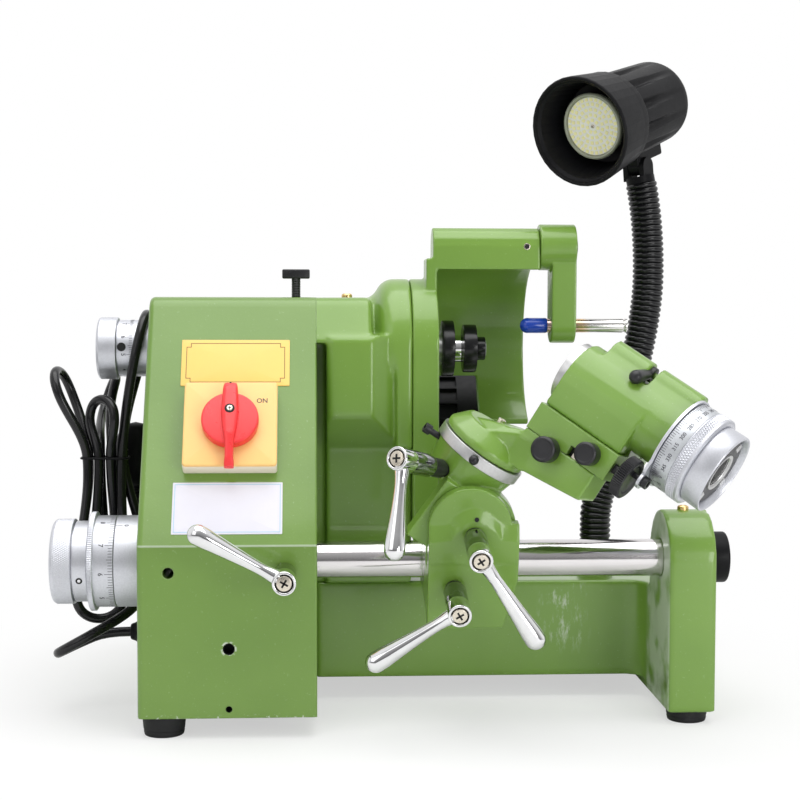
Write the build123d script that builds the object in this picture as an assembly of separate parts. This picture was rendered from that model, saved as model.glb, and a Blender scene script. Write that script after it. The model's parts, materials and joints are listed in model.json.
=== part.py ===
from build123d import *
import math
import os

# A bench drill and end mill grinder: a hollow column with a belt-driven wheel spindle, a bed with an end
# bracket, and a round guide bar that carries a saddle, a tilting swivel and an indexing work head.
# Millimetres, +X to the operator's right, +Y away from the operator, +Z up.
# The origin is on the bench, midway between the four feet.

# General fits
RUNNING_GAP = 0.05
FACE_GAP = 0.3
STUD_GAP = 0.3

# Feet
FOOT_SPAN = 363.0
FOOT_RADIUS = 15.0
FOOT_BENCH_RADIUS = 13.2
FOOT_HEIGHT = 14.0
FOOT_INSET = 16.5
FOOT_BACK_Y = 88.0

# Column casting
COLUMN_WIDTH = 120.0
COLUMN_FRONT_Y = -125.0
COLUMN_BACK_Y = 105.0
COLUMN_WALL = 9.0
FLOOR_LEDGE = 36.0
CREASE_Z = 130.0
COLUMN_TOP_Z = 296.0
SLOPE_SETBACK = 100.0
TOP_ROUND = 14.0
EDGE_ROUND = 4.0
SEAM_ROUND = 1.5
BAR_HOUSING_HEIGHT = 50.0
ACCESSORY_HOLE_RADIUS = 4.0
ACCESSORY_HOLE_INSET = 61.0
ACCESSORY_HOLE_Z = 60.7
KEY_HOLE_RADIUS = 3.75
KEY_HOLE_INSET = 21.0
DRAIN_HOLE_RADIUS = 2.2
DRAIN_HOLE_Z = 20.0

# Bed casting and end bracket
BED_FRONT_Y = -19.0
BED_TOP_Z = 87.0
BED_LIFT = 2.0
BED_WALL = 9.0
BRACKET_THICKNESS = 33.0
BRACKET_ARCH_RADIUS = 34.0
BRACKET_FILLET = 16.0

# Guide bar and its feed
BAR_RADIUS = 13.0
BAR_Y = -70.0
BAR_Z = 112.0
BAR_END_SETBACK = 8.0
BAR_TRAVEL = 8.0
BAR_START_GAP = 2.0
FEED_SCREW_RADIUS = 5.0
FEED_SCREW_REACH = 48.0
FEED_PLUG_LENGTH = 10.0
FEED_SLEEVE_RADIUS = 31.7
FEED_SLEEVE_LENGTH = 18.0
FEED_DIAL_LENGTH = 14.0
FEED_FLANGE_RADIUS = 34.5
FEED_FLANGE_LENGTH = 4.0
FEED_NECK_RADIUS = 28.0
FEED_NECK_LENGTH = 11.0
FEED_RIM_RADIUS = 29.5
FEED_RIM_LENGTH = 15.0
FEED_RIM_CHAMFER = 3.0
FEED_HUB_RADIUS = 20.0
END_CAP_RADIUS = 18.0
END_CAP_LENGTH = 14.0
END_CAP_WALL = 4.0
END_CAP_ROUND = 2.0

# Wheel spindle, quill and infeed
SPINDLE_Y = 15.0
SPINDLE_Z = 258.0
SPINDLE_RADIUS = 10.0
QUILL_RADIUS = 26.0
QUILL_BORE = 20.0
QUILL_SETBACK = 5.5
QUILL_FLANGE_RADIUS = 33.0
QUILL_FLANGE_LENGTH = 6.0
QUILL_FLAT = 28.2
QUILL_TRAVEL = 4.0
BEARING_LENGTH = 14.0
YOKE_PLATE = 8.0
YOKE_ROOM = 5.0
YOKE_ROD_RADIUS = 3.5
YOKE_ROD_ORBIT = 28.5
YOKE_ROD_ANGLES = (122.0, 205.0)
INFEED_SCREW_RADIUS = 5.0
INFEED_DIAL_RADIUS = 21.0
INFEED_DIAL_LENGTH = 26.0
INFEED_RIM_RADIUS = 23.0
INFEED_RIM_LENGTH = 15.0
INFEED_RIM_CHAMFER = 2.0
WHEEL_SEAT_LENGTH = 7.0
REAR_FLANGE_RADIUS = 21.0
REAR_FLANGE_LENGTH = 9.0
FRONT_FLANGE_RADIUS = 18.0
FRONT_FLANGE_LENGTH = 10.0
SPINDLE_NOSE_RADIUS = 6.0
SPINDLE_NUT_RADIUS = 9.0
SPINDLE_NUT_LENGTH = 7.0
NOSE_OFFSET = 12.5

# Headstock neck
NECK_RADIUS = 37.0
NECK_FLANGE_RADIUS = 52.0
NECK_FLANGE_LENGTH = 12.0
NECK_LENGTH = 69.5
NECK_FLARE_LENGTH = 24.0
NECK_WALL_FRONT_Y = -25.0
NECK_WALL_BACK_Y = 60.0
NECK_ROOF_LENGTH = 40.0
NECK_ROOF_LOW_Z = 263.0
NECK_BULGE_INSET = 7.0
NECK_BULGE_LENGTH = 33.0
NECK_BULGE_SHOULDER = 16.0
NECK_BULGE_FRONT_Y = -46.0
NECK_BULGE_TOP_Z = 269.0
NECK_BULGE_KNEE_Z = 211.0
NECK_BULGE_FOOT_Z = 186.0
NECK_BULGE_ROUND = 6.0
NECK_GROOVE_DEPTH = 6.0

# Motor and belt
MOTOR_Y = 145.0
MOTOR_Z = 185.0
MOTOR_RADIUS = 55.0
MOTOR_LENGTH = 125.0
MOTOR_FIN_COUNT = 24
MOTOR_FIN_HEIGHT = 3.0
MOTOR_FIN_WIDTH = 2.4
MOTOR_BELL_LENGTH = 21.0
MOTOR_PLATE = 10.0
MOTOR_PLATE_REACH = 60.0
MOTOR_PLATE_OVERLAP = 40.0
MOTOR_SHAFT_RADIUS = 7.0
MOTOR_PULLEY_RADIUS = 39.0
SPINDLE_PULLEY_RADIUS = 21.0
PULLEY_LENGTH = 24.0
SPINDLE_PULLEY_LENGTH = 42.0
BELT_WIDTH = 20.0
BELT_THICKNESS = 2.5
BELT_INSET = 61.0
COVER_SHEET = 3.0
COVER_MARGIN = 12.0
COVER_KNEE_RISE = 30.6
COVER_TOP_DEPTH = 41.0

# Wheel guard and dresser
GUARD_PLATE = 19.0
GUARD_LENGTH = 76.0
GUARD_INNER_RADIUS = 63.0
GUARD_WALL = 5.0
GUARD_BROW_DEPTH = 4.3
GUARD_FOOT_Z = 120.0
GUARD_END_ANGLE = -62.0
GUARD_LUG_LENGTH = 3.0
GUARD_EAR_LENGTH = 5.0
GUARD_EAR_DROP = 8.7
GUARD_SLOT_LENGTH = 38.0
GUARD_SLOT_TOP_Z = 235.0
DRESSER_Y = 0.0
DRESSER_Z = 333.5
DRESSER_BOSS_RADIUS = 14.2
DRESSER_BOSS_SIDES = 14
DRESSER_HUB_RADIUS = 17.0
DRESSER_HUB_LENGTH = 27.0
DRESSER_ARM_THICKNESS = 18.0
DRESSER_ARM_DROP = 58.0
DRESSER_ARM_WIDTH = 26.0
DRESSER_PIN_RADIUS = 6.0
DRESSER_PIN_DEPTH = 40.0
DRESSER_ROD_RADIUS = 5.15
DRESSER_ROD_LENGTH = 58.0
DRESSER_CAP_RADIUS = 5.7
DRESSER_CAP_LENGTH = 20.0
DIAMOND_TRAVEL = 2.0

# Saddle, tilt and swivel
SADDLE_LEAN = 14.0
SADDLE_X = -3.5
SADDLE_LENGTH = 61.0
SADDLE_FRONT = 52.0
SADDLE_PLATE = 12.0
SADDLE_STEP = 4.0
SADDLE_BLOCK = 26.0
SADDLE_BOTTOM = 24.0
APRON_DROP = 29.5
APRON_TAPER = 9.5
APRON_BREAK = 6.0
APRON_FRONT_TOP = 33.5
APRON_BACK_TOP = 45.0
HUMP_RADIUS = 18.5
HUMP_FRONT_RADIUS = 10.0
BUSH_WALL = 3.0
PIVOT_FROM_LEFT = 30.5
PIVOT_HEIGHT = 38.0
PIVOT_STUD_RADIUS = 6.0
ARCH_RADIUS = 28.0
ARCH_HEIGHT = 42.0
TILT_DISC_RADIUS = 29.5
TILT_ANGLE = 34.0
TILT_LOBE_LEFT = 35.0
TILT_LOBE_DROP = 28.0
RING_OFFSET = 19.9
RING_SETBACK = 10.0
RING_TOP = 45.5
RING_HEIGHT = 6.5
RING_RADIUS = 31.6
CONE_HEIGHT = 24.5
CONE_FOOT_RADIUS = 25.0
CONE_LIP = 0.6
SHOULDER_DROP = 4.0
SHOULDER_RISE = 5.0
INDEX_PIN_RADIUS = 2.5
INDEX_PIN_STAND = 3.0
INDEX_PIN_BALL = 3.4
INDEX_PIN_BEARING = -106.0
CAP_SCREW_RADIUS = 2.2
CAP_SCREW_STAND = 5.0
CAP_SCREW_DEPTH = 8.0
CAP_SCREW_DROP = 11.0
CAP_HEAD_RADIUS = 3.6
CAP_HEAD_LENGTH = 5.0
SWIVEL_PIN_RADIUS = 8.0
SWIVEL_PIN_HEIGHT = 10.0
SWIVEL_ANGLE = 37.0
ARM_PITCH = 4.8
ARM_WIDTH = 30.0
ARM_FRONT = -12.0
ARM_END = 81.0
ARM_HEEL = 14.0
ARM_HEEL_DROP = 2.0
ARM_SOLE_BACK = 6.0
ARM_SOLE_FRONT = 28.0
ARM_SOLE_HEIGHT = 3.0
ARM_TIP_HEIGHT = 10.0
ARM_STEP = 3.0
DOME_RADIUS = 30.5
DOME_TOP_RADIUS = 22.0
DOME_HEIGHT = 15.0

# Clamp levers
LEVER_HUB_RADIUS = 7.9
LEVER_HUB_LENGTH = 39.0
LEVER_ARM_LENGTH = 62.0
LEVER_ROOT_RADIUS = 4.2
LEVER_BALL_RADIUS = 6.4
LEVER_RISE = 6.0
LEVER_COLLAR_LENGTH = 5.0
LEVER_COLLAR_RADIUS = 6.5
LEVER_STUD_RADIUS = 4.0
LEVER_RECESS_RADIUS = 5.9
LEVER_RECESS_DEPTH = 3.0
BAR_LEVER_ANGLE = 150.0
BAR_LEVER_INSET = 21.4
SADDLE_LEVER_ANGLE = 211.0
SADDLE_LEVER_FROM_LEFT = 17.8
TILT_LEVER_ANGLE = -56.0
SWIVEL_LEVER_BEARING = 46.0
SWIVEL_LEVER_DROP = 24.0
SWIVEL_LEVER_STAND = 16.0
SWIVEL_LEVER_TURN = 40.0

# Work head, in the arm's frame: along the head axis, in depth away from the operator, and up from the ring
HEAD_DEPTH = 18.0
HEAD_HEIGHT = 74.5
HEAD_START = 24.0
HEAD_LENGTH = 83.0
HEAD_RADIUS = 24.5
HEAD_BASE_LENGTH = 62.0
HEAD_BASE_FRONT = -8.0
HEAD_BASE_BACK = 44.0
HEAD_BASE_DROP = 5.0
RIB_RADIUS = 10.5
RIB_HEIGHT = 25.0
RIB_SHIFT = 4.0
RIB_START = 11.0
RIB_GAP_START = 41.0
RIB_GAP = 7.0
RIB_GAP_FLOOR = 3.0
BLOCK_START = 23.0
BLOCK_LENGTH = 65.0
BLOCK_BOTTOM = 30.5
BLOCK_TOP = 50.0
BLOCK_BACK = 48.0
BLOCK_NOTCH_AT = 34.0
BLOCK_NOTCH = 8.0
BLOCK_NOTCH_HEIGHT = 7.0
RAIL_WIDTH = 22.0
RAIL_FLARE = 3.0
RAIL_HEIGHT = 6.0
RAIL_SETBACK = 7.0
SLIDE_GAP = 0.2
NOSE_RADIUS = 22.0
NOSE_LENGTH = 5.5
INDEX_SPINDLE_RADIUS = 17.0
INDEX_TAIL_RADIUS = 14.0
INDEX_TAIL_PROUD = 6.0
COLLET_SEAT_RADIUS = 10.0
COLLET_BORE_RADIUS = 6.0
COLLET_LENGTH = 36.0
COLLET_PROUD = 3.0
INDEX_PLATE_RADIUS = 33.0
INDEX_PLATE = 2.0
INDEX_EAR_RADIUS = 6.0
INDEX_EAR_ACROSS = 24.0
INDEX_EAR_DROP = 30.0
INDEX_DIAL_RADIUS = 31.6
INDEX_DIAL_LENGTH = 12.0
KNURL_RADIUS = 32.2
KNURL_LENGTH = 10.0
CUP_RADIUS = 28.3
CUP_LENGTH = 14.0
CUP_WALL = 5.0
CUP_DEPTH = 11.0
THUMB_KNOB_LENGTH = 11.0
THUMB_NECK_LENGTH = 3.0
THUMB_NECK_RADIUS = 5.0
THUMB_STUD_RADIUS = 3.0
THUMB_STUD_LENGTH = 10.0
ARM_KNOB_RADIUS = 8.65
ARM_KNOB_AT = 46.0
ARM_KNOB_HEIGHT = 26.5
BLOCK_KNOB_RADIUS = 7.75
BLOCK_KNOB_AT = 72.0
FEED_WHEEL_RADIUS = 14.5
FEED_WHEEL_LENGTH = 8.0
FEED_WHEEL_STAND = 6.0
FEED_WHEEL_DEPTH = -5.0
FEED_SHAFT_RADIUS = 3.5
FEED_SHAFT_LENGTH = 12.0
LOCK_BALL_RADIUS = 4.6
LOCK_ROD_RADIUS = 2.4
LOCK_PIN_RADIUS = 2.5
LOCK_PIN_SEAT = 8.0
LOCK_PIN_RAISE = 3.0
LOCK_HUB_RADIUS = 5.5
LOCK_HUB_ROOM = 1.5
LOCK_REACH = 31.0
LOCK_DIP = 13.0

# Switch on the sloping face
SWITCH_INSET = 61.0
SWITCH_UP_SLOPE = 85.3
SWITCH_SIZE = 64.0
SWITCH_CORNER = 2.0
SWITCH_DEPTH = 13.0
SWITCH_SHAFT_RADIUS = 4.0
SWITCH_BODY_SIZE = 40.0
SWITCH_BODY_DEPTH = 30.0
SWITCH_DISC_RADIUS = 19.5
SWITCH_DISC_HEIGHT = 8.0
SWITCH_BAR_LENGTH = 62.0
SWITCH_BAR_WIDTH = 11.0
SWITCH_BAR_TIP = 6.0
SWITCH_BAR_LIFT = 2.0
SWITCH_BAR_HEIGHT = 13.0

# Screws and oilers
LOCK_SCREW_INSET = 15.0
LOCK_SCREW_RADIUS = 3.5
LOCK_SCREW_HEIGHT = 14.0
LOCK_HEAD_LENGTH = 20.6
LOCK_HEAD_HEIGHT = 7.0
LOCK_HEAD_ROUND = 1.5
SCREW_HEAD_RADIUS = 4.5
SCREW_HEAD_HEIGHT = 4.0
SCREW_RISE = 20.0
OILER_RADIUS = 4.0
OILER_HEIGHT = 3.0
OILER_FROM_COLUMN = 23.0

# Lamp
LAMP_INSET = 25.6
LAMP_Y = 45.0
LAMP_NUT_RADIUS = 15.0
LAMP_NUT_HEIGHT = 10.0
LAMP_NUT_ROUND = 2.0
HOSE_VALLEY_RADIUS = 10.6
HOSE_CREST_RADIUS = 12.0
HOSE_BORE_RADIUS = 8.4
HOSE_RIB_PITCH = 4.1
HOSE_RIB_RISE = 0.25
HOSE_RIB_TOP = 0.65
HOSE_RIB_FALL = 0.85
HOSE_POINTS = ((0.0, 0.0), (0.0, 40.0), (39.0, 175.0), (40.5, 253.0), (33.5, 288.0))
LAMP_HEADING = (0.66, 0.69, 0.30)
LAMP_PIVOT_RISE = 13.0
LAMP_STUB_RADIUS = 11.0
LAMP_STUB_HEIGHT = 5.0
LAMP_CHEEK = 4.0
LAMP_LUG = 10.0
LAMP_KNUCKLE_RADIUS = 7.0
LAMP_PIN_RADIUS = 2.5
LAMP_LUG_HEIGHT = 12.0
LAMP_LUG_SINK = 3.0
LAMP_PIVOT_AT = 72.0
SHADE_RADIUS = 41.0
SHADE_REAR_RADIUS = 37.0
SHADE_LENGTH = 40.0
SHADE_WALL = 3.0
BARREL_FRONT_RADIUS = 34.0
BARREL_REAR_RADIUS = 31.0
BARREL_LENGTH = 80.0
BARREL_FLUTES = 12
FLUTE_RADIUS = 4.0
FLUTE_STANDOFF = 1.0
FLUTE_START = 12.0
FLUTE_LEAN = 3.0
BULB_RADIUS = 25.0
BULB_RIM = 4.0
BULB_ROOM = 2.0
BULB_LENGTH = 22.0
BULB_SETBACK = 18.0

# Mains cord
CORD_RADIUS = 3.5
ARC_SHARE = 0.45
GLAND_Y = -25.0
GLAND_Z = 53.0
GLAND_RADIUS = 9.0
GLAND_LENGTH = 15.0
GLAND_LIP = 1.5
GLAND_NOSE_RADIUS = 6.75
GLAND_NOSE_LENGTH = 3.0
GLAND_DOME_LENGTH = 7.0
TIE_RADIUS = 0.8
PLUG_HALF_WIDTH = 12.5
PLUG_DEPTH = 28.0
PLUG_HEIGHT = 34.0
PLUG_ROUND = 4.0
RELIEF_RADIUS = 6.5
RELIEF_LENGTH = 22.0
RELIEF_LIP = 1.0
PIN_RADIUS = 2.4
PIN_LENGTH = 18.0
PIN_SPACING = 19.0

# The cord's route from its gland to the hank
CORD_ROUTE = (
    (-213.0, GLAND_Y, GLAND_Z),
    (-231.0, GLAND_Y, GLAND_Z),
    (-249.0, -29.0, 46.0),
    (-263.0, -41.0, 41.0),
    (-260.0, -58.0, 45.0),
    (-241.0, -62.0, 56.0),
    (-222.0, -50.0, 65.0),
    (-209.0, -31.0, 72.0),
    (-205.0, -9.0, 79.0),
    (-206.0, 2.0, 93.0),
    (-206.0, 2.0, 105.0),
)

# The tied hank: where its strands pass the tie, and each turn as centre, axis, width and radius
WAIST = (-233.0, -3.5, 178.0)
WAIST_PITCH = 8.3
WAIST_COLUMNS = 4
WAIST_ROWS = 2
HANK_END = (-213.0, 36.0, 131.0)
UP = (0.0, 0.0, 1.0)
DRUM_TURN_GAP = 2.1
DRUM_TURN_X = -209.0
DRUM_TURN_AXIS = (0.2, 0.0, 0.98)
LEFT_TURN = ((-263.0, 0.0, 227.0), (-0.34, 0.0, 0.94), (0.15, 1.0, 0.0), 16.0)
HIDDEN_TURN = ((-235.0, 42.0, 222.0), (0.2, 0.5, 0.82), (-0.2, 1.0, 0.0), 14.0)
FRONT_TURN = ((-234.5, -8.5, 208.0), (0.06, 0.0, 1.0), (0.75, -0.65, 0.0), 13.5)
LOW_FRONT_TURN = ((-235.5, -19.0, 79.0), (0.0, 0.0, -1.0), (-0.97, -0.25, 0.0), 18.0)
LOW_BACK_TURN = ((-241.5, 12.0, 88.0), (0.0, 0.05, -1.0), (1.0, 0.5, 0.0), 15.5)
LOW_INNER_TURN = ((-238.0, -2.0, 102.0), (0.0, 0.0, -1.0), (-0.2, -1.0, 0.0), 13.0)
LOW_PLUG_TURN = ((-219.0, 16.0, 95.0), (0.0, 0.0, -1.0), (0.35, 0.94, 0.0), 16.0)

# Places that follow from the sizes above
COLUMN_LEFT_X = -FOOT_SPAN / 2 - FOOT_INSET
COLUMN_RIGHT_X = COLUMN_LEFT_X + COLUMN_WIDTH
BRACKET_LEFT_X = FOOT_SPAN / 2 - BRACKET_THICKNESS / 2
BRACKET_RIGHT_X = BRACKET_LEFT_X + BRACKET_THICKNESS
BRACKET_FRONT_Y = BAR_Y - BRACKET_ARCH_RADIUS
FOOT_LEFT_Y = COLUMN_FRONT_Y + FOOT_INSET
FOOT_RIGHT_Y = BRACKET_FRONT_Y + FOOT_INSET
FEET = (
    (-FOOT_SPAN / 2, FOOT_LEFT_Y),
    (FOOT_SPAN / 2, FOOT_RIGHT_Y),
    (-FOOT_SPAN / 2, FOOT_BACK_Y),
    (FOOT_SPAN / 2, FOOT_BACK_Y),
)
BAR_LEFT_X = COLUMN_LEFT_X + FEED_PLUG_LENGTH + BAR_TRAVEL + BAR_START_GAP
BAR_RIGHT_X = BRACKET_RIGHT_X - BAR_END_SETBACK
ACCESSORY_HOLE_X = COLUMN_LEFT_X + ACCESSORY_HOLE_INSET
BELT_X = COLUMN_LEFT_X + BELT_INSET
SWITCH_X = COLUMN_LEFT_X + SWITCH_INSET
LOCK_SCREW_X = COLUMN_RIGHT_X - LOCK_SCREW_INSET
LAMP_X = BRACKET_LEFT_X - LAMP_INSET
NECK_RIGHT_X = COLUMN_RIGHT_X + NECK_LENGTH
GUARD_LEFT_X = NECK_RIGHT_X + GUARD_PLATE
GUARD_RIGHT_X = GUARD_LEFT_X + GUARD_LENGTH
QUILL_FRONT_X = GUARD_LEFT_X - QUILL_SETBACK
NOSE_X = QUILL_FRONT_X + NOSE_OFFSET
YOKE_LEFT_X = COLUMN_LEFT_X + COLUMN_WALL + QUILL_TRAVEL + YOKE_ROOM
INFEED_SCREW_END_X = YOKE_LEFT_X + YOKE_PLATE + QUILL_TRAVEL
SPINDLE_TAIL_X = INFEED_SCREW_END_X + 2 * QUILL_TRAVEL
MOTOR_LEFT_X = COLUMN_RIGHT_X + MOTOR_PLATE
SLOPE_ANGLE = math.degrees(math.atan2(SLOPE_SETBACK, COLUMN_TOP_Z - CREASE_Z))

# Frames of the leaning saddle, the tilt block, the swivel arm and the sloping face
SADDLE_FRAME = Pos(0, BAR_Y, BAR_Z) * Rot(SADDLE_LEAN, 0, 0)
PIVOT_X = SADDLE_X + PIVOT_FROM_LEFT
SADDLE_LEVER_X = SADDLE_X + SADDLE_LEVER_FROM_LEFT
TILT_FRAME = SADDLE_FRAME * Pos(PIVOT_X, 0, PIVOT_HEIGHT) * Rot(0, TILT_ANGLE, 0)
SWIVEL_FRAME = TILT_FRAME * Pos(-RING_OFFSET, -RING_SETBACK, RING_TOP) * Rot(0, 0, -SWIVEL_ANGLE)
ARM_FRAME = SWIVEL_FRAME * Rot(0, -ARM_PITCH, 0)
HEAD_FRAME = ARM_FRAME * Pos(0, HEAD_DEPTH, HEAD_HEIGHT)
SLOPE_FRAME = Pos(0, COLUMN_FRONT_Y, CREASE_Z) * Rot(90 - SLOPE_ANGLE, 0, 0)
SWITCH_FRAME = SLOPE_FRAME * Pos(SWITCH_X, SWITCH_UP_SLOPE, 0)

# Where the hose ends, and the lamp head that sits on it
HOSE_START = Vector(LAMP_X, LAMP_Y, BED_TOP_Z + LAMP_NUT_HEIGHT)
LAMP_AXIS = Vector(*LAMP_HEADING).normalized()
LAMP_HINGE_AXIS = Vector(0, 0, 1).cross(LAMP_AXIS).normalized()

BOTTOM = (Align.CENTER, Align.CENTER, Align.MIN)


def block(x0, x1, y0, y1, z0, z1):
    """A box between two corners."""
    return Pos((x0 + x1) / 2, (y0 + y1) / 2, (z0 + z1) / 2) * Box(x1 - x0, y1 - y0, z1 - z0)


def rod_x(radius, x0, x1, y=0.0, z=0.0):
    """A round bar along X."""
    return Pos(x0, y, z) * Rot(0, 90, 0) * Cylinder(radius, x1 - x0, align=BOTTOM)


def tube_x(outer, inner, x0, x1, y=0.0, z=0.0):
    """A round tube along X."""
    return rod_x(outer, x0, x1, y, z) - rod_x(inner, x0 - 1, x1 + 1, y, z)


def rod_y(radius, y0, y1, x=0.0, z=0.0):
    """A round bar along Y."""
    return Pos(x, y0, z) * Rot(-90, 0, 0) * Cylinder(radius, y1 - y0, align=BOTTOM)


def rod_z(radius, z0, z1, x=0.0, y=0.0):
    """An upright round bar."""
    return Pos(x, y, z0) * Cylinder(radius, z1 - z0, align=BOTTOM)


def slab(points, x0, x1):
    """A flat outline in the YZ plane, thickened along X."""
    face = make_face(Polyline(*points, close=True))
    return extrude(Plane.YZ.offset(x0) * face, x1 - x0)


def upright(points, y0, y1):
    """A flat outline in the XZ plane, thickened along Y."""
    face = make_face(Polyline(*points, close=True))
    return Pos(0, y1, 0) * extrude(Plane.XZ * face, y1 - y0)


def turned_x(points):
    """A profile of (x, radius) points turned about the X axis."""
    first, last = points[0], points[-1]
    outline = [(first[0], 0), *points, (last[0], 0)]
    return revolve(make_face(Polyline(*outline, close=True)), Axis.X)


def column_face(inset=0.0):
    """The column's side outline in the YZ plane, drawn in by a wall."""
    face = make_face(
        Polyline(
            (COLUMN_FRONT_Y, FOOT_HEIGHT),
            (COLUMN_FRONT_Y, CREASE_Z),
            (COLUMN_FRONT_Y + SLOPE_SETBACK, COLUMN_TOP_Z),
            (COLUMN_BACK_Y, COLUMN_TOP_Z),
            (COLUMN_BACK_Y, FOOT_HEIGHT),
            close=True,
        )
    )
    if inset:
        return offset(face, -inset, kind=Kind.INTERSECTION)
    corner = face.vertices().sort_by_distance((COLUMN_FRONT_Y + SLOPE_SETBACK, COLUMN_TOP_Z, 0))[0]
    return fillet(corner, TOP_ROUND)


def front_edges(side):
    """The edges of the column's side that face the operator or the sky."""
    return [
        edge
        for edge in side.edges()
        if edge.center().Z > FOOT_HEIGHT + EDGE_ROUND and edge.center().Y < COLUMN_BACK_Y - EDGE_ROUND
    ]


def column_casting():
    """A hollow casting with a sloping front, open at the back and below, and a housing for the guide bar."""
    left, right = COLUMN_LEFT_X, COLUMN_RIGHT_X
    body = extrude(Plane.YZ.offset(left) * column_face(), COLUMN_WIDTH)
    body = fillet(front_edges(body.faces().sort_by(Axis.X)[0]), EDGE_ROUND)
    body = fillet(front_edges(body.faces().sort_by(Axis.X)[-1]), SEAM_ROUND)
    flush = extrude(Plane.YZ.offset(right - 2 * SEAM_ROUND) * column_face(), 2 * SEAM_ROUND)
    body += flush & block(left, right, COLUMN_FRONT_Y, COLUMN_BACK_Y, NECK_ROOF_LOW_Z, COLUMN_TOP_Z)
    inner_width = COLUMN_WIDTH - 2 * COLUMN_WALL
    cavity = extrude(Plane.YZ.offset(left + COLUMN_WALL) * column_face(COLUMN_WALL), inner_width)
    back_opening = block(
        left + COLUMN_WALL,
        right - COLUMN_WALL,
        COLUMN_BACK_Y - 2 * COLUMN_WALL,
        COLUMN_BACK_Y + 1,
        FOOT_HEIGHT + COLUMN_WALL,
        COLUMN_TOP_Z - COLUMN_WALL,
    )
    floor_opening = block(
        left + FLOOR_LEDGE,
        right - COLUMN_WALL,
        COLUMN_FRONT_Y + COLUMN_WALL,
        COLUMN_BACK_Y - COLUMN_WALL,
        FOOT_HEIGHT - 1,
        FOOT_HEIGHT + COLUMN_WALL + 1,
    )
    housing = block(
        left + COLUMN_WALL / 2,
        right - COLUMN_WALL / 2,
        COLUMN_FRONT_Y + COLUMN_WALL / 2,
        BAR_Y + BAR_HOUSING_HEIGHT / 2,
        BAR_Z - BAR_HOUSING_HEIGHT / 2,
        BAR_Z + BAR_HOUSING_HEIGHT / 2,
    )
    outline = extrude(Plane.YZ.offset(left) * column_face(COLUMN_WALL / 2), COLUMN_WIDTH)
    body = body - cavity - back_opening - floor_opening + (housing & outline)
    body -= rod_x(BAR_RADIUS + RUNNING_GAP, left - 1, right + 1, BAR_Y, BAR_Z)
    body -= rod_x(QUILL_RADIUS + 1, right - 2 * COLUMN_WALL, right + 1, SPINDLE_Y, SPINDLE_Z)
    body -= rod_x(INFEED_SCREW_RADIUS + RUNNING_GAP, left - 1, left + 2 * COLUMN_WALL, SPINDLE_Y, SPINDLE_Z)
    front, through = COLUMN_FRONT_Y - 1, COLUMN_FRONT_Y + 2 * COLUMN_WALL
    body -= rod_y(ACCESSORY_HOLE_RADIUS, front, through, ACCESSORY_HOLE_X, ACCESSORY_HOLE_Z)
    body -= rod_y(KEY_HOLE_RADIUS, front, BAR_Y, left + KEY_HOLE_INSET, BAR_Z)
    body -= rod_y(DRAIN_HOLE_RADIUS, front, through, ACCESSORY_HOLE_X, DRAIN_HOLE_Z)
    body -= rod_y(LEVER_STUD_RADIUS + STUD_GAP, front, BAR_Y, bar_lever_x(), BAR_Z)
    top = COLUMN_TOP_Z
    body -= rod_z(LOCK_SCREW_RADIUS + STUD_GAP, top - 2 * COLUMN_WALL, top + 1, LOCK_SCREW_X, SPINDLE_Y)
    shaft_hole = rod_z(SWITCH_SHAFT_RADIUS + STUD_GAP, -2 * COLUMN_WALL, 1)
    body -= SWITCH_FRAME * shaft_hole
    return body


def bar_lever_x():
    """The bar clamp lever sits near the right edge of the column."""
    return COLUMN_RIGHT_X - BAR_LEVER_INSET


def bed_casting():
    """An upturned channel between the column and the end bracket, with the bracket's bored arch."""
    base_z = FOOT_HEIGHT + BED_LIFT
    left, right = COLUMN_RIGHT_X, BRACKET_LEFT_X
    channel = block(left, right + BED_WALL, BED_FRONT_Y, COLUMN_BACK_Y, base_z, BED_TOP_Z)
    channel -= block(
        left + BED_WALL,
        right - BED_WALL,
        BED_FRONT_Y + BED_WALL,
        COLUMN_BACK_Y - BED_WALL,
        base_z - 1,
        BED_TOP_Z - BED_WALL,
    )
    leg = block(right, BRACKET_RIGHT_X, BRACKET_FRONT_Y, COLUMN_BACK_Y, FOOT_HEIGHT, BED_TOP_Z)
    arch = block(right, BRACKET_RIGHT_X, BRACKET_FRONT_Y, BAR_Y + BRACKET_ARCH_RADIUS, BED_TOP_Z - 1, BAR_Z)
    arch += rod_x(BRACKET_ARCH_RADIUS, right, BRACKET_RIGHT_X, BAR_Y, BAR_Z)
    corner = right - BRACKET_FILLET, BED_FRONT_Y - BRACKET_FILLET
    web = block(corner[0], right, corner[1], BED_FRONT_Y, base_z, BED_TOP_Z)
    web -= rod_z(BRACKET_FILLET, base_z - 1, BED_TOP_Z + 1, *corner)
    bed = channel + leg + arch + web
    return bed - rod_x(BAR_RADIUS + RUNNING_GAP, right - 1, BRACKET_RIGHT_X + 1, BAR_Y, BAR_Z)


def slope_y(z):
    """Y of the column's sloping face at a height."""
    return COLUMN_FRONT_Y + (z - CREASE_Z) * SLOPE_SETBACK / (COLUMN_TOP_Z - CREASE_Z)


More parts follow.
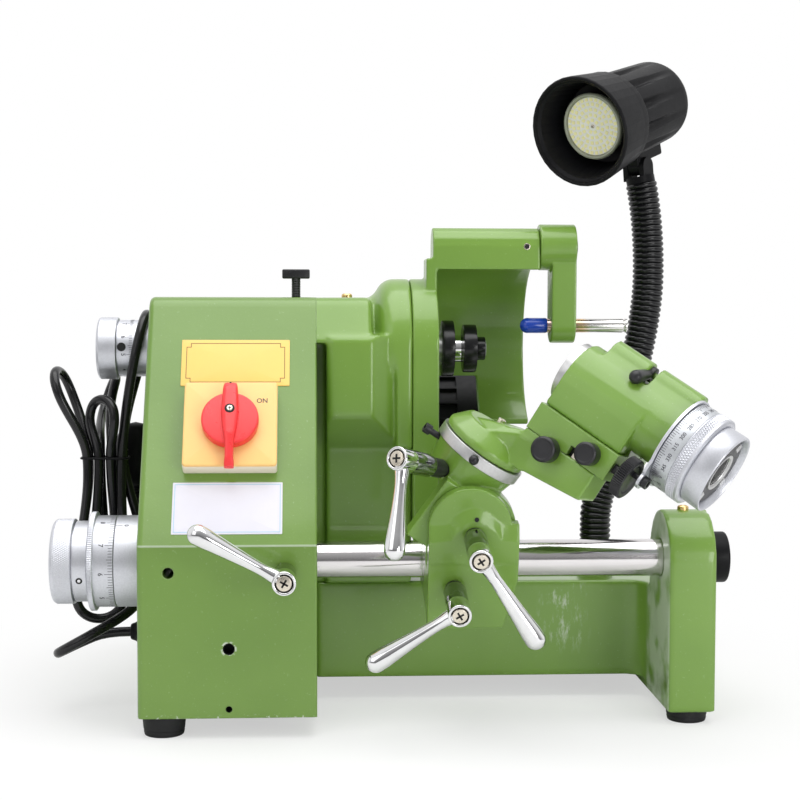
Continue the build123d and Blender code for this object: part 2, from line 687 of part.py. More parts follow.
def neck_roof():
    """The column's slope and top, carried on over the neck."""
    back = SPINDLE_Y + NECK_RADIUS
    crown = slope_y(COLUMN_TOP_Z), COLUMN_TOP_Z
    face = make_face(
        Polyline(
            (slope_y(NECK_ROOF_LOW_Z), NECK_ROOF_LOW_Z),
            crown,
            (back, COLUMN_TOP_Z),
            (back, NECK_ROOF_LOW_Z),
            close=True,
        )
    )
    corner = face.vertices().sort_by_distance((*crown, 0))[0]
    roof = extrude(Plane.YZ.offset(COLUMN_RIGHT_X) * fillet(corner, TOP_ROUND), NECK_ROOF_LENGTH)
    end = roof.faces().sort_by(Axis.X)[-1]
    centres = [(edge, edge.center()) for edge in end.edges()]
    upper = [edge for edge, at in centres if at.Z > NECK_ROOF_LOW_Z + 1 and at.Y < back - 1]
    return fillet(upper, EDGE_ROUND)


def neck_bulge():
    """The rounded bulge on the front of the neck, drawn back at its foot."""
    left = COLUMN_RIGHT_X + NECK_BULGE_INSET
    right = NECK_RIGHT_X - NECK_FLANGE_LENGTH
    shoulder = left + NECK_BULGE_LENGTH
    bulge = slab(
        [
            (NECK_BULGE_FRONT_Y, NECK_BULGE_KNEE_Z),
            (NECK_BULGE_FRONT_Y, NECK_BULGE_TOP_Z),
            (SPINDLE_Y, NECK_BULGE_TOP_Z),
            (SPINDLE_Y, NECK_BULGE_FOOT_Z),
            (NECK_WALL_FRONT_Y, NECK_BULGE_FOOT_Z),
        ],
        left,
        right,
    )
    front = bulge.faces().sort_by(Axis.Y)[0]
    bulge = fillet(front.edges(), NECK_BULGE_ROUND)
    corner = make_face(
        Polyline(
            (shoulder, NECK_BULGE_FRONT_Y - 1),
            (shoulder, NECK_BULGE_FRONT_Y),
            (right, NECK_BULGE_FRONT_Y + NECK_BULGE_SHOULDER),
            (right + 1, NECK_BULGE_FRONT_Y - 1),
            close=True,
        )
    )
    return bulge - Pos(0, 0, NECK_BULGE_FOOT_Z - 1) * extrude(corner, NECK_BULGE_TOP_Z - NECK_BULGE_FOOT_Z + 2)


def headstock_casting():
    """A neck flared to a round flange, with a roof, a front bulge and a wall that stands on the bed."""
    flare_end = NECK_LENGTH - NECK_FLANGE_LENGTH
    flare_start = flare_end - NECK_FLARE_LENGTH
    middle = (flare_start + flare_end) / 2, (NECK_RADIUS + NECK_FLANGE_RADIUS) / 2
    lower = Line((0, 0), (0, NECK_RADIUS))
    straight = Line((0, NECK_RADIUS), (flare_start, NECK_RADIUS))
    hollow = TangentArc((flare_start, NECK_RADIUS), middle, tangent=(1, 0))
    crown = TangentArc(middle, (flare_end, NECK_FLANGE_RADIUS), tangent=hollow % 1)
    rim = Polyline(crown @ 1, (NECK_LENGTH, NECK_FLANGE_RADIUS), (NECK_LENGTH, 0), (0, 0))
    profile = make_face(Curve() + [lower, straight, hollow, crown, rim])
    neck = Pos(COLUMN_RIGHT_X, SPINDLE_Y, SPINDLE_Z) * revolve(profile, Axis.X)
    wall = block(COLUMN_RIGHT_X, NECK_RIGHT_X, NECK_WALL_FRONT_Y, NECK_WALL_BACK_Y, BED_TOP_Z, SPINDLE_Z)
    apron_left = NECK_RIGHT_X - NECK_FLANGE_LENGTH
    apron_front = SPINDLE_Y - NECK_FLANGE_RADIUS
    wall += block(apron_left, NECK_RIGHT_X, apron_front, SPINDLE_Y, NECK_BULGE_FOOT_Z, SPINDLE_Z)
    groove = block(
        COLUMN_RIGHT_X - 1,
        COLUMN_RIGHT_X + NECK_BULGE_INSET,
        NECK_WALL_FRONT_Y - 1,
        NECK_WALL_FRONT_Y + NECK_GROOVE_DEPTH,
        BED_TOP_Z - 1,
        NECK_ROOF_LOW_Z,
    )
    cored = block(
        COLUMN_RIGHT_X + COLUMN_WALL,
        NECK_RIGHT_X - COLUMN_WALL,
        NECK_WALL_FRONT_Y + COLUMN_WALL,
        NECK_WALL_BACK_Y - COLUMN_WALL,
        BED_TOP_Z - 1,
        SPINDLE_Z - NECK_RADIUS - COLUMN_WALL,
    )
    body = neck + wall - groove + neck_roof() + neck_bulge() - cored
    bore = rod_x(QUILL_RADIUS + RUNNING_GAP, COLUMN_RIGHT_X - 1, NECK_RIGHT_X + 1, SPINDLE_Y, SPINDLE_Z)
    return body - bore


def rubber_feet():
    """Four moulded feet, narrower at the bench."""
    foot = Cone(FOOT_BENCH_RADIUS, FOOT_RADIUS, FOOT_HEIGHT, align=BOTTOM)
    return [Pos(x, y, 0) * foot for x, y in FEET]


def bar_feed_sleeve():
    """The fixed sleeve beside the lower dial, plugged into the bar housing."""
    left = COLUMN_LEFT_X - FEED_SLEEVE_LENGTH
    sleeve = rod_x(FEED_SLEEVE_RADIUS, left, COLUMN_LEFT_X, BAR_Y, BAR_Z)
    sleeve += rod_x(BAR_RADIUS, COLUMN_LEFT_X - 1, COLUMN_LEFT_X + FEED_PLUG_LENGTH, BAR_Y, BAR_Z)
    return sleeve - rod_x(FEED_SCREW_RADIUS + RUNNING_GAP, left - 1, BAR_LEFT_X, BAR_Y, BAR_Z)


def feed_stations():
    """X of the faces along the lower knob, from the sleeve outwards."""
    dial_right = COLUMN_LEFT_X - FEED_SLEEVE_LENGTH - FACE_GAP
    flange_right = dial_right - FEED_DIAL_LENGTH
    neck_right = flange_right - FEED_FLANGE_LENGTH
    rim_right = neck_right - FEED_NECK_LENGTH
    return dial_right, flange_right, neck_right, rim_right, rim_right - FEED_RIM_LENGTH


def bar_feed_knob():
    """The lower hand knob, turned in one piece with its feed screw."""
    dial_right, _, neck_right, rim_right, rim_left = feed_stations()
    profile = [
        (rim_left, FEED_RIM_RADIUS - FEED_RIM_CHAMFER),
        (rim_left + FEED_RIM_CHAMFER, FEED_RIM_RADIUS),
        (rim_right, FEED_RIM_RADIUS),
        (rim_right, FEED_NECK_RADIUS),
        (neck_right, FEED_NECK_RADIUS),
        (neck_right, FEED_HUB_RADIUS),
        (dial_right, FEED_HUB_RADIUS),
        (dial_right, FEED_SCREW_RADIUS),
        (BAR_LEFT_X + FEED_SCREW_REACH, FEED_SCREW_RADIUS),
    ]
    return Pos(0, BAR_Y, BAR_Z) * turned_x(profile)


def bar_feed_dial():
    """The graduated ring with its thin knurled flange."""
    dial_right, flange_right, neck_right, _, _ = feed_stations()
    ring = rod_x(FEED_SLEEVE_RADIUS, flange_right, dial_right, BAR_Y, BAR_Z)
    ring += rod_x(FEED_FLANGE_RADIUS, neck_right, flange_right, BAR_Y, BAR_Z)
    return ring - rod_x(FEED_HUB_RADIUS, neck_right - 1, dial_right + 1, BAR_Y, BAR_Z)


def guide_bar():
    """The ground bar, tapped at its left end for the feed screw."""
    bar = rod_x(BAR_RADIUS, BAR_LEFT_X, BAR_RIGHT_X, BAR_Y, BAR_Z)
    depth = FEED_SCREW_REACH + 2 * BAR_TRAVEL
    return bar - rod_x(FEED_SCREW_RADIUS + RUNNING_GAP, BAR_LEFT_X - 1, BAR_LEFT_X + depth, BAR_Y, BAR_Z)


def bar_end_cap():
    """A black cap over the bar's right end."""
    cap = rod_x(END_CAP_RADIUS, BRACKET_RIGHT_X, BRACKET_RIGHT_X + END_CAP_LENGTH, BAR_Y, BAR_Z)
    cap = fillet(cap.edges().sort_by(Axis.X)[-1], END_CAP_ROUND)
    depth = END_CAP_LENGTH - END_CAP_WALL
    return cap - rod_x(BAR_RADIUS + FACE_GAP, BRACKET_RIGHT_X - 1, BRACKET_RIGHT_X + depth, BAR_Y, BAR_Z)


def infeed_knob():
    """The upper hand knob with its graduated drum and infeed screw in one piece."""
    drum_right = COLUMN_LEFT_X - FACE_GAP
    rim_right = drum_right - INFEED_DIAL_LENGTH
    rim_left = rim_right - INFEED_RIM_LENGTH
    profile = [
        (rim_left, INFEED_RIM_RADIUS - INFEED_RIM_CHAMFER),
        (rim_left + INFEED_RIM_CHAMFER, INFEED_RIM_RADIUS),
        (rim_right, INFEED_RIM_RADIUS),
        (rim_right + INFEED_RIM_CHAMFER, INFEED_DIAL_RADIUS),
        (drum_right, INFEED_DIAL_RADIUS),
        (drum_right, INFEED_SCREW_RADIUS),
        (INFEED_SCREW_END_X, INFEED_SCREW_RADIUS),
    ]
    return Pos(0, SPINDLE_Y, SPINDLE_Z) * turned_x(profile)


def quill_flange_x():
    """The rear flange's right face, clear of the column's wall over the quill's travel."""
    return COLUMN_RIGHT_X - COLUMN_WALL - QUILL_TRAVEL - FACE_GAP


def quill_sleeve():
    """The sliding quill, its rear flange and the two-rod yoke that the infeed screw draws."""
    flange_right = quill_flange_x()
    flange_left = flange_right - QUILL_FLANGE_LENGTH
    quill = rod_x(QUILL_RADIUS, flange_left, QUILL_FRONT_X)
    quill += rod_x(QUILL_FLANGE_RADIUS, flange_left, flange_right)
    left = YOKE_LEFT_X
    yoke = rod_x(QUILL_FLANGE_RADIUS, left, left + YOKE_PLATE)
    yoke -= rod_x(INFEED_SCREW_RADIUS + RUNNING_GAP, left - 1, left + YOKE_PLATE + 1)
    for angle in YOKE_ROD_ANGLES:
        y = YOKE_ROD_ORBIT * math.cos(math.radians(angle))
        z = YOKE_ROD_ORBIT * math.sin(math.radians(angle))
        yoke += rod_x(YOKE_ROD_RADIUS, left, flange_left + 1, y, z)
    bore = rod_x(QUILL_BORE, flange_left - 1, QUILL_FRONT_X + 1)
    side = 2 * QUILL_FLANGE_RADIUS
    below = block(left - 1, QUILL_FRONT_X + 1, -side, side, -side, QUILL_FLAT)
    return Pos(0, SPINDLE_Y, SPINDLE_Z) * ((quill - bore + yoke) & below)


def spindle_bearings():
    """Two bearings, one at each end of the quill."""
    rear = quill_flange_x() - QUILL_FLANGE_LENGTH
    front = QUILL_FRONT_X - BEARING_LENGTH
    bearing = tube_x(QUILL_BORE, SPINDLE_RADIUS + RUNNING_GAP, 0, BEARING_LENGTH)
    return [Pos(left, SPINDLE_Y, SPINDLE_Z) * bearing for left in (rear, front)]


def nose_stations():
    """X of the faces along the wheel seat, from the rear flange outwards."""
    seat = NOSE_X + REAR_FLANGE_LENGTH
    front = seat + WHEEL_SEAT_LENGTH
    nut = front + FRONT_FLANGE_LENGTH
    return seat, front, nut, nut + SPINDLE_NUT_LENGTH


def spindle_shaft():
    """The wheel spindle, stepped down at its nose for the front flange and the nut."""
    seat, front, nut, end = nose_stations()
    shaft = rod_x(SPINDLE_RADIUS, SPINDLE_TAIL_X, front, SPINDLE_Y, SPINDLE_Z)
    return shaft + rod_x(SPINDLE_NOSE_RADIUS, front, end - 1, SPINDLE_Y, SPINDLE_Z)


def wheel_flanges():
    """The rear and front wheel flanges and the nut that clamps them."""
    seat, front, nut, end = nose_stations()
    place = (SPINDLE_Y, SPINDLE_Z)
    clamp_nut = tube_x(SPINDLE_NUT_RADIUS, SPINDLE_NOSE_RADIUS, nut, end, *place)
    return [
        tube_x(REAR_FLANGE_RADIUS, SPINDLE_RADIUS, NOSE_X, seat, *place),
        tube_x(FRONT_FLANGE_RADIUS, SPINDLE_NOSE_RADIUS, front, nut, *place),
        clamp_nut,
    ]


def spindle_pulley():
    """A long drum, so that the belt stays on it as the quill slides."""
    left = BELT_X - SPINDLE_PULLEY_LENGTH / 2
    return tube_x(
        SPINDLE_PULLEY_RADIUS, SPINDLE_RADIUS, left, left + SPINDLE_PULLEY_LENGTH, SPINDLE_Y, SPINDLE_Z
    )


def motor_pulley():
    """The driving pulley on the motor shaft."""
    left = BELT_X - PULLEY_LENGTH / 2
    return tube_x(MOTOR_PULLEY_RADIUS, MOTOR_SHAFT_RADIUS, left, left + PULLEY_LENGTH, MOTOR_Y, MOTOR_Z)


def motor_shaft():
    """The motor shaft, through the mounting plate into the belt cover."""
    return rod_x(
        MOTOR_SHAFT_RADIUS,
        BELT_X - PULLEY_LENGTH / 2 - FACE_GAP,
        MOTOR_LEFT_X + MOTOR_LENGTH / 2,
        MOTOR_Y,
        MOTOR_Z,
    )


def motor_body():
    """A finned motor can with plain end bells."""
    can = rod_x(MOTOR_RADIUS - MOTOR_FIN_HEIGHT, 0, MOTOR_LENGTH)
    bell, half = MOTOR_BELL_LENGTH, MOTOR_FIN_WIDTH / 2
    fin = block(bell, MOTOR_LENGTH - bell, -half, half, MOTOR_RADIUS / 2, MOTOR_RADIUS)
    fins = [Rot(turn * 360 / MOTOR_FIN_COUNT, 0, 0) * fin for turn in range(MOTOR_FIN_COUNT)]
    can = can + rod_x(MOTOR_RADIUS, 0, bell) + rod_x(MOTOR_RADIUS, MOTOR_LENGTH - bell, MOTOR_LENGTH) + fins
    can -= rod_x(MOTOR_SHAFT_RADIUS + RUNNING_GAP, -1, MOTOR_LENGTH / 2 + FACE_GAP)
    return Pos(MOTOR_LEFT_X, MOTOR_Y, MOTOR_Z) * can


def motor_mount():
    """The plate that carries the motor on the column's right side."""
    half = MOTOR_PLATE_REACH
    plate = block(
        COLUMN_RIGHT_X,
        MOTOR_LEFT_X,
        COLUMN_BACK_Y - MOTOR_PLATE_OVERLAP,
        MOTOR_Y + half,
        MOTOR_Z - half,
        MOTOR_Z + half,
    )
    return plate - rod_x(2 * MOTOR_SHAFT_RADIUS, COLUMN_RIGHT_X - 1, MOTOR_LEFT_X + 1, MOTOR_Y, MOTOR_Z)


def belt_loop(growth):
    """A filled open-belt outline round both pulleys, grown outwards from their rims."""
    small, large = SPINDLE_PULLEY_RADIUS + growth, MOTOR_PULLEY_RADIUS + growth
    gap_y, gap_z = MOTOR_Y - SPINDLE_Y, MOTOR_Z - SPINDLE_Z
    heading = math.atan2(gap_z, gap_y)
    spread = math.acos((small - large) / math.hypot(gap_y, gap_z))

    def rim(centre, radius, angle):
        return centre[0] + radius * math.cos(angle), centre[1] + radius * math.sin(angle)

    spindle, motor = (SPINDLE_Y, SPINDLE_Z), (MOTOR_Y, MOTOR_Z)
    top, low = heading + spread, heading - spread
    round_spindle = ThreePointArc(
        rim(spindle, small, top), rim(spindle, small, heading + math.pi), rim(spindle, small, low)
    )
    round_motor = ThreePointArc(rim(motor, large, low), rim(motor, large, heading), rim(motor, large, top))
    lower_run = Line(round_spindle @ 1, round_motor @ 0)
    upper_run = Line(round_motor @ 1, round_spindle @ 0)
    return make_face(Curve() + [round_spindle, lower_run, round_motor, upper_run])


def drive_belt():
    """The flat belt from the motor to the spindle."""
    left = BELT_X - BELT_WIDTH / 2
    face = belt_loop(FACE_GAP + BELT_THICKNESS) - belt_loop(FACE_GAP)
    return extrude(Plane.YZ.offset(left) * face, BELT_WIDTH)


def belt_cover():
    """The back plate of the column with the hood over the motor pulley."""
    left, right = COLUMN_LEFT_X, COLUMN_RIGHT_X
    back = COLUMN_BACK_Y
    reach = MOTOR_PULLEY_RADIUS + COVER_MARGIN
    hood_low, hood_high = MOTOR_Z - reach, SPINDLE_Z
    hood_left = left + COLUMN_WALL
    plate = block(left, right, back, back + COVER_SHEET, FOOT_HEIGHT, COLUMN_TOP_Z)
    hood_back = MOTOR_Y + reach
    sheet = COVER_SHEET
    profile = [
        (back, hood_low),
        (hood_back, hood_low),
        (hood_back, MOTOR_Z + COVER_KNEE_RISE),
        (back + COVER_TOP_DEPTH, hood_high),
        (back, hood_high),
    ]
    hood = slab(profile, hood_left, right)
    inner = [
        (back - 1, hood_low + sheet),
        (hood_back - sheet, hood_low + sheet),
        (hood_back - sheet, MOTOR_Z + COVER_KNEE_RISE - sheet),
        (back + COVER_TOP_DEPTH - sheet, hood_high - sheet),
        (back - 1, hood_high - sheet),
    ]
    hollow = slab(inner, hood_left + sheet, right - sheet)
    cover = plate + hood - hollow
    return cover - rod_x(2 * MOTOR_SHAFT_RADIUS, right - 2 * sheet, right + 1, MOTOR_Y, MOTOR_Z)


def cover_screws():
    """Round-headed screws at the corners of the back plate."""
    head = Rot(-90, 0, 0) * Cylinder(SCREW_HEAD_RADIUS, SCREW_HEAD_HEIGHT, align=BOTTOM)
    inset = COLUMN_WALL / 2
    return [
        Pos(x, COLUMN_BACK_Y + COVER_SHEET, z) * head
        for x in (COLUMN_LEFT_X + inset, COLUMN_RIGHT_X - inset)
        for z in (FOOT_HEIGHT + SCREW_RISE, COLUMN_TOP_Z - SCREW_RISE)
    ]


def wheel_guard():
    """A tall clamp plate, a round shell open to the front, and the boss of the dresser pivot."""
    y, z = SPINDLE_Y, SPINDLE_Z
    plate = rod_x(NECK_FLANGE_RADIUS, NECK_RIGHT_X, GUARD_LEFT_X, y, z)
    plate += block(
        NECK_RIGHT_X, GUARD_LEFT_X, y - NECK_FLANGE_RADIUS, y + NECK_FLANGE_RADIUS, GUARD_FOOT_Z, z
    )
    inner, outer = GUARD_INNER_RADIUS, GUARD_INNER_RADIUS + GUARD_WALL
    roof_low, roof_high = z + inner, z + outer
    end = math.radians(GUARD_END_ANGLE)
    shell = rod_x(outer, GUARD_LEFT_X, GUARD_RIGHT_X, y, z) - rod_x(
        inner, GUARD_LEFT_X - 1, GUARD_RIGHT_X + 1, y, z
    )
    far = 3 * outer
    below = math.cos(end), math.sin(end)
    keep = slab(
        [(y, z), (y, z + far), (y + far, z + far), (y + far * below[0], z + far * below[1])],
        GUARD_LEFT_X,
        GUARD_RIGHT_X,
    )
    shell = shell & keep
    brow_front = DRESSER_Y - DRESSER_BOSS_RADIUS
    brow_low = roof_low - GUARD_BROW_DEPTH
    brow = block(GUARD_LEFT_X, GUARD_RIGHT_X, brow_front, DRESSER_Y, brow_low, roof_high)
    roof = block(GUARD_LEFT_X, GUARD_RIGHT_X, DRESSER_Y, y, roof_low, roof_high)
    slot = block(
        GUARD_LEFT_X - 1, GUARD_LEFT_X + GUARD_SLOT_LENGTH, y, y + far, z - far, GUARD_SLOT_TOP_Z
    )
    shell = shell - slot + roof + brow
    boss_left = GUARD_LEFT_X - GUARD_LUG_LENGTH
    facets = Plane.YZ.offset(boss_left) * Pos(DRESSER_Y, DRESSER_Z) * RegularPolygon(
        DRESSER_BOSS_RADIUS, DRESSER_BOSS_SIDES
    )
    boss = extrude(facets, GUARD_RIGHT_X - boss_left)
    web = block(
        boss_left,
        GUARD_RIGHT_X,
        DRESSER_Y - DRESSER_BOSS_RADIUS,
        DRESSER_Y + DRESSER_BOSS_RADIUS,
        z + NECK_FLANGE_RADIUS / 2,
        DRESSER_Z,
    )
    web &= block(NECK_RIGHT_X, GUARD_LEFT_X, -far, far, 0, DRESSER_Z) + block(
        GUARD_LEFT_X - 1, GUARD_RIGHT_X, -far, far, roof_low, DRESSER_Z
    )
    ear = block(
        boss_left - GUARD_EAR_LENGTH,
        GUARD_LEFT_X,
        brow_front,
        y,
        z + NECK_FLANGE_RADIUS / 2,
        DRESSER_Z - GUARD_EAR_DROP,
    )
    guard = plate + shell + boss + web + ear
    guard -= rod_x(QUILL_RADIUS + 1, NECK_RIGHT_X - 1, GUARD_LEFT_X + 1, y, z)
    pin_end = GUARD_RIGHT_X - DRESSER_PIN_DEPTH
    return guard - rod_x(DRESSER_PIN_RADIUS + RUNNING_GAP, pin_end, GUARD_RIGHT_X + 1, DRESSER_Y, DRESSER_Z)


def dresser_stations():
    """X of the dresser hub's left face, the arm's left face and the right face of both."""
    hub_left = GUARD_RIGHT_X + FACE_GAP
    right = hub_left + DRESSER_HUB_LENGTH
    return hub_left, right - DRESSER_ARM_THICKNESS, right


def dresser_arm():
    """The swinging arm, its hub and pivot pin, bored at the foot for the diamond rod."""
    hub_left, arm_left, right = dresser_stations()
    arm = rod_x(DRESSER_HUB_RADIUS, hub_left, right)
    half = DRESSER_ARM_WIDTH / 2
    arm += block(arm_left, right, -half, half, -DRESSER_ARM_DROP, 0)
    arm += rod_x(half, arm_left, right, 0, -DRESSER_ARM_DROP)
    arm += rod_x(DRESSER_PIN_RADIUS, GUARD_RIGHT_X - DRESSER_PIN_DEPTH + FACE_GAP, hub_left + 1)
    arm -= rod_x(DRESSER_ROD_RADIUS + RUNNING_GAP, arm_left - 1, right + 1, 0, -DRESSER_ARM_DROP)
    return Pos(0, DRESSER_Y, DRESSER_Z) * arm


def dresser_rod():
    """The steel diamond holder through the foot of the arm."""
    arm_left = dresser_stations()[1]
    start = arm_left - DRESSER_CAP_LENGTH / 2
    end = arm_left + DRESSER_ROD_LENGTH
    return rod_x(DRESSER_ROD_RADIUS, start, end, DRESSER_Y, DRESSER_Z - DRESSER_ARM_DROP)


def dresser_cap():
    """The soft cap over the diamond end, with a rounded nose."""
    right = dresser_stations()[1] - DIAMOND_TRAVEL - FACE_GAP
    left = right - DRESSER_CAP_LENGTH
    cap = rod_x(DRESSER_CAP_RADIUS, left + DRESSER_CAP_RADIUS, right)
    cap += Pos(left + DRESSER_CAP_RADIUS, 0, 0) * Sphere(DRESSER_CAP_RADIUS)
    cap -= rod_x(DRESSER_ROD_RADIUS, dresser_stations()[1] - DRESSER_CAP_LENGTH / 2, right + 1)
    return Pos(0, DRESSER_Y, DRESSER_Z - DRESSER_ARM_DROP) * cap


def clamp_lever(stand, stud_radius, stud_depth):
    """A ball-ended clamp handle on its stud. The hub stands along +Z and the handle points along +X."""
    top = stand + LEVER_HUB_LENGTH
    lever = rod_z(LEVER_HUB_RADIUS, stand, top)
    lever += rod_z(LEVER_COLLAR_RADIUS, STUD_GAP, stand + 1)
    lever += rod_z(stud_radius, -stud_depth, stand + 1)
    handle = Cone(LEVER_ROOT_RADIUS, LEVER_BALL_RADIUS, LEVER_ARM_LENGTH, align=BOTTOM)
    handle += Pos(0, 0, LEVER_ARM_LENGTH) * Sphere(LEVER_BALL_RADIUS)
    lever += Pos(0, 0, top - LEVER_HUB_RADIUS) * Rot(0, 90 - LEVER_RISE, 0) * handle
    return lever - rod_z(LEVER_RECESS_RADIUS, top - LEVER_RECESS_DEPTH, top + LEVER_HUB_RADIUS)


def front_lever(frame, x, height, front, handle_angle, stud_radius, stud_depth):
    """A clamp lever on a front face: the hub points to the operator, the handle at an angle from +X."""
    place = frame * Pos(x, -front, height) * Rot(90, 0, 0) * Rot(0, 0, handle_angle)
    return place * clamp_lever(LEVER_COLLAR_LENGTH, stud_radius, stud_depth)


def bar_clamp_lever():
    """The lever on the column front that locks the guide bar."""
    frame = Pos(0, BAR_Y, BAR_Z)
    front = BAR_Y - COLUMN_FRONT_Y
    depth = front - BAR_RADIUS - STUD_GAP
    return front_lever(frame, bar_lever_x(), 0, front, BAR_LEVER_ANGLE, LEVER_STUD_RADIUS, depth)


def saddle_clamp_lever():
    """The lower lever, which locks the saddle on its bush."""
    depth = SADDLE_FRONT - BAR_RADIUS - BUSH_WALL - STUD_GAP
    return front_lever(
        SADDLE_FRAME, SADDLE_LEVER_X, 0, SADDLE_FRONT, SADDLE_LEVER_ANGLE, LEVER_STUD_RADIUS, depth
    )


def tilt_clamp_lever():
    """The upper lever, whose stud is the tilt pivot."""
    depth = SADDLE_FRONT - SADDLE_BLOCK - 2 * STUD_GAP
    return front_lever(
        SADDLE_FRAME, PIVOT_X, PIVOT_HEIGHT, SADDLE_FRONT, TILT_LEVER_ANGLE, PIVOT_STUD_RADIUS, depth
    )


def swivel_lever_frame():
    """The swivel lever's stud enters the cone from the front left, square to the swivel axis."""
    ring = TILT_FRAME * Pos(-RING_OFFSET, -RING_SETBACK, RING_TOP - SWIVEL_LEVER_DROP)
    return ring * Rot(0, 0, 180 + SWIVEL_LEVER_BEARING) * Rot(0, 90, 0)


def swivel_clamp_lever():
    """The lever that locks the swivel, hanging at the left."""
    reach = RING_RADIUS
    depth = reach - SWIVEL_PIN_RADIUS - STUD_GAP
    lever = clamp_lever(SWIVEL_LEVER_STAND, LEVER_STUD_RADIUS, depth)
    return swivel_lever_frame() * Pos(0, 0, reach) * Rot(0, 0, SWIVEL_LEVER_TURN) * lever


def saddle_bush():
    """The bush between the guide bar and the saddle."""
    inner, outer = BAR_RADIUS + RUNNING_GAP, BAR_RADIUS + BUSH_WALL
    return SADDLE_FRAME * tube_x(outer, inner, SADDLE_X, SADDLE_X + SADDLE_LENGTH)


def apron():
    """The thick front of the saddle: a tapered foot, a sloping shoulder and a hump round the pivot."""
    x0, x1 = SADDLE_X, SADDLE_X + SADDLE_LENGTH
    front, back = -SADDLE_FRONT, -SADDLE_FRONT + SADDLE_PLATE
    recessed = front + SADDLE_STEP
    profile = [
        (back, -APRON_DROP),
        (front, -APRON_DROP),
        (front, APRON_FRONT_TOP),
        (recessed, APRON_BACK_TOP),
        (back, APRON_BACK_TOP),
    ]
    outline = [
        (x0, APRON_BACK_TOP),
        (x0, -APRON_DROP),
        (x1 - APRON_TAPER, -APRON_DROP),
        (x1, APRON_BREAK),
        (x1, APRON_BACK_TOP),
    ]
    hump = Pos(PIVOT_X, recessed, PIVOT_HEIGHT) * Rot(90, 0, 0) * Cone(
        HUMP_RADIUS, HUMP_FRONT_RADIUS, SADDLE_STEP, align=BOTTOM
    )
    return (slab(profile, x0, x1) & upright(outline, front - 1, back + 1)) + hump


def saddle_body():
    """The saddle: a bored block behind, a bridge below and an arched plate with a thick apron in front."""
    x0, x1 = SADDLE_X, SADDLE_X + SADDLE_LENGTH
    front, back = -SADDLE_FRONT, -SADDLE_FRONT + SADDLE_PLATE
    low = -SADDLE_BOTTOM
    size = SADDLE_BLOCK
    bored = block(x0, x1, -size, size, low, size)
    bored = fillet(bored.edges().filter_by(Axis.X), 2 * EDGE_ROUND)
    disc_low = PIVOT_HEIGHT - TILT_DISC_RADIUS - 2 * FACE_GAP
    bridge = block(x0, x1 - APRON_TAPER, back - 1, -size + 3 * EDGE_ROUND, low, min(disc_low, size))
    recessed = front + SADDLE_STEP
    arch = block(x0, x0 + 2 * ARCH_RADIUS, recessed, back, 0, ARCH_HEIGHT)
    arch += rod_y(ARCH_RADIUS, recessed, back, x0 + ARCH_RADIUS, ARCH_HEIGHT)
    saddle = bored + bridge + arch + apron()
    saddle -= rod_x(BAR_RADIUS + BUSH_WALL + RUNNING_GAP, x0 - 1, x1 + 1)
    saddle -= rod_y(PIVOT_STUD_RADIUS + RUNNING_GAP, front - 1, back + 1, PIVOT_X, PIVOT_HEIGHT)
    saddle -= rod_y(LEVER_STUD_RADIUS + STUD_GAP, front - 1, 0, SADDLE_LEVER_X)
    return SADDLE_FRAME * saddle


def tilt_block():
    """The tilting block: a pivot disc behind the arched plate, a shoulder and the swivel's cone and pin."""
    back, front = -SADDLE_BLOCK - FACE_GAP, -SADDLE_FRONT + SADDLE_PLATE + FACE_GAP
    disc = rod_y(TILT_DISC_RADIUS, front, back)
    lobe = block(-TILT_LOBE_LEFT, 0, front, back, -TILT_LOBE_DROP, PIVOT_HEIGHT / 2)
    cone_low = RING_TOP - RING_HEIGHT - CONE_HEIGHT
    shoulder = block(
        -TILT_LOBE_LEFT,
        CONE_FOOT_RADIUS - RING_OFFSET,
        front,
        RING_SETBACK,
        cone_low - SHOULDER_DROP,
        cone_low + SHOULDER_RISE,
    )
    ring_low = RING_TOP - RING_HEIGHT
    cone = Pos(-RING_OFFSET, -RING_SETBACK, cone_low) * Cone(
        CONE_FOOT_RADIUS, RING_RADIUS - CONE_LIP, CONE_HEIGHT, align=BOTTOM
    )
    pin = rod_z(SWIVEL_PIN_RADIUS, ring_low - 1, RING_TOP + SWIVEL_PIN_HEIGHT, -RING_OFFSET, -RING_SETBACK)
    tilt = disc + lobe + shoulder + cone + pin
    tilt -= rod_y(PIVOT_STUD_RADIUS + RUNNING_GAP, front - 1, back + 1)
    body = TILT_FRAME * (tilt - cap_screw_shank())
    stud = rod_z(LEVER_STUD_RADIUS + STUD_GAP, SWIVEL_PIN_RADIUS + STUD_GAP / 2, 3 * RING_RADIUS)
    return body - swivel_lever_frame() * stud


def cap_screw_shank():
    """The shank of the cap screw in the left of the cone, in the tilt block's frame."""
    height = RING_TOP - CAP_SCREW_DROP
    right = -RING_OFFSET - RING_RADIUS + CAP_SCREW_DEPTH
    left = -RING_OFFSET - RING_RADIUS - CAP_SCREW_STAND
    return rod_x(CAP_SCREW_RADIUS, left, right, -RING_SETBACK, height)


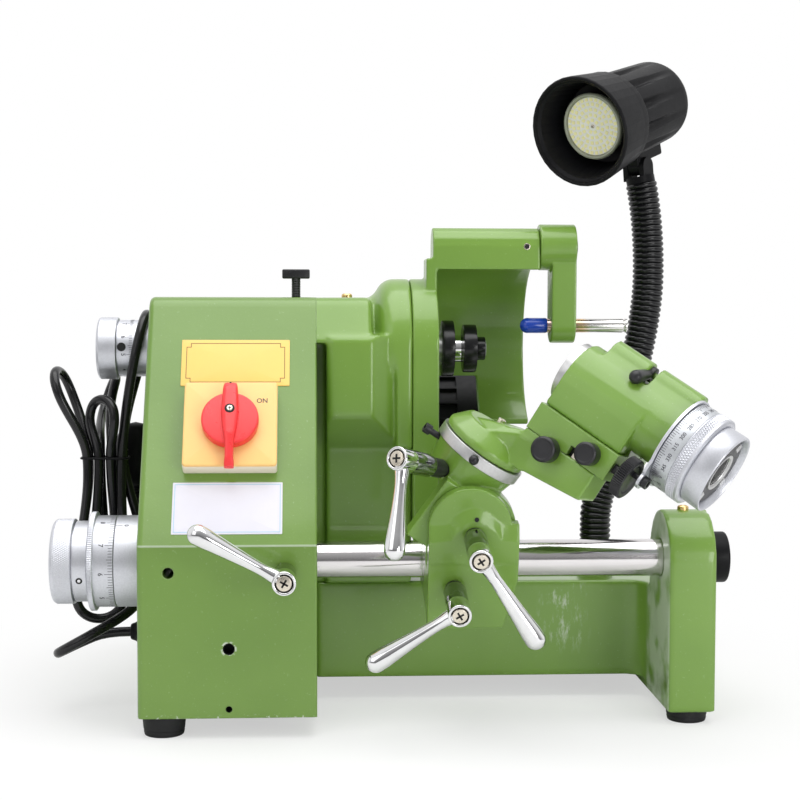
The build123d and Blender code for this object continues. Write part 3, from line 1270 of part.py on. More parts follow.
def swivel_ring():
    """The graduated ring with its ball-headed index pin, and the cap screw below it."""
    ring = rod_z(RING_RADIUS, RING_TOP - RING_HEIGHT, RING_TOP) - rod_z(
        SWIVEL_PIN_RADIUS, 0, RING_TOP + 1
    )
    middle = RING_TOP - RING_HEIGHT / 2
    ball_at = RING_RADIUS + INDEX_PIN_STAND
    pin = rod_x(INDEX_PIN_RADIUS, RING_RADIUS - INDEX_PIN_STAND, ball_at, 0, middle)
    pin += Pos(ball_at, 0, middle) * Sphere(INDEX_PIN_BALL)
    ring = Pos(-RING_OFFSET, -RING_SETBACK, 0) * (ring + Rot(0, 0, INDEX_PIN_BEARING) * pin)
    head_right = -RING_OFFSET - RING_RADIUS - CAP_SCREW_STAND
    height = RING_TOP - CAP_SCREW_DROP
    head = rod_x(CAP_HEAD_RADIUS, head_right - CAP_HEAD_LENGTH, head_right, -RING_SETBACK, height)
    return [TILT_FRAME * ring, TILT_FRAME * (cap_screw_shank() + head)]


def swivel_arm():
    """The domed foot on the ring and the arm that reaches out to the work head."""
    rim = DOME_HEIGHT / 3
    foot = rod_z(DOME_RADIUS, FACE_GAP, rim)
    foot += Pos(0, 0, rim) * Cone(DOME_RADIUS, DOME_TOP_RADIUS, DOME_HEIGHT - rim, align=BOTTOM)
    outline = [
        (-ARM_SOLE_BACK, ARM_SOLE_HEIGHT),
        (ARM_SOLE_FRONT, ARM_SOLE_HEIGHT),
        (ARM_END, ARM_TIP_HEIGHT),
        (ARM_END, BLOCK_BOTTOM),
        (BLOCK_START, BLOCK_BOTTOM),
        (BLOCK_START, BLOCK_BOTTOM - ARM_STEP),
        (-ARM_HEEL, DOME_HEIGHT - ARM_HEEL_DROP),
    ]
    beam = upright(outline, ARM_FRONT, ARM_FRONT + ARM_WIDTH)
    pitch = Rot(0, -ARM_PITCH, 0)
    seat_cut = rod_z(2 * DOME_RADIUS, FACE_GAP - DOME_RADIUS, FACE_GAP)
    arm = foot + pitch * beam - seat_cut
    arm -= rod_z(SWIVEL_PIN_RADIUS + RUNNING_GAP, -1, SWIVEL_PIN_HEIGHT + FACE_GAP)
    return SWIVEL_FRAME * (arm - pitch * stud_hole(ARM_KNOB_AT, ARM_KNOB_HEIGHT))


def stud_hole(along, height):
    """The hole for a thumb screw in the front of the arm or block."""
    return rod_y(THUMB_STUD_RADIUS, ARM_FRONT - 1, ARM_FRONT + THUMB_STUD_LENGTH, along, height)


def rail_outline(gap, drop):
    """The dovetail rail in the plane across the head, widened by a gap."""
    half, flare = RAIL_WIDTH / 2 + gap, RAIL_FLARE
    middle = HEAD_DEPTH
    top = BLOCK_TOP + RAIL_HEIGHT + gap
    return [
        (middle - half, BLOCK_TOP - drop),
        (middle - half - flare, top),
        (middle + half + flare, top),
        (middle + half, BLOCK_TOP - drop),
    ]


def dovetail_block():
    """The block on the arm with the dovetail rail that carries the work head."""
    end = BLOCK_START + BLOCK_LENGTH
    body = block(BLOCK_START, end, ARM_FRONT, BLOCK_BACK, BLOCK_BOTTOM, BLOCK_TOP)
    body += slab(rail_outline(0, 1), BLOCK_START + RAIL_SETBACK, end)
    notch_x = BLOCK_START + BLOCK_NOTCH_AT
    notch_top = BLOCK_BOTTOM + BLOCK_NOTCH_HEIGHT
    body -= block(
        notch_x, notch_x + BLOCK_NOTCH, ARM_FRONT - 1, ARM_FRONT + BLOCK_NOTCH, BLOCK_BOTTOM - 1, notch_top
    )
    middle = block_middle()
    body -= stud_hole(BLOCK_KNOB_AT, middle)
    shaft_end = end - FEED_SHAFT_LENGTH
    body -= rod_x(FEED_SHAFT_RADIUS + RUNNING_GAP, shaft_end, end + 1, FEED_WHEEL_DEPTH, middle)
    return ARM_FRAME * body


def block_middle():
    """The dovetail block's mid height, where its thumb screw and feed wheel sit."""
    return (BLOCK_BOTTOM + BLOCK_TOP) / 2


def slide_feed_wheel():
    """The black knurled wheel and shaft that feed the work head along its rail."""
    end = BLOCK_START + BLOCK_LENGTH
    start = end + FEED_WHEEL_STAND
    place = FEED_WHEEL_DEPTH, block_middle()
    wheel = rod_x(FEED_WHEEL_RADIUS, start, start + FEED_WHEEL_LENGTH, *place)
    shaft = rod_x(FEED_SHAFT_RADIUS, end - FEED_SHAFT_LENGTH + FACE_GAP, start + 1, *place)
    return ARM_FRAME * (wheel + shaft)


def thumb_knob(radius, along, height):
    """A black thumb screw on the front of the arm or block."""
    neck_front = ARM_FRONT - THUMB_NECK_LENGTH
    knob = rod_y(radius, neck_front - THUMB_KNOB_LENGTH, neck_front, along, height)
    knob += rod_y(THUMB_NECK_RADIUS, neck_front - 1, ARM_FRONT - FACE_GAP, along, height)
    inner = ARM_FRONT + THUMB_STUD_LENGTH - FACE_GAP
    knob += rod_y(THUMB_STUD_RADIUS - RUNNING_GAP, neck_front - 1, inner, along, height)
    return ARM_FRAME * knob


def work_head():
    """The work head body: a bored barrel on a dovetailed base, with two long bosses on top."""
    end = HEAD_START + HEAD_LENGTH
    y, z = HEAD_DEPTH, HEAD_HEIGHT
    barrel = rod_x(HEAD_RADIUS, HEAD_START, end, y, z)
    base_end = HEAD_START + HEAD_BASE_LENGTH
    sole, base_top = BLOCK_TOP + SLIDE_GAP, z - HEAD_BASE_DROP
    base = block(HEAD_START, base_end, HEAD_BASE_FRONT, HEAD_BASE_BACK, sole, base_top)
    base = fillet(base.edges().filter_by(Axis.X).group_by(Axis.Z)[-1], EDGE_ROUND)
    rib_start, rib_y, rib_top = HEAD_START + RIB_START, y + RIB_SHIFT, z + RIB_HEIGHT
    rib = rod_x(RIB_RADIUS, rib_start, end, rib_y, rib_top)
    rib += block(rib_start, end, rib_y - RIB_RADIUS, rib_y + RIB_RADIUS, z, rib_top)
    gap_left = HEAD_START + RIB_GAP_START
    head = barrel + base + rib
    gap_right = gap_left + RIB_GAP
    slot_floor = z + HEAD_RADIUS - RIB_GAP_FLOOR
    slot_top = rib_top + 2 * RIB_RADIUS
    head -= block(gap_left, gap_right, y - HEAD_RADIUS, y + 2 * HEAD_RADIUS, slot_floor, slot_top)
    groove = rail_outline(SLIDE_GAP, 1)
    head -= slab(groove, HEAD_START - 1, end + 1)
    head -= rod_x(INDEX_SPINDLE_RADIUS + RUNNING_GAP, HEAD_START - 1, end + 1, y, z)
    pin_y, pin_z = lock_pin_place()
    lock_pin = rod_x(LOCK_PIN_RADIUS, gap_left - LOCK_PIN_SEAT, gap_right + LOCK_PIN_SEAT, pin_y, pin_z)
    room = rod_x(LOCK_HUB_RADIUS + LOCK_HUB_ROOM, gap_left, gap_right, pin_y, pin_z)
    return ARM_FRAME * (head - room + lock_pin)


def lock_pin_place():
    """The lock lever's pin, across the gap between the bosses."""
    return HEAD_DEPTH + RIB_SHIFT, HEAD_HEIGHT + RIB_HEIGHT + LOCK_PIN_RAISE


def index_lock_lever():
    """The small ball lever between the bosses that locks the index spindle."""
    pin_y, pin_z = lock_pin_place()
    left = HEAD_START + RIB_GAP_START + FACE_GAP
    right = left + RIB_GAP - 2 * FACE_GAP
    hub = tube_x(LOCK_HUB_RADIUS, LOCK_PIN_RADIUS + RUNNING_GAP, left, right, pin_y, pin_z)
    middle = (left + right) / 2
    rod = Rot(90 + LOCK_DIP, 0, 0) * rod_z(LOCK_ROD_RADIUS, LOCK_HUB_RADIUS - 1, LOCK_REACH)
    rod += Rot(90 + LOCK_DIP, 0, 0) * Pos(0, 0, LOCK_REACH) * Sphere(LOCK_BALL_RADIUS)
    return ARM_FRAME * (hub + Pos(middle, pin_y, pin_z) * rod)


def head_stations():
    """Places along the head axis: plate, dial, knurl, cup and the cup's rear rim."""
    plate = HEAD_START + HEAD_LENGTH
    dial = plate + INDEX_PLATE + FACE_GAP
    knurl = dial + INDEX_DIAL_LENGTH
    cup = knurl + KNURL_LENGTH
    return plate, dial, knurl, cup, cup + CUP_LENGTH


def index_spindle():
    """The hollow spindle with its nose flange in front and a shouldered tail."""
    _, dial, _, _, rim = head_stations()
    nose = HEAD_START - FACE_GAP
    spindle = rod_x(NOSE_RADIUS, nose - NOSE_LENGTH, nose)
    spindle += rod_x(INDEX_SPINDLE_RADIUS, nose - 1, dial)
    spindle += rod_x(INDEX_TAIL_RADIUS, dial - 1, rim - CUP_DEPTH + INDEX_TAIL_PROUD)
    bore = COLLET_SEAT_RADIUS
    return HEAD_FRAME * (spindle - rod_x(bore, nose - NOSE_LENGTH - 1, rim + 1))


def collet():
    """The collet in the spindle nose, bored for the tool shank."""
    start = HEAD_START - FACE_GAP - NOSE_LENGTH - COLLET_PROUD
    body = tube_x(COLLET_SEAT_RADIUS, COLLET_BORE_RADIUS, start, start + COLLET_LENGTH)
    return HEAD_FRAME * body


def index_plate():
    """The thin pointer plate behind the dial, with its ear."""
    start = head_stations()[0]
    end = start + INDEX_PLATE
    ring = tube_x(INDEX_PLATE_RADIUS, INDEX_SPINDLE_RADIUS + 1, start, end)
    across, drop = INDEX_EAR_ACROSS, INDEX_EAR_DROP
    ear = rod_x(INDEX_EAR_RADIUS, start, end, -across, -drop)
    link = block(start, end, -across - INDEX_EAR_RADIUS, -across / 2, -drop, -drop / 2)
    return HEAD_FRAME * (ring + ear + (link & rod_x(math.hypot(across, drop), start, end)))


def index_dial():
    """The degree dial."""
    _, dial, knurl, _, _ = head_stations()
    return HEAD_FRAME * tube_x(INDEX_DIAL_RADIUS, INDEX_TAIL_RADIUS, dial, knurl)


def index_handwheel():
    """The knurled ring and the rear cup that the operator turns."""
    _, _, knurl, cup, rim = head_stations()
    wheel = rod_x(KNURL_RADIUS, knurl, cup) + rod_x(CUP_RADIUS, cup, rim)
    wheel -= rod_x(INDEX_TAIL_RADIUS, knurl - 1, rim + 1)
    return HEAD_FRAME * (wheel - rod_x(CUP_RADIUS - CUP_WALL, rim - CUP_DEPTH, rim + 1))


def switch_box():
    """The switch plate on the sloping face, with the switch body behind the wall."""
    size = SWITCH_SIZE
    plate = Box(size, size, SWITCH_DEPTH, align=BOTTOM)
    plate = fillet(plate.edges().filter_by(Axis.Z), SWITCH_CORNER)
    plate -= rod_z(SWITCH_SHAFT_RADIUS + STUD_GAP, -1, SWITCH_DEPTH + 1)
    half = SWITCH_BODY_SIZE / 2
    body = block(-half, half, -half, half, -COLUMN_WALL - SWITCH_BODY_DEPTH, -COLUMN_WALL)
    body -= rod_z(SWITCH_SHAFT_RADIUS + STUD_GAP, -COLUMN_WALL - SWITCH_BODY_DEPTH / 2, 0)
    return [SWITCH_FRAME * plate, SWITCH_FRAME * body]


def switch_knob():
    """The rotary switch handle: a disc, a raised grip bar and its shaft."""
    low = SWITCH_DEPTH + FACE_GAP
    knob = rod_z(SWITCH_DISC_RADIUS, low, low + SWITCH_DISC_HEIGHT)
    half, width = SWITCH_BAR_LENGTH / 2, SWITCH_BAR_WIDTH / 2
    tip = SWITCH_BAR_TIP / 2
    outline = Polyline(
        (-tip, -half), (tip, -half), (width, 0), (tip, half), (-tip, half), (-width, 0), close=True
    )
    lift = SWITCH_BAR_LIFT
    knob += extrude(Pos(0, 0, low + lift) * make_face(outline), SWITCH_BAR_HEIGHT - lift)
    shaft_end = -COLUMN_WALL - SWITCH_BODY_DEPTH / 2 + FACE_GAP
    return SWITCH_FRAME * (knob + rod_z(SWITCH_SHAFT_RADIUS, shaft_end, low + 1))


def lock_screw():
    """The T-headed screw in the column's top that locks the quill."""
    top = COLUMN_TOP_Z + LOCK_SCREW_HEIGHT
    low = SPINDLE_Z + QUILL_FLAT + STUD_GAP
    screw = rod_z(LOCK_SCREW_RADIUS, low, top + 1, LOCK_SCREW_X, SPINDLE_Y)
    half = LOCK_HEAD_HEIGHT / 2
    head = block(-LOCK_HEAD_LENGTH / 2, LOCK_HEAD_LENGTH / 2, -half, half, top, top + LOCK_HEAD_HEIGHT)
    return screw + Pos(LOCK_SCREW_X, SPINDLE_Y, 0) * fillet(head.edges().filter_by(Axis.Z), LOCK_HEAD_ROUND)


def ball_oilers():
    """Oilers on the bracket arch and on the neck."""
    oiler = Cylinder(OILER_RADIUS, OILER_HEIGHT, align=BOTTOM)
    on_arch = Pos((BRACKET_LEFT_X + BRACKET_RIGHT_X) / 2, BAR_Y, BAR_Z + BRACKET_ARCH_RADIUS) * oiler
    on_neck = Pos(COLUMN_RIGHT_X + OILER_FROM_COLUMN, SPINDLE_Y, COLUMN_TOP_Z) * oiler
    return [on_arch, on_neck]


def lamp_base():
    """The nut that holds the hose on the bed."""
    nut = rod_z(LAMP_NUT_RADIUS, BED_TOP_Z, HOSE_START.Z, LAMP_X, LAMP_Y)
    return fillet(nut.edges().sort_by(Axis.Z)[-1], LAMP_NUT_ROUND)


def hose_path():
    """The hose's centre line in the XZ plane: straight runs joined by large tangent arcs."""
    points = [HOSE_START + Vector(x, 0, z) for x, z in HOSE_POINTS]
    return FilletPolyline(*points, radius=corner_radii(points))


def corner_radii(points):
    """At each corner the largest arc that takes a share of the shorter run."""
    radii = []
    for before, at, after in zip(points, points[1:], points[2:]):
        into, out = at - before, after - at
        turn = math.radians(into.get_angle(out))
        radii.append(ARC_SHARE * min(into.length, out.length) / math.tan(turn / 2))
    return radii


def gooseneck():
    """The ribbed lamp hose, four circles to a rib, with its bore."""
    path = hose_path()
    ribs = round(path.length / HOSE_RIB_PITCH)
    shape = (
        (0.0, HOSE_VALLEY_RADIUS),
        (HOSE_RIB_RISE, HOSE_CREST_RADIUS),
        (HOSE_RIB_TOP, HOSE_CREST_RADIUS),
        (HOSE_RIB_FALL, HOSE_VALLEY_RADIUS),
    )
    stations = [((rib + part) / ribs, radius) for rib in range(ribs) for part, radius in shape]
    stations.append((1.0, HOSE_VALLEY_RADIUS))

    def ring(part, radius):
        plane = Plane(origin=path @ part, x_dir=(0, 1, 0), z_dir=path % part)
        return plane * Circle(radius)

    hose = loft([ring(part, radius) for part, radius in stations], ruled=True)
    bore = loft([ring(part, HOSE_BORE_RADIUS) for part, _ in stations], ruled=True)
    return hose - bore


def hose_end():
    """The hose's end point and its direction there."""
    path = hose_path()
    return path @ 1, (path % 1).normalized()


def lamp_frame():
    """The lamp head's frame: Z along the lamp axis from the shade to the rear, X along the hinge."""
    end, heading = hose_end()
    pivot = end + heading * LAMP_PIVOT_RISE
    return Location(Plane(origin=pivot, x_dir=LAMP_HINGE_AXIS, z_dir=LAMP_AXIS))


def lamp_bracket():
    """The knuckle on the hose's end: a stub and two cheeks with the hinge pin across them."""
    end, heading = hose_end()
    stub = Location(Plane(origin=end, z_dir=heading)) * Cylinder(
        LAMP_STUB_RADIUS, LAMP_STUB_HEIGHT, align=BOTTOM
    )
    pivot = end + heading * LAMP_PIVOT_RISE
    lean = heading - LAMP_HINGE_AXIS * heading.dot(LAMP_HINGE_AXIS)
    knuckle = Location(Plane(origin=pivot, x_dir=LAMP_HINGE_AXIS, z_dir=lean))
    inner = LAMP_LUG / 2 + FACE_GAP
    outer = inner + LAMP_CHEEK
    radius = LAMP_KNUCKLE_RADIUS
    foot_z = LAMP_STUB_HEIGHT - LAMP_PIVOT_RISE - LAMP_LUG_SINK
    ears = []
    for side in (-1, 1):
        low, high = sorted((side * inner, side * outer))
        ears.append(rod_x(radius, low, high) + block(low, high, -radius, radius, foot_z, 0))
    pin = rod_x(LAMP_PIN_RADIUS, -outer, outer)
    return stub + [knuckle * ear for ear in ears] + knuckle * pin


def lamp_rise():
    """The lamp axis above its hinge."""
    return LAMP_LUG_HEIGHT + BARREL_FRONT_RADIUS - LAMP_LUG_SINK


def lamp_head():
    """The shade, the fluted barrel and the hinge lug below it."""
    shade = Cone(SHADE_RADIUS, SHADE_REAR_RADIUS, SHADE_LENGTH, align=BOTTOM)
    throat = BULB_RADIUS + SHADE_WALL + BULB_ROOM
    shade -= Cone(SHADE_RADIUS - SHADE_WALL, throat, SHADE_LENGTH - SHADE_WALL, align=BOTTOM)
    barrel = Pos(0, 0, SHADE_LENGTH) * Cone(
        BARREL_FRONT_RADIUS, BARREL_REAR_RADIUS, BARREL_LENGTH, align=BOTTOM
    )
    flute = Pos(BARREL_FRONT_RADIUS + FLUTE_STANDOFF, 0, SHADE_LENGTH + FLUTE_START) * Cylinder(
        FLUTE_RADIUS, BARREL_LENGTH, align=BOTTOM
    )
    for turn in range(BARREL_FLUTES):
        barrel -= Rot(0, 0, (turn + 0.5) * 360 / BARREL_FLUTES) * Rot(0, -FLUTE_LEAN, 0) * flute
    socket = Pos(0, 0, BULB_SETBACK) * Cylinder(
        BULB_RADIUS / 2 + FACE_GAP, SHADE_LENGTH + BULB_LENGTH, align=BOTTOM
    )
    body = Pos(0, lamp_rise(), -LAMP_PIVOT_AT) * (shade + barrel - socket)
    half = LAMP_LUG / 2
    lug = rod_x(LAMP_KNUCKLE_RADIUS, -half, half)
    lug_top = LAMP_LUG_HEIGHT + 2 * LAMP_LUG_SINK
    lug += block(-half, half, 0, lug_top, -LAMP_KNUCKLE_RADIUS, LAMP_KNUCKLE_RADIUS)
    lug -= rod_x(LAMP_PIN_RADIUS + RUNNING_GAP, -half - 1, half + 1)
    return lamp_frame() * (body + lug)


def lamp_bulb():
    """The reflector bulb: a round front on a narrowing back and a cap."""
    rim, neck = BULB_RIM, BULB_RADIUS / 2
    bulb = Cylinder(BULB_RADIUS, rim, align=BOTTOM)
    bulb += Pos(0, 0, rim) * Cone(BULB_RADIUS, neck, BULB_LENGTH - 2 * rim, align=BOTTOM)
    bulb += Pos(0, 0, BULB_LENGTH - rim) * Cylinder(neck, BULB_LENGTH, align=BOTTOM)
    return lamp_frame() * Pos(0, lamp_rise(), -LAMP_PIVOT_AT + BULB_SETBACK) * bulb


def cable_gland():
    """The domed gland where the cord leaves the column."""
    face = COLUMN_LEFT_X - GLAND_LENGTH
    gland = turned_x(
        [
            (face, CORD_RADIUS + GLAND_LIP),
            (face + GLAND_NOSE_LENGTH, GLAND_NOSE_RADIUS),
            (face + GLAND_DOME_LENGTH, GLAND_RADIUS),
            (COLUMN_LEFT_X, GLAND_RADIUS),
        ]
    )
    return Pos(0, GLAND_Y, GLAND_Z) * gland


def cord_run():
    """The free stretch of cord from the gland to the hank."""
    points = [Vector(*point) for point in CORD_ROUTE]
    radii = corner_radii(points)
    print("cord radii", [round(radius, 1) for radius in radii])
    path = FilletPolyline(*points, radius=radii)
    section = Plane(origin=path @ 0, z_dir=path % 0) * Circle(CORD_RADIUS)
    return sweep(section, path=path)


def waist_strand(column, row):
    """A strand's place in the tie, in a grid of columns and rows."""
    x, y, z = WAIST
    across = (column - (WAIST_COLUMNS - 1) / 2) * WAIST_PITCH
    deep = (row - (WAIST_ROWS - 1) / 2) * WAIST_PITCH
    return Vector(x + across, y + deep, z)


def turn_ends(centre, axis, width, radius):
    """The two points of a half turn, with the cord's direction at each."""
    along = Vector(*axis).normalized()
    side = Vector(*width)
    side = (side - along * side.dot(along)).normalized() * radius
    return [(Vector(*centre) - side, along), (Vector(*centre) + side, along * -1)]


def hank_stations():
    """Points and directions along the hank: strands in the tie, and turns above and below it."""
    drum_radius = INFEED_DIAL_RADIUS + CORD_RADIUS + DRUM_TURN_GAP
    drum_turn = ((DRUM_TURN_X, SPINDLE_Y, SPINDLE_Z), DRUM_TURN_AXIS, (0.0, -1.0, 0.0), drum_radius)

    def strand(column, row, *direction):
        return waist_strand(column, row), Vector(*direction).normalized()

    return [
        (Vector(*CORD_ROUTE[-1]), Vector(*UP)),
        strand(3, 1, -0.06, 0.1, 1),
        *turn_ends(*drum_turn),
        strand(3, 0, -0.05, 0, -1),
        *turn_ends(*LOW_FRONT_TURN),
        strand(0, 0, -0.08, 0, 1),
        *turn_ends(*LEFT_TURN),
        strand(0, 1, 0.06, 0, -1),
        *turn_ends(*LOW_BACK_TURN),
        strand(2, 1, 0, 0.08, 1),
        *turn_ends(*HIDDEN_TURN),
        strand(1, 1, 0, -0.05, -1),
        *turn_ends(*LOW_INNER_TURN),
        strand(1, 0, -0.02, 0, 1),
        *turn_ends(*FRONT_TURN),
        strand(2, 0, 0, 0.02, -1),
        *turn_ends(*LOW_PLUG_TURN),
        (Vector(*HANK_END), Vector(*UP)),
    ]


def biarc(start, heading, end, arrival):
    """Two tangent arcs from a point and direction to another point and direction."""
    gap = end - start
    spread = 2 * (1 - heading.dot(arrival))
    forward = gap.dot(heading + arrival)
    if spread < 1e-9:
        reach = gap.dot(gap) / (4 * gap.dot(arrival))
    else:
        reach = (math.sqrt(forward**2 + spread * gap.dot(gap)) - forward) / spread
    middle = (start + heading * reach + end - arrival * reach) / 2
    first = TangentArc(start, middle, tangent=heading)
    return [first, TangentArc(middle, end, tangent=first % 1)]


def hank_path():
    """The hank's centre line, one unbroken chain of arcs."""
    stations = hank_stations()
    arcs = []
    for (start, heading), (end, arrival) in zip(stations, stations[1:]):
        arcs += biarc(start, heading, end, arrival)
    return Wire(arcs)


def least_gap(path, radius, step=2.0):
    """The least clearance between parts of a tube that lie apart along it, measured on points."""
    count = int(path.length / step)
    points = [path @ (i / count) for i in range(count + 1)]
    apart = int(8 * radius / step)
    gaps = [
        (points[i] - points[j]).length - 2 * radius
        for i in range(len(points))
        for j in range(i + apart, len(points))
    ]
    return min(gaps)


def cord_hank():
    """The rest of the cord, folded in loops that hang on the upper drum, up to the plug."""
    path = hank_path()
    print("hank length", round(path.length, 1), "least gap", round(least_gap(path, CORD_RADIUS), 2))
    section = Plane(origin=path @ 0, z_dir=path % 0) * Circle(CORD_RADIUS)
    tube = sweep(section, path=path)
    print("hank volume ratio", round(tube.volume / (math.pi * CORD_RADIUS**2 * path.length), 4))
    return tube


def cord_tie():
    """The wire tie round the strands at the waist."""
    x, y, z = WAIST
    margin = CORD_RADIUS + TIE_RADIUS + FACE_GAP
    wide = (WAIST_COLUMNS - 1) / 2 * WAIST_PITCH + margin
    deep = (WAIST_ROWS - 1) / 2 * WAIST_PITCH + margin
    outline = RectangleRounded(2 * wide, 2 * deep, margin)
    loop = Plane(origin=(x, y, z)) * outline.wire()
    section = Plane(origin=loop @ 0, z_dir=loop % 0) * Circle(TIE_RADIUS)
    return sweep(section, path=loop)


def mains_plug():
    """The angled mains plug: strain relief below, a round-topped body and two pins to the back."""
    x, y, z = HANK_END
    half, deep = PLUG_HALF_WIDTH, PLUG_DEPTH / 2
    low, high = z + RELIEF_LENGTH, z + RELIEF_LENGTH + PLUG_HEIGHT
    body = block(x - half, x + half, y - deep, y + deep, low, high)
    body += rod_y(half, y - deep, y + deep, x, high)
    body = fillet(body.faces().sort_by(Axis.Y)[0].edges(), PLUG_ROUND)
    relief = Pos(x, y, z) * Cone(CORD_RADIUS + RELIEF_LIP, RELIEF_RADIUS, RELIEF_LENGTH + 1, align=BOTTOM)
    plug = body + relief
    middle = (low + high + half) / 2
    for side in (-1, 1):
        pin_z = middle + side * PIN_SPACING / 2
        plug += rod_y(PIN_RADIUS, y + deep - 1, y + deep + PIN_LENGTH, x, pin_z)
    return plug


PARTS = {
    "bed_casting": bed_casting,
    "column_casting": column_casting,
    "headstock_casting": headstock_casting,
    "rubber_feet": rubber_feet,
    "bar_feed_sleeve": bar_feed_sleeve,
    "bar_feed_knob": bar_feed_knob,
    "bar_feed_dial": bar_feed_dial,
    "guide_bar": guide_bar,
    "bar_end_cap": bar_end_cap,
    "infeed_knob": infeed_knob,
    "quill_sleeve": quill_sleeve,
    "spindle_bearings": spindle_bearings,
    "spindle_shaft": spindle_shaft,
    "wheel_flanges": wheel_flanges,
    "spindle_pulley": spindle_pulley,
    "motor_pulley": motor_pulley,
    "motor_shaft": motor_shaft,
    "motor_body": motor_body,
    "motor_mount": motor_mount,
    "drive_belt": drive_belt,
    "belt_cover": belt_cover,
    "cover_screws": cover_screws,
    "wheel_guard": wheel_guard,
    "dresser_arm": dresser_arm,
    "dresser_rod": dresser_rod,
    "dresser_cap": dresser_cap,
    "bar_clamp_lever": bar_clamp_lever,
    "saddle_clamp_lever": saddle_clamp_lever,
    "tilt_clamp_lever": tilt_clamp_lever,
    "swivel_clamp_lever": swivel_clamp_lever,
    "saddle_bush": saddle_bush,
    "saddle_body": saddle_body,
    "tilt_block": tilt_block,
    "swivel_ring": swivel_ring,
    "swivel_arm": swivel_arm,
    "dovetail_block": dovetail_block,
    "slide_feed_wheel": slide_feed_wheel,
    "arm_thumb_knob": lambda: thumb_knob(ARM_KNOB_RADIUS, ARM_KNOB_AT, ARM_KNOB_HEIGHT),
    "block_thumb_knob": lambda: thumb_knob(BLOCK_KNOB_RADIUS, BLOCK_KNOB_AT, block_middle()),
    "work_head": work_head,
    "index_lock_lever": index_lock_lever,
    "index_spindle": index_spindle,
    "collet": collet,
    "index_plate": index_plate,
    "index_dial": index_dial,
    "index_handwheel": index_handwheel,
    "switch_box": switch_box,
    "switch_knob": switch_knob,
    "lock_screw": lock_screw,
    "ball_oilers": ball_oilers,
    "lamp_base": lamp_base,
    "gooseneck": gooseneck,
    "lamp_bracket": lamp_bracket,
    "lamp_head": lamp_head,
    "lamp_bulb": lamp_bulb,
    "cable_gland": cable_gland,
    "cord_run": cord_run,
    "cord_hank": cord_hank,
    "cord_tie": cord_tie,
    "mains_plug": mains_plug,
}


def build():
    """Make every piece and write it under its name."""
    os.makedirs("parts", exist_ok=True)
    for name, make in PARTS.items():
        made = make()
        solids = made if isinstance(made, list) else [made]
        export_step(Compound(children=[s for item in solids for s in item.solids()]), f"parts/{name}.step")


if __name__ == "__main__":
    build()
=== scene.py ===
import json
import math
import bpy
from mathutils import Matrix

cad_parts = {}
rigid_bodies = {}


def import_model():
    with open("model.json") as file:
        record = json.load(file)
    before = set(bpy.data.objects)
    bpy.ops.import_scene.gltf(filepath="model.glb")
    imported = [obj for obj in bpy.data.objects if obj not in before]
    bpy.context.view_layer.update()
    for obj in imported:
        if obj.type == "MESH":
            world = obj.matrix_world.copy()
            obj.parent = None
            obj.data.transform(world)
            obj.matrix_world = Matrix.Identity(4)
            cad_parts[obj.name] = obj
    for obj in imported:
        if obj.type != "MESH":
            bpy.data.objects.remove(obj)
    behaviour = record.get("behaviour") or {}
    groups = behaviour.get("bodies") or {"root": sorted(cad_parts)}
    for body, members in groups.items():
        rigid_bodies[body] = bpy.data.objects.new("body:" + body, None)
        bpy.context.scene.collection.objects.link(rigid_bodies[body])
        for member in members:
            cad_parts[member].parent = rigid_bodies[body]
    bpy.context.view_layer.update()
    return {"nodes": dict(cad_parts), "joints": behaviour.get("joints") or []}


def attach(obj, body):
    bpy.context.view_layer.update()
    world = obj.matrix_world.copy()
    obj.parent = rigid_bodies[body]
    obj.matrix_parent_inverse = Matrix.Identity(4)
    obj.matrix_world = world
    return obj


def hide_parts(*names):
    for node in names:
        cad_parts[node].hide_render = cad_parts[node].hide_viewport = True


bl_info = {
    "name": "Tool Grinder Dressing",
    "version": (1, 0, 0),
    "blender": (4, 5, 0),
    "location": "View3D > Sidebar > Grinder",
    "description": "Finishes, turned details, levers, lamp and mains lead of a drill and end mill grinder",
    "category": "Object",
}

from types import SimpleNamespace

import bmesh
import bpy
import numpy as np
from bpy.props import FloatProperty, FloatVectorProperty, IntProperty, PointerProperty
from mathutils import Matrix

for thing in list(bpy.data.objects):
    bpy.data.objects.remove(thing)

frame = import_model()

NODES = frame["nodes"]
JOINTS = {joint["name"]: joint for joint in frame["joints"]}
MM = 0.001

# How far ink stands out of a surface and sinks into it, in millimetres, and how much bolder than the
# font its letters are, as a share of their size
INK_LIFT = 0.06
INK_SINK = 0.15
INK_WEIGHT = 0.015

# The machine's directions as its operator sees them
FRONT = np.array((0.0, -1.0, 0.0))
LEFT = np.array((-1.0, 0.0, 0.0))
UP = np.array((0.0, 0.0, 1.0))

# The mains cord's route from its gland to the hank, in metres
CORD_ROUTE = (
    (-0.213, -0.025, 0.053),
    (-0.231, -0.025, 0.053),
    (-0.249, -0.029, 0.046),
    (-0.263, -0.041, 0.041),
    (-0.260, -0.058, 0.045),
    (-0.241, -0.062, 0.056),
    (-0.222, -0.050, 0.065),
    (-0.209, -0.031, 0.072),
    (-0.205, -0.009, 0.079),
    (-0.206, 0.002, 0.093),
    (-0.206, 0.002, 0.105),
)

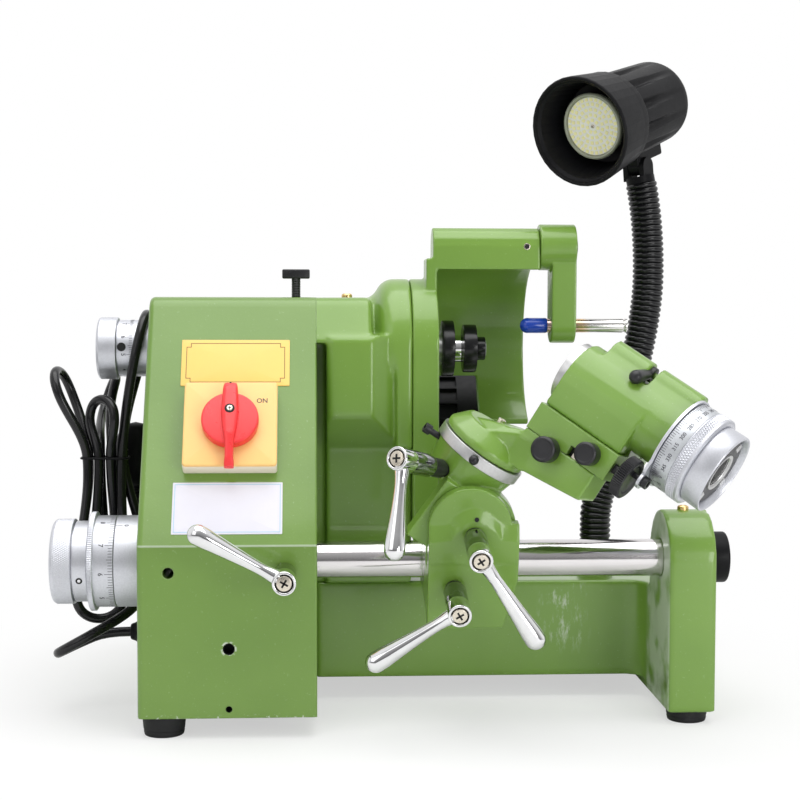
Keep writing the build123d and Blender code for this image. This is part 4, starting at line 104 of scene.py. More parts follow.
# The tied hank in metres: the middle of the tie, and each turn as centre, axis, width and radius
WAIST = np.array((-0.233, -0.0035, 0.178))
WAIST_PITCH = 0.0083
HANK_END = (-0.213, 0.036, 0.131)
HANK_STEPS = 6
DRUM_TURN = ((-0.209, 0.015, 0.258), (0.2, 0.0, 0.98), (0.0, -1.0, 0.0), 0.0266)
LEFT_TURN = ((-0.263, 0.0, 0.227), (-0.34, 0.0, 0.94), (0.15, 1.0, 0.0), 0.016)
HIDDEN_TURN = ((-0.235, 0.042, 0.222), (0.2, 0.5, 0.82), (-0.2, 1.0, 0.0), 0.014)
FRONT_TURN = ((-0.2345, -0.0085, 0.208), (0.06, 0.0, 1.0), (0.75, -0.65, 0.0), 0.0135)
LOW_FRONT_TURN = ((-0.2355, -0.019, 0.079), (0.0, 0.0, -1.0), (-0.97, -0.25, 0.0), 0.018)
LOW_BACK_TURN = ((-0.2415, 0.012, 0.088), (0.0, 0.05, -1.0), (1.0, 0.5, 0.0), 0.0155)
LOW_INNER_TURN = ((-0.238, -0.002, 0.102), (0.0, 0.0, -1.0), (-0.2, -1.0, 0.0), 0.013)
LOW_PLUG_TURN = ((-0.219, 0.016, 0.095), (0.0, 0.0, -1.0), (0.35, 0.94, 0.0), 0.016)

# Which way the lamp's axis runs, from its rim to its back
LAMP_HEADING = (0.66, 0.69, 0.30)

# The column's front: its crease, the tapped hole and the drain hole, and its wall, in millimetres
COLUMN_CREASE = 130.0
TAPPED_HOLE = (-137.0, -125.0, 60.7)
TAPPED_RADIUS = 4.0
DRAIN_HOLE = (-137.0, -125.0, 20.0)
DRAIN_RADIUS = 2.2
COLUMN_WALL = 9.0

# The lamp hose's centre line as (x, z) steps from its nut, in millimetres
HOSE_POINTS = ((0, 0), (0, 21), (0.6, 42), (39, 175), (40.5, 253), (33.5, 288))

# The end bracket's thickness, and how far its rim hangs below its feet's tops, in millimetres
BRACKET_THICKNESS = 33.0
SKIRT_DROP = 6.0

# How far the sleeve round the guide bar stands out of the column, in millimetres
SLEEVE_LENGTH = 18.0

# The share of a casting's faces that stays once its flat places are thinned
KEPT_FACES = 0.4

# How far from the middle of the floor the shadow begins to fade and is gone, in metres
SHADOW_FULL = 0.22
SHADOW_NONE = 0.44

# Finishes and lettering that are made, by name
FINISHES = {}
LETTERS = {}


def unit(vector):
    """The vector at length one."""
    vector = np.asarray(vector, float)
    return vector / np.linalg.norm(vector)


def joint_point(name):
    """A hinge's place in millimetres."""
    return np.array(JOINTS[name]["pos_m"]) / MM


def joint_axis(name):
    """A joint's unit axis."""
    return unit(JOINTS[name]["axis"])


def mesh_points(mesh):
    """A mesh's points as an array of rows."""
    flat = np.zeros(len(mesh.vertices) * 3, np.float32)
    mesh.vertices.foreach_get("co", flat)
    return flat.reshape(-1, 3)


def node_points(name):
    """The corners of a CAD node's mesh in millimetres."""
    return mesh_points(NODES[name].data) / MM


def node_box(name):
    """A CAD node's lowest and highest corners in millimetres."""
    points = node_points(name)
    return points.min(0), points.max(0)


def furthest(name, place):
    """How far a CAD node reaches along a place's Z axis."""
    return ((node_points(name) - place.origin) @ place.axes[2]).max()


class Place:
    """A frame on the machine: an origin in millimetres and unit axes X, Y = Z × X and Z."""

    def __init__(self, origin, x, z):
        self.origin = np.asarray(origin, float)
        z = unit(z)
        x = np.asarray(x, float)
        x = unit(x - z * np.dot(x, z))
        self.axes = np.array([x, np.cross(z, x), z])

    def points(self, local):
        """The machine's points for local ones: origin + x X + y Y + z Z."""
        return self.origin + np.asarray(local, float) @ self.axes

    def moved(self, x=0.0, y=0.0, z=0.0):
        """The same axes at a shifted origin."""
        return Place(self.points((x, y, z)), self.axes[0], self.axes[2])

    def aimed(self, z, x=(1.0, 0.0, 0.0)):
        """A frame at the same origin whose Z and X are directions in this one."""
        return Place(self.origin, np.asarray(x, float) @ self.axes, np.asarray(z, float) @ self.axes)

    def on_drum(self, radius, angle, height):
        """A frame on a drum about Z: its Z points out of the drum and its X along the axis."""
        turn = math.radians(angle)
        out = np.array((math.cos(turn), math.sin(turn), 0.0))
        return Place(self.points(radius * out + (0, 0, height)), self.axes[2], out @ self.axes)


def soften(points, radius, steps=4):
    """A profile with each inner corner rounded: a quadratic curve that starts one radius, or at most
    0.45 of the side, before the corner and ends as far after it."""
    points = [np.array(point, float) for point in points]
    share = np.linspace(0, 1, steps + 1)[:, None]
    rounded = [points[0][None]]
    for before, corner, after in zip(points, points[1:], points[2:]):
        ends = []
        for other in (before, after):
            side = other - corner
            size = np.linalg.norm(side)
            ends.append(corner + side * min(radius, 0.45 * size) / size)
        rounded.append((1 - share) ** 2 * ends[0] + 2 * share * (1 - share) * corner + share**2 * ends[1])
    rounded.append(points[-1][None])
    return np.concatenate(rounded)


def round_end(at, radius, steps=8):
    """A profile's rounded end: a quarter circle from the full radius down to the axis."""
    turn = np.linspace(0, math.pi / 2, steps + 1)
    return np.stack([at + radius * np.sin(turn), radius * np.cos(turn)], axis=-1)


def triangle_wave(phase):
    """A wave that rises from 0 to 1 and falls again once in each unit of phase."""
    return 1 - np.abs(2 * (phase % 1) - 1)


def diamond_knurl(count, pitch, depth, low, high):
    """Crossed grooves between two heights: the lower of two triangle waves, one for each lead,
    taken from the radius. Count is the number of diamonds round the drum."""

    def wave(height, angle):
        turn = count * angle / (2 * math.pi)
        peaks = np.minimum(triangle_wave(turn + height / pitch), triangle_wave(turn - height / pitch))
        inside = (height > low) & (height < high)
        return np.where(inside, depth * (peaks - 1), 0)

    return wave


def straight_knurl(count, depth, low, high):
    """Grooves along the axis between two heights: one triangle wave round the drum."""

    def wave(height, angle):
        inside = (height > low) & (height < high)
        return np.where(inside, depth * (triangle_wave(count * angle / (2 * math.pi)) - 1), 0)

    return wave


def smooth_curve(name, points, resolution):
    """A curve of one NURBS spline of order three, which starts and ends on its first and last points."""
    curve = bpy.data.curves.new(name, "CURVE")
    curve.dimensions = "3D"
    curve.resolution_u = resolution
    spline = curve.splines.new("NURBS")
    spline.points.add(len(points) - 1)
    spline.points.foreach_set("co", np.hstack([points, np.ones((len(points), 1))]).ravel())
    spline.order_u = 3
    spline.use_endpoint_u = True
    return curve


def lettering(words, size):
    """Words as a thin solid: centred points in millimetres and triangles."""
    key = words, size
    if key not in LETTERS:
        curve = bpy.data.curves.new("lettering", "FONT")
        curve.body = words
        curve.size = size
        curve.align_x = "CENTER"
        curve.align_y = "CENTER"
        curve.extrude = INK_LIFT
        curve.offset = INK_WEIGHT * size
        curve.resolution_u = 3
        holder = bpy.data.objects.new("lettering", curve)
        mesh = bpy.data.meshes.new_from_object(holder)
        mesh.calc_loop_triangles()
        faces = np.zeros(len(mesh.loop_triangles) * 3, np.int32)
        mesh.loop_triangles.foreach_get("vertices", faces)
        LETTERS[key] = mesh_points(mesh), faces.reshape(-1, 3)
        bpy.data.meshes.remove(mesh)
        bpy.data.objects.remove(holder)
        bpy.data.curves.remove(curve)
    return LETTERS[key]


class Form:
    """A mesh in the making: surfaces in millimetres, each with a finish by name. A surface that names
    none gets the form's own finish."""

    def __init__(self, finish=None):
        self.points = []
        self.faces = []
        self.numbers = []
        self.finishes = [finish]
        self.count = 0

    def patch(self, points, faces, finish=None):
        """Add points and the faces that join them."""
        finish = finish or self.finishes[0]
        if finish not in self.finishes:
            self.finishes.append(finish)
        points = np.asarray(points, float).reshape(-1, 3)
        faces = np.asarray(faces) + self.count
        self.points.append(points)
        self.faces.extend(faces.tolist())
        self.numbers.extend([self.finishes.index(finish)] * len(faces))
        self.count += len(points)

    def grid(self, points, finish=None):
        """Add a surface given as rows of points, each row closed on itself."""
        rows, columns = points.shape[:2]
        index = np.arange(rows * columns).reshape(rows, columns)
        index = np.hstack([index, index[:, :1]])
        quads = np.stack([index[:-1, :-1], index[:-1, 1:], index[1:, 1:], index[1:, :-1]], axis=-1)
        self.patch(points, quads.reshape(-1, 4), finish)

    def lathe(self, place, profile, segments, finish=None, wave=None):
        """Turn a profile of (height, radius) points about a place's Z axis. A wave of height and angle
        is added to the radius. A profile that stays off the axis closes on itself as a ring, and an
        end off the axis closes with a flat face."""
        profile = np.asarray(profile, float)
        if profile[0, 1] and profile[-1, 1]:
            profile = np.vstack([profile, profile[:1]])
        elif profile[0, 1] or profile[-1, 1]:
            profile = np.vstack([(profile[0, 0], 0), profile, (profile[-1, 0], 0)])
        angle = np.linspace(0, 2 * math.pi, segments, endpoint=False)
        height = profile[:, :1] + 0 * angle
        radius = profile[:, 1:] + 0 * angle
        if wave is not None:
            radius = radius + wave(height, angle)
        local = np.stack([radius * np.cos(angle), radius * np.sin(angle), height], axis=-1)
        self.grid(place.points(local), finish)

    def rod(self, place, low, high, radius, segments=48, finish=None, edge=0.0, bore=0.0):
        """A cylinder about a place's Z axis between two heights, or a ring if it has a bore, with its
        outer edges rounded."""
        profile = [(low, bore), (low, radius), (high, radius), (high, bore)]
        self.lathe(place, soften(profile, edge) if edge else profile, segments, finish)

    def loft(self, place, sections, finish=None):
        """Join closed sections, an array of rings of local points, and close both ends on their middles."""
        ends = np.broadcast_to(sections.mean(1, keepdims=True), sections.shape)
        rings = np.concatenate([ends[:1], sections, ends[-1:]])
        self.grid(place.points(rings), finish)

    def slab(self, place, width, depth, height, corner, edge, finish=None):
        """A plate on a place's XY plane: rounded rectangles, drawn in by edge (1 - cos t) as they rise
        by edge sin t over the top edge, and the same below."""
        steps = 5
        turn = np.linspace(0, math.pi / 2, steps)
        heights = np.concatenate([edge - edge * np.sin(turn[::-1]), height - edge + edge * np.sin(turn)])
        insets = np.concatenate([edge - edge * np.cos(turn[::-1]), edge - edge * np.cos(turn)])[:, None]
        angle = np.linspace(0, 2 * math.pi, 4 * steps, endpoint=False) + math.pi / (4 * steps)
        round_off = np.maximum(corner - insets, 0.05)
        half_x = width / 2 - insets - round_off
        half_y = depth / 2 - insets - round_off
        x = np.sign(np.cos(angle)) * half_x + round_off * np.cos(angle)
        y = np.sign(np.sin(angle)) * half_y + round_off * np.sin(angle)
        self.loft(place, np.stack([x, y, heights[:, None] + 0 * x], axis=-1), finish)

    def bricks(self, corners, finish=None):
        """Add six-sided bricks, an array of eight corners each: four below and four above."""
        corners = np.asarray(corners, float)
        sides = np.array([(3, 2, 1, 0), (4, 5, 6, 7), (0, 1, 5, 4), (1, 2, 6, 5), (2, 3, 7, 6), (3, 0, 4, 7)])
        faces = sides + 8 * np.arange(len(corners))[:, None, None]
        self.patch(corners, faces.reshape(-1, 4), finish)

    def brick(self, place, low, high, finish=None):
        """One brick between two local corners."""
        x, y, z = np.stack([low, high], axis=-1)
        square = [(x[0], y[0]), (x[1], y[0]), (x[1], y[1]), (x[0], y[1])]
        corners = [(a, b, height) for height in z for a, b in square]
        self.bricks([place.points(corners)], finish)

    def ticks(self, place, radius, angles, low, high, width, finish):
        """Marks on a drum: thin bricks between two heights, each centred on its angle in degrees."""
        half = width / 2 / radius
        turn = np.radians(angles)[:, None] + np.array([-half, half, half, -half] * 2)
        reach = radius + np.repeat([-INK_SINK, INK_LIFT], 4)
        upper = np.array([0, 0, 1, 1] * 2)
        height = np.where(upper, np.reshape(high, (-1, 1)), np.reshape(low, (-1, 1))) + 0 * turn
        local = np.stack([reach * np.cos(turn), reach * np.sin(turn), height], axis=-1)
        self.bricks(place.points(local), finish)

    def figures(self, place, radius, words, size, angle, height, sense, finish):
        """Lettering wrapped on a drum: turn = angle + sense u / radius, height = height + sense v."""
        points, faces = lettering(words, size)
        turn = math.radians(angle) + sense * points[:, 0] / radius
        reach = radius + points[:, 2]
        rise = height + sense * points[:, 1]
        local = np.stack([reach * np.cos(turn), reach * np.sin(turn), rise], axis=-1)
        self.patch(place.points(local), faces, finish)

    def words(self, place, words, size, finish):
        """Lettering flat on a place's XY plane."""
        points, faces = lettering(words, size)
        self.patch(place.points(points), faces, finish)

    def tube(self, route, radii, across, segments):
        """Carry a circle along a route: rings of radius r square to the route's direction, started
        from a fixed sideways direction."""
        route = np.asarray(route, float)
        heading = np.gradient(route, axis=0)
        heading /= np.linalg.norm(heading, axis=1, keepdims=True)
        side = np.cross(heading, across)
        side /= np.linalg.norm(side, axis=1, keepdims=True)
        lift = np.cross(side, heading)
        angle = np.linspace(0, 2 * math.pi, segments, endpoint=False)[:, None]
        ring = np.cos(angle) * side[:, None] + np.sin(angle) * lift[:, None]
        points = route[:, None] + np.reshape(radii, (-1, 1, 1)) * ring
        ends = np.broadcast_to(route[[0, -1], None], (2, segments, 3))
        self.grid(np.concatenate([ends[:1], points, ends[1:]]))

    def screw_head(self, place, radius, height, finish, cross=True):
        """A domed screw head with a cross slot drawn as dark bricks, or a socket head with a dark hexagon in
        its well: both dark parts are painted shade.
        """
        if cross:
            dome = [(0, 0), (0, radius), (0.9 * height, radius), (height, 0)]
            self.lathe(place, soften(dome, 0.5), 40, finish)
            wide, long = 0.13 * radius, 0.58 * radius
            # Painted shade: the cross slot as dark bricks that cut through the dome
            for x, y in ((long, wide), (wide, long)):
                self.brick(place, (-x, -y, 0.6 * height), (x, y, 1.02 * height), "hole")
            return
        well, floor = 0.55 * radius, 0.4 * height
        rim = [(0, 0), (0, radius), (height, radius), (height, well), (floor, well), (floor, 0)]
        self.lathe(place, soften(rim, 0.35), 36, finish)
        # Painted shade: a dark hexagon near the floor of the socket's well
        dark = [(0.42 * height, 0), (0.42 * height, 0.97 * well), (0.46 * height, 0)]
        self.lathe(place, dark, 6, "hole")

    def mesh(self, name):
        """The form as a mesh in metres."""
        mesh = bpy.data.meshes.new(name)
        mesh.from_pydata((np.concatenate(self.points) * MM).tolist(), [], self.faces)
        return mesh

    def piece(self, name, body, replaced=(), sharp=38.0):
        """Make the object: merge seams, point faces outwards, and let it ride its body."""
        mesh = self.mesh(name)
        mesh.polygons.foreach_set("material_index", np.array(self.numbers, np.int32))
        return settle(mesh, name, body, self.finishes, replaced, sharp)


def settle(mesh, name, body, finishes, replaced, sharp):
    """Clean a mesh, give it its finishes and hang it on a body."""
    work = bmesh.new()
    work.from_mesh(mesh)
    bmesh.ops.remove_doubles(work, verts=work.verts, dist=2e-6)
    bmesh.ops.dissolve_degenerate(work, edges=work.edges, dist=1e-7)
    bmesh.ops.recalc_face_normals(work, faces=work.faces)
    work.to_mesh(mesh)
    work.free()
    mesh.shade_smooth()
    mesh.set_sharp_from_angle(angle=math.radians(sharp))
    for finish in finishes:
        mesh.materials.append(FINISHES[finish])
    made = bpy.data.objects.new(name, mesh)
    bpy.context.scene.collection.objects.link(made)
    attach(made, body)
    if replaced:
        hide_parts(*replaced)
    return made


def paint_nodes(finish, *names):
    """Give CAD nodes that keep their shape a finish."""
    for name in names:
        mesh = NODES[name].data
        mesh.materials.clear()
        mesh.materials.append(FINISHES[finish])


class Field:
    """A shader socket that takes part in expressions: each operation on it adds one Math node."""

    def __init__(self, tree, socket):
        self.tree = tree
        self.socket = socket

    def math(self, operation, *values):
        """One Math node on these values or fields."""
        node = self.tree.nodes.new("ShaderNodeMath")
        node.operation = operation
        for socket, value in zip(node.inputs, values):
            feed(self.tree, socket, value)
        return Field(self.tree, node.outputs[0])

    def at_most(self, limit):
        """The field, or the limit where that is lower."""
        return self.math("MINIMUM", self, limit)

    def at_least(self, limit):
        """The field, or the limit where that is higher."""
        return self.math("MAXIMUM", self, limit)

    def __add__(self, other):
        return self.math("ADD", self, other)

    def __sub__(self, other):
        return self.math("SUBTRACT", self, other)

    def __rsub__(self, other):
        return self.math("SUBTRACT", other, self)

    def __mul__(self, other):
        return self.math("MULTIPLY", self, other)

    __radd__ = __add__
    __rmul__ = __mul__


def feed(tree, socket, value):
    """Link a field to a socket, or set the socket's own value."""
    if isinstance(value, Field):
        tree.links.new(value.socket, socket)
    elif isinstance(value, tuple) and len(value) == 3 and socket.type == "RGBA":
        socket.default_value = (*value, 1.0)
    else:
        socket.default_value = value


class Finish:
    """A node material: one Principled shader and the fields that vary it."""

    def __init__(self, name, **sockets):
        material = bpy.data.materials.new(name)
        material.use_nodes = True
        self.tree = material.node_tree
        self.shader = self.tree.nodes["Principled BSDF"]
        self.place = self.node("ShaderNodeTexCoord", output="Object")
        self.set(**sockets)
        FINISHES[name] = material

    def set(self, **sockets):
        """Set or link the shader's sockets, named in lower case with underscores."""
        names = {socket.name.lower().replace(" ", "_"): socket for socket in self.shader.inputs}
        for name, value in sockets.items():
            feed(self.tree, names[name], value)

    def node(self, kind, output=0, inputs=None, **settings):
        """Add any node: its settings first, then the values or links of its sockets."""
        node = self.tree.nodes.new(kind)
        for name, value in settings.items():
            setattr(node, name, value)
        for name, value in (inputs or {}).items():
            feed(self.tree, node.inputs[name], value)
        return Field(self.tree, node.outputs[output])

    def noise(self, scale, detail=2.0, stretch=(1.0, 1.0, 1.0), rough=0.5):
        """Noise on object coordinates, in features per metre, stretched along the axes."""
        vector = self.place
        if stretch != (1.0, 1.0, 1.0):
            vector = self.node("ShaderNodeMapping", inputs={"Vector": self.place, "Scale": stretch})
        inputs = {"Vector": vector, "Scale": scale, "Detail": detail, "Roughness": rough}
        return self.node("ShaderNodeTexNoise", inputs=inputs)

    def ramp(self, value, low, high):
        """A smooth step from 0 at low to 1 at high."""
        inputs = {"Value": value, "From Min": low, "From Max": high}
        return self.node("ShaderNodeMapRange", inputs=inputs, interpolation_type="SMOOTHSTEP")

    def mix(self, share, first, second):
        """A blend of two colours."""
        return self.node("ShaderNodeMix", output=2, inputs={0: share, 6: first, 7: second}, data_type="RGBA")

    def axis(self, name, field=None):
        """One component of a vector, the object coordinates if none is given."""
        return self.node("ShaderNodeSeparateXYZ", output=name, inputs={0: field or self.place})

    def bump(self, height, strength, distance, normal=None):
        """Relief on the shader's normal."""
        inputs = {"Height": height, "Strength": strength, "Distance": distance}
        if normal is not None:
            inputs["Normal"] = normal
        self.set(normal=self.node("ShaderNodeBump", inputs=inputs))

    def rounded(self, radius):
        """A normal that rounds the mesh's edges."""
        return self.node("ShaderNodeBevel", inputs={"Radius": radius * MM}, samples=6)


def enamel(name, colours, edge=0.0, peel=0.1, wear_and_highlight=None, depth=1.0):
    """Glossy green enamel: cloudy colour, fine orange peel, and pale wear where the given rule says, which
    on the column also paints a highlight along its crease. A depth below 1 darkens the green as painted
    shade."""
    light, deep = (tuple(depth * part for part in tone) for tone in (colours.enamel, colours.enamel_deep))
    paint = Finish(name, metallic=0.0, ior=1.5, coat_roughness=0.06, coat_weight=0.35)
    cloud = paint.noise(11.0, 3.0)
    speck = paint.noise(620.0, 2.0)
    colour = paint.mix(paint.ramp(cloud, 0.3, 0.72), light, deep)
    colour = paint.mix(paint.ramp(speck, 0.66, 0.78) * 0.22, colour, tuple(colours.enamel_worn))
    rough = 0.24 + cloud * 0.16
    normal = paint.rounded(edge) if edge else None
    if edge:
        flat = paint.node("ShaderNodeNewGeometry", output="Normal")
        sides = {0: normal, 1: flat}
        turn = paint.node("ShaderNodeVectorMath", output=1, inputs=sides, operation="DOT_PRODUCT")
        rub = paint.ramp(1 - turn, 0.04, 0.2) * paint.ramp(paint.noise(70.0, 4.0), 0.42, 0.62)
        colour = paint.mix(rub * 0.5, colour, tuple(colours.enamel_worn))
    if wear_and_highlight is not None:
        # The mask holds pale wear and, on the column, the painted highlight along its crease
        mask = wear_and_highlight(paint)
        colour = paint.mix(mask, colour, tuple(colours.bare))
        rough = rough + mask * 0.3
    paint.set(base_color=colour, roughness=rough)
    paint.bump(speck * 0.6 + paint.noise(150.0, 1.0), peel, 0.0004, normal)


def bed_wear(paint):
    """Scuffs on the bed's front behind the saddle, and the rubbed left face of the end bracket."""
    x, y, z = (paint.axis(name) for name in "XYZ")
    band = paint.ramp(x, 0.082, 0.098) * (1 - paint.ramp(x, 0.108, 0.128))
    band = band * paint.ramp(z, 0.03, 0.05) * (1 - paint.ramp(z, 0.082, 0.088))
    band = band * (1 - paint.ramp(y, -0.0185, -0.016))
    streak = paint.ramp(paint.noise(150.0, 6.0, (1.0, 1.0, 0.35), 0.7), 0.5, 0.68)
    outward = paint.axis("X", paint.node("ShaderNodeTexCoord", output="Normal"))
    arch = paint.ramp(0 - outward, 0.7, 0.95) * paint.ramp(x, 0.16, 0.163) * paint.ramp(0 - y, 0.03, 0.036)
    rub = paint.ramp(paint.noise(45.0, 5.0), 0.3, 0.55)
    return band * streak * 0.75 + arch * rub * 0.7


def column_wear(paint):
    """Chips along the column's lower edge, a flaked ring round the tapped hole in its front, and a painted
    highlight: a thin pale line along the crease of the front.
    """
    x, y, z = (paint.axis(name) for name in "XYZ")
    flakes = paint.noise(330.0, 5.0, rough=0.65)
    front = 1 - paint.ramp(y, -0.124, -0.122)
    edge = (1 - paint.ramp(z, 0.0144, 0.0172)) * paint.ramp(flakes, 0.6, 0.64)
    # Painted highlight: a thin pale line along the crease, where the sharp edge would catch the light
    fold = z - COLUMN_CREASE * MM
    crease = (1 - paint.ramp(fold * fold, 0.0003**2, 0.0009**2)) * front
    across = x - TAPPED_HOLE[0] * MM
    above = z - TAPPED_HOLE[2] * MM
    reach = across * across + above * above
    ring = (1 - paint.ramp(reach, 0.0044**2, 0.0058**2)) * paint.ramp(flakes, 0.48, 0.54) * front
    return edge * 0.8 + ring * 0.85 + crease * 0.5


def metal(name, colour, low, high, grain=300.0, stretch=(1.0, 1.0, 1.0), relief=0.05, edge=0.0):
    """Bare metal: roughness between two values on a fine grain, with a trace of relief."""
    plate = Finish(name, metallic=1.0)
    fine = plate.noise(grain, 4.0, stretch, 0.6)
    broad = plate.noise(22.0, 2.0)
    darker = tuple(0.8 * part for part in colour)
    shade = plate.mix(plate.ramp(fine, 0.3, 0.7) * 0.35 + broad * 0.3, colour, darker)
    plate.set(base_color=shade, roughness=low + (high - low) * plate.ramp(fine * 0.6 + broad * 0.4, 0.3, 0.7))
    plate.bump(fine, relief, 0.0003, plate.rounded(edge) if edge else None)


def moulded(name, colour, low, high, grain=500.0, relief=0.08, edge=0.0, dust=0.0, coat=0.0, shine=0.5):
    """Plastic, rubber or black finish: even colour, fine moulded grain, and some pale dust or scuffing."""
    skin = Finish(name, metallic=0.0, coat_weight=coat, coat_roughness=0.08, specular_ior_level=shine)
    fine = skin.noise(grain, 3.0)
    broad = skin.noise(35.0, 5.0, rough=0.65)
    lighter = tuple(0.35 * part + 0.09 for part in colour)
    brighter = tuple(min(1.0, 1.12 * part) for part in colour)
    shade = skin.mix(broad, colour, brighter)
    if dust:
        shade = skin.mix(skin.ramp(broad, 0.5, 0.75) * dust, shade, lighter)
    skin.set(base_color=shade, roughness=low + (high - low) * skin.ramp(broad * 0.6 + fine * 0.4, 0.3, 0.7))
    skin.bump(fine, relief, 0.0002, skin.rounded(edge) if edge else None)


def heat_tinted_steel():
    """Polished rod steel with straw and blue heat colours near the arm."""
    rod = Finish("tinted_steel", metallic=1.0)
    along = rod.axis("X") + rod.noise(60.0, 3.0) * 0.02
    straw = rod.ramp(along, 0.135, 0.126)
    violet = rod.ramp(along, 0.128, 0.122)
    colour = rod.mix(straw * 0.75, (0.72, 0.71, 0.69), (0.78, 0.5, 0.2))
    colour = rod.mix(violet * 0.6, colour, (0.42, 0.3, 0.4))
    grain = rod.noise(400.0, 3.0, (0.2, 1.0, 1.0))
    rod.set(base_color=colour, roughness=0.12 + grain * 0.18)
    rod.bump(grain, 0.04, 0.0002)


def length_of(name, default, description):
    """A length property, given in millimetres and kept in metres."""
    return FloatProperty(name=name, description=description, default=default * MM, unit="LENGTH", precision=5)


def colour_of(name, default, description):
    """A colour property in linear values."""
    return FloatVectorProperty(
        name=name, description=description, default=default, subtype="COLOR", size=3, min=0.0, max=1.0
    )


def angle_of(name, default, description):
    """An angle property, given in degrees and kept in radians."""
    return FloatProperty(
        name=name, description=description, default=math.radians(default), subtype="ANGLE", unit="ROTATION"
    )


def power_of(name, default, description):
    """A lamp's power in watts."""
    return FloatProperty(name=name, description=description, default=default, unit="POWER")


def sizes(settings):
    """A settings group as plain numbers: lengths in millimetres, angles in degrees, the rest as they are."""
    plain = {}
    for rule in settings.bl_rna.properties:
        if rule.identifier in ("rna_type", "name"):
            continue
        value = getattr(settings, rule.identifier)
        if rule.unit == "LENGTH":
            value = value / MM
        elif rule.unit == "ROTATION":
            value = math.degrees(value)
        plain[rule.identifier] = value
    return SimpleNamespace(**plain)


class GrinderStage(bpy.types.PropertyGroup):
    """Camera and light."""

    camera_x: length_of("Camera X", -82.417, "Camera place to the right")
    camera_y: length_of("Camera Y", -1182.492, "Camera place in depth")
    camera_z: length_of("Camera Z", 288.743, "Camera height")
    yaw: angle_of("Yaw", 3.2232, "Camera heading to the right")
    pitch: angle_of("Pitch", -3.3235, "Camera tilt upwards")
    roll: angle_of("Roll", 0.1197, "Camera roll")
    lens: FloatProperty(name="Lens", description="Focal length", default=71.754, subtype="DISTANCE_CAMERA")
    room_light: FloatProperty(name="Room light", description="Strength of the even light", default=0.5)
    top_light: power_of("Top light", 19.0, "Overhead softbox")
    left_light: power_of("Left light", 4.2, "Front left softbox")
    right_light: power_of("Right light", 4.5, "Low softbox on the right")


class GrinderColours(bpy.types.PropertyGroup):
    """Finish colours."""

    enamel: colour_of("Enamel", (0.172, 0.316, 0.046), "Green enamel")
    enamel_deep: colour_of("Deep enamel", (0.148, 0.282, 0.037), "Green enamel where it is thicker")
    enamel_worn: colour_of("Worn enamel", (0.42, 0.55, 0.30), "Green enamel rubbed thin")
    # Bare casting is also the colour of the painted highlight along the column's crease
    bare: colour_of("Bare casting", (0.62, 0.68, 0.58), "Scuffed and rubbed casting")
    switch_plate: colour_of("Switch plate", (0.90, 0.56, 0.20), "Yellow switch plate")
    switch_grip: colour_of("Switch grip", (0.80, 0.036, 0.040), "Red switch grip")
    name_plate: colour_of("Name plate", (0.86, 0.55, 0.135), "Gold name plate")


class GrinderCord(bpy.types.PropertyGroup):
    """Mains lead."""

    diameter: length_of("Diameter", 7.0, "Outside of the cord")
    run: length_of("Length", 1815.0, "Whole length of the cord from the gland to the plug")
    rib_pitch: length_of("Relief rib pitch", 2.6, "Spacing of the ribs on the plug's strain relief")


class GrinderKnobs(bpy.types.PropertyGroup):
    """Hand knobs on the left."""

    rim_radius: length_of("Rim radius", 29.5, "Lower knob's rim")
    rim_length: length_of("Rim length", 15.0, "Lower knob's rim along the axis")
    neck_radius: length_of("Neck radius", 28.0, "Lower knob's neck")
    dial_radius: length_of("Dial radius", 31.7, "Lower dial and its sleeve")
    flange_radius: length_of("Flange radius", 34.5, "Knurled flange of the lower dial")
    flange_length: length_of("Flange length", 4.0, "Knurled flange along the axis")
    infeed_rim_radius: length_of("Upper rim radius", 23.0, "Upper knob's rim")
    infeed_rim_length: length_of("Upper rim length", 15.0, "Upper knob's rim along the axis")
    drum_radius: length_of("Drum radius", 21.0, "Upper knob's graduated drum")
    divisions: IntProperty(name="Divisions", description="Marks round each dial", default=100)


class GrinderLevers(bpy.types.PropertyGroup):
    """Clamp levers."""

    hub_radius: length_of("Hub radius", 7.9, "Lever hub")
    hub_length: length_of("Hub length", 39.0, "Lever hub along its axis")
    arm_length: length_of("Arm length", 63.5, "From the hub's axis to the middle of the ball")
    waist_radius: length_of("Waist radius", 4.0, "Thinnest place of the arm")
    ball_radius: length_of("Ball radius", 7.0, "Ball end")
    rise: angle_of("Rise", 6.0, "Arm's lean away from the machine")


class GrinderHead(bpy.types.PropertyGroup):
    """Work head."""

    dial_start: length_of("Dial start", 109.3, "Dial's front face along the head axis")
    dial_length: length_of("Dial length", 12.0, "Degree dial")
    dial_radius: length_of("Dial radius", 31.6, "Degree dial")
    knurl_length: length_of("Knurl length", 10.0, "Knurled ring")
    knurl_radius: length_of("Knurl radius", 32.2, "Knurled ring")
    cup_length: length_of("Cup length", 14.0, "Rear cup")
    cup_radius: length_of("Cup radius", 28.3, "Rear cup")
    cup_wall: length_of("Cup wall", 2.8, "Rear cup's wall")
    cup_depth: length_of("Cup depth", 12.0, "Rear cup's well")
    figure_zero: angle_of("Dial turn", 317.2, "Degree figure that faces the operator")


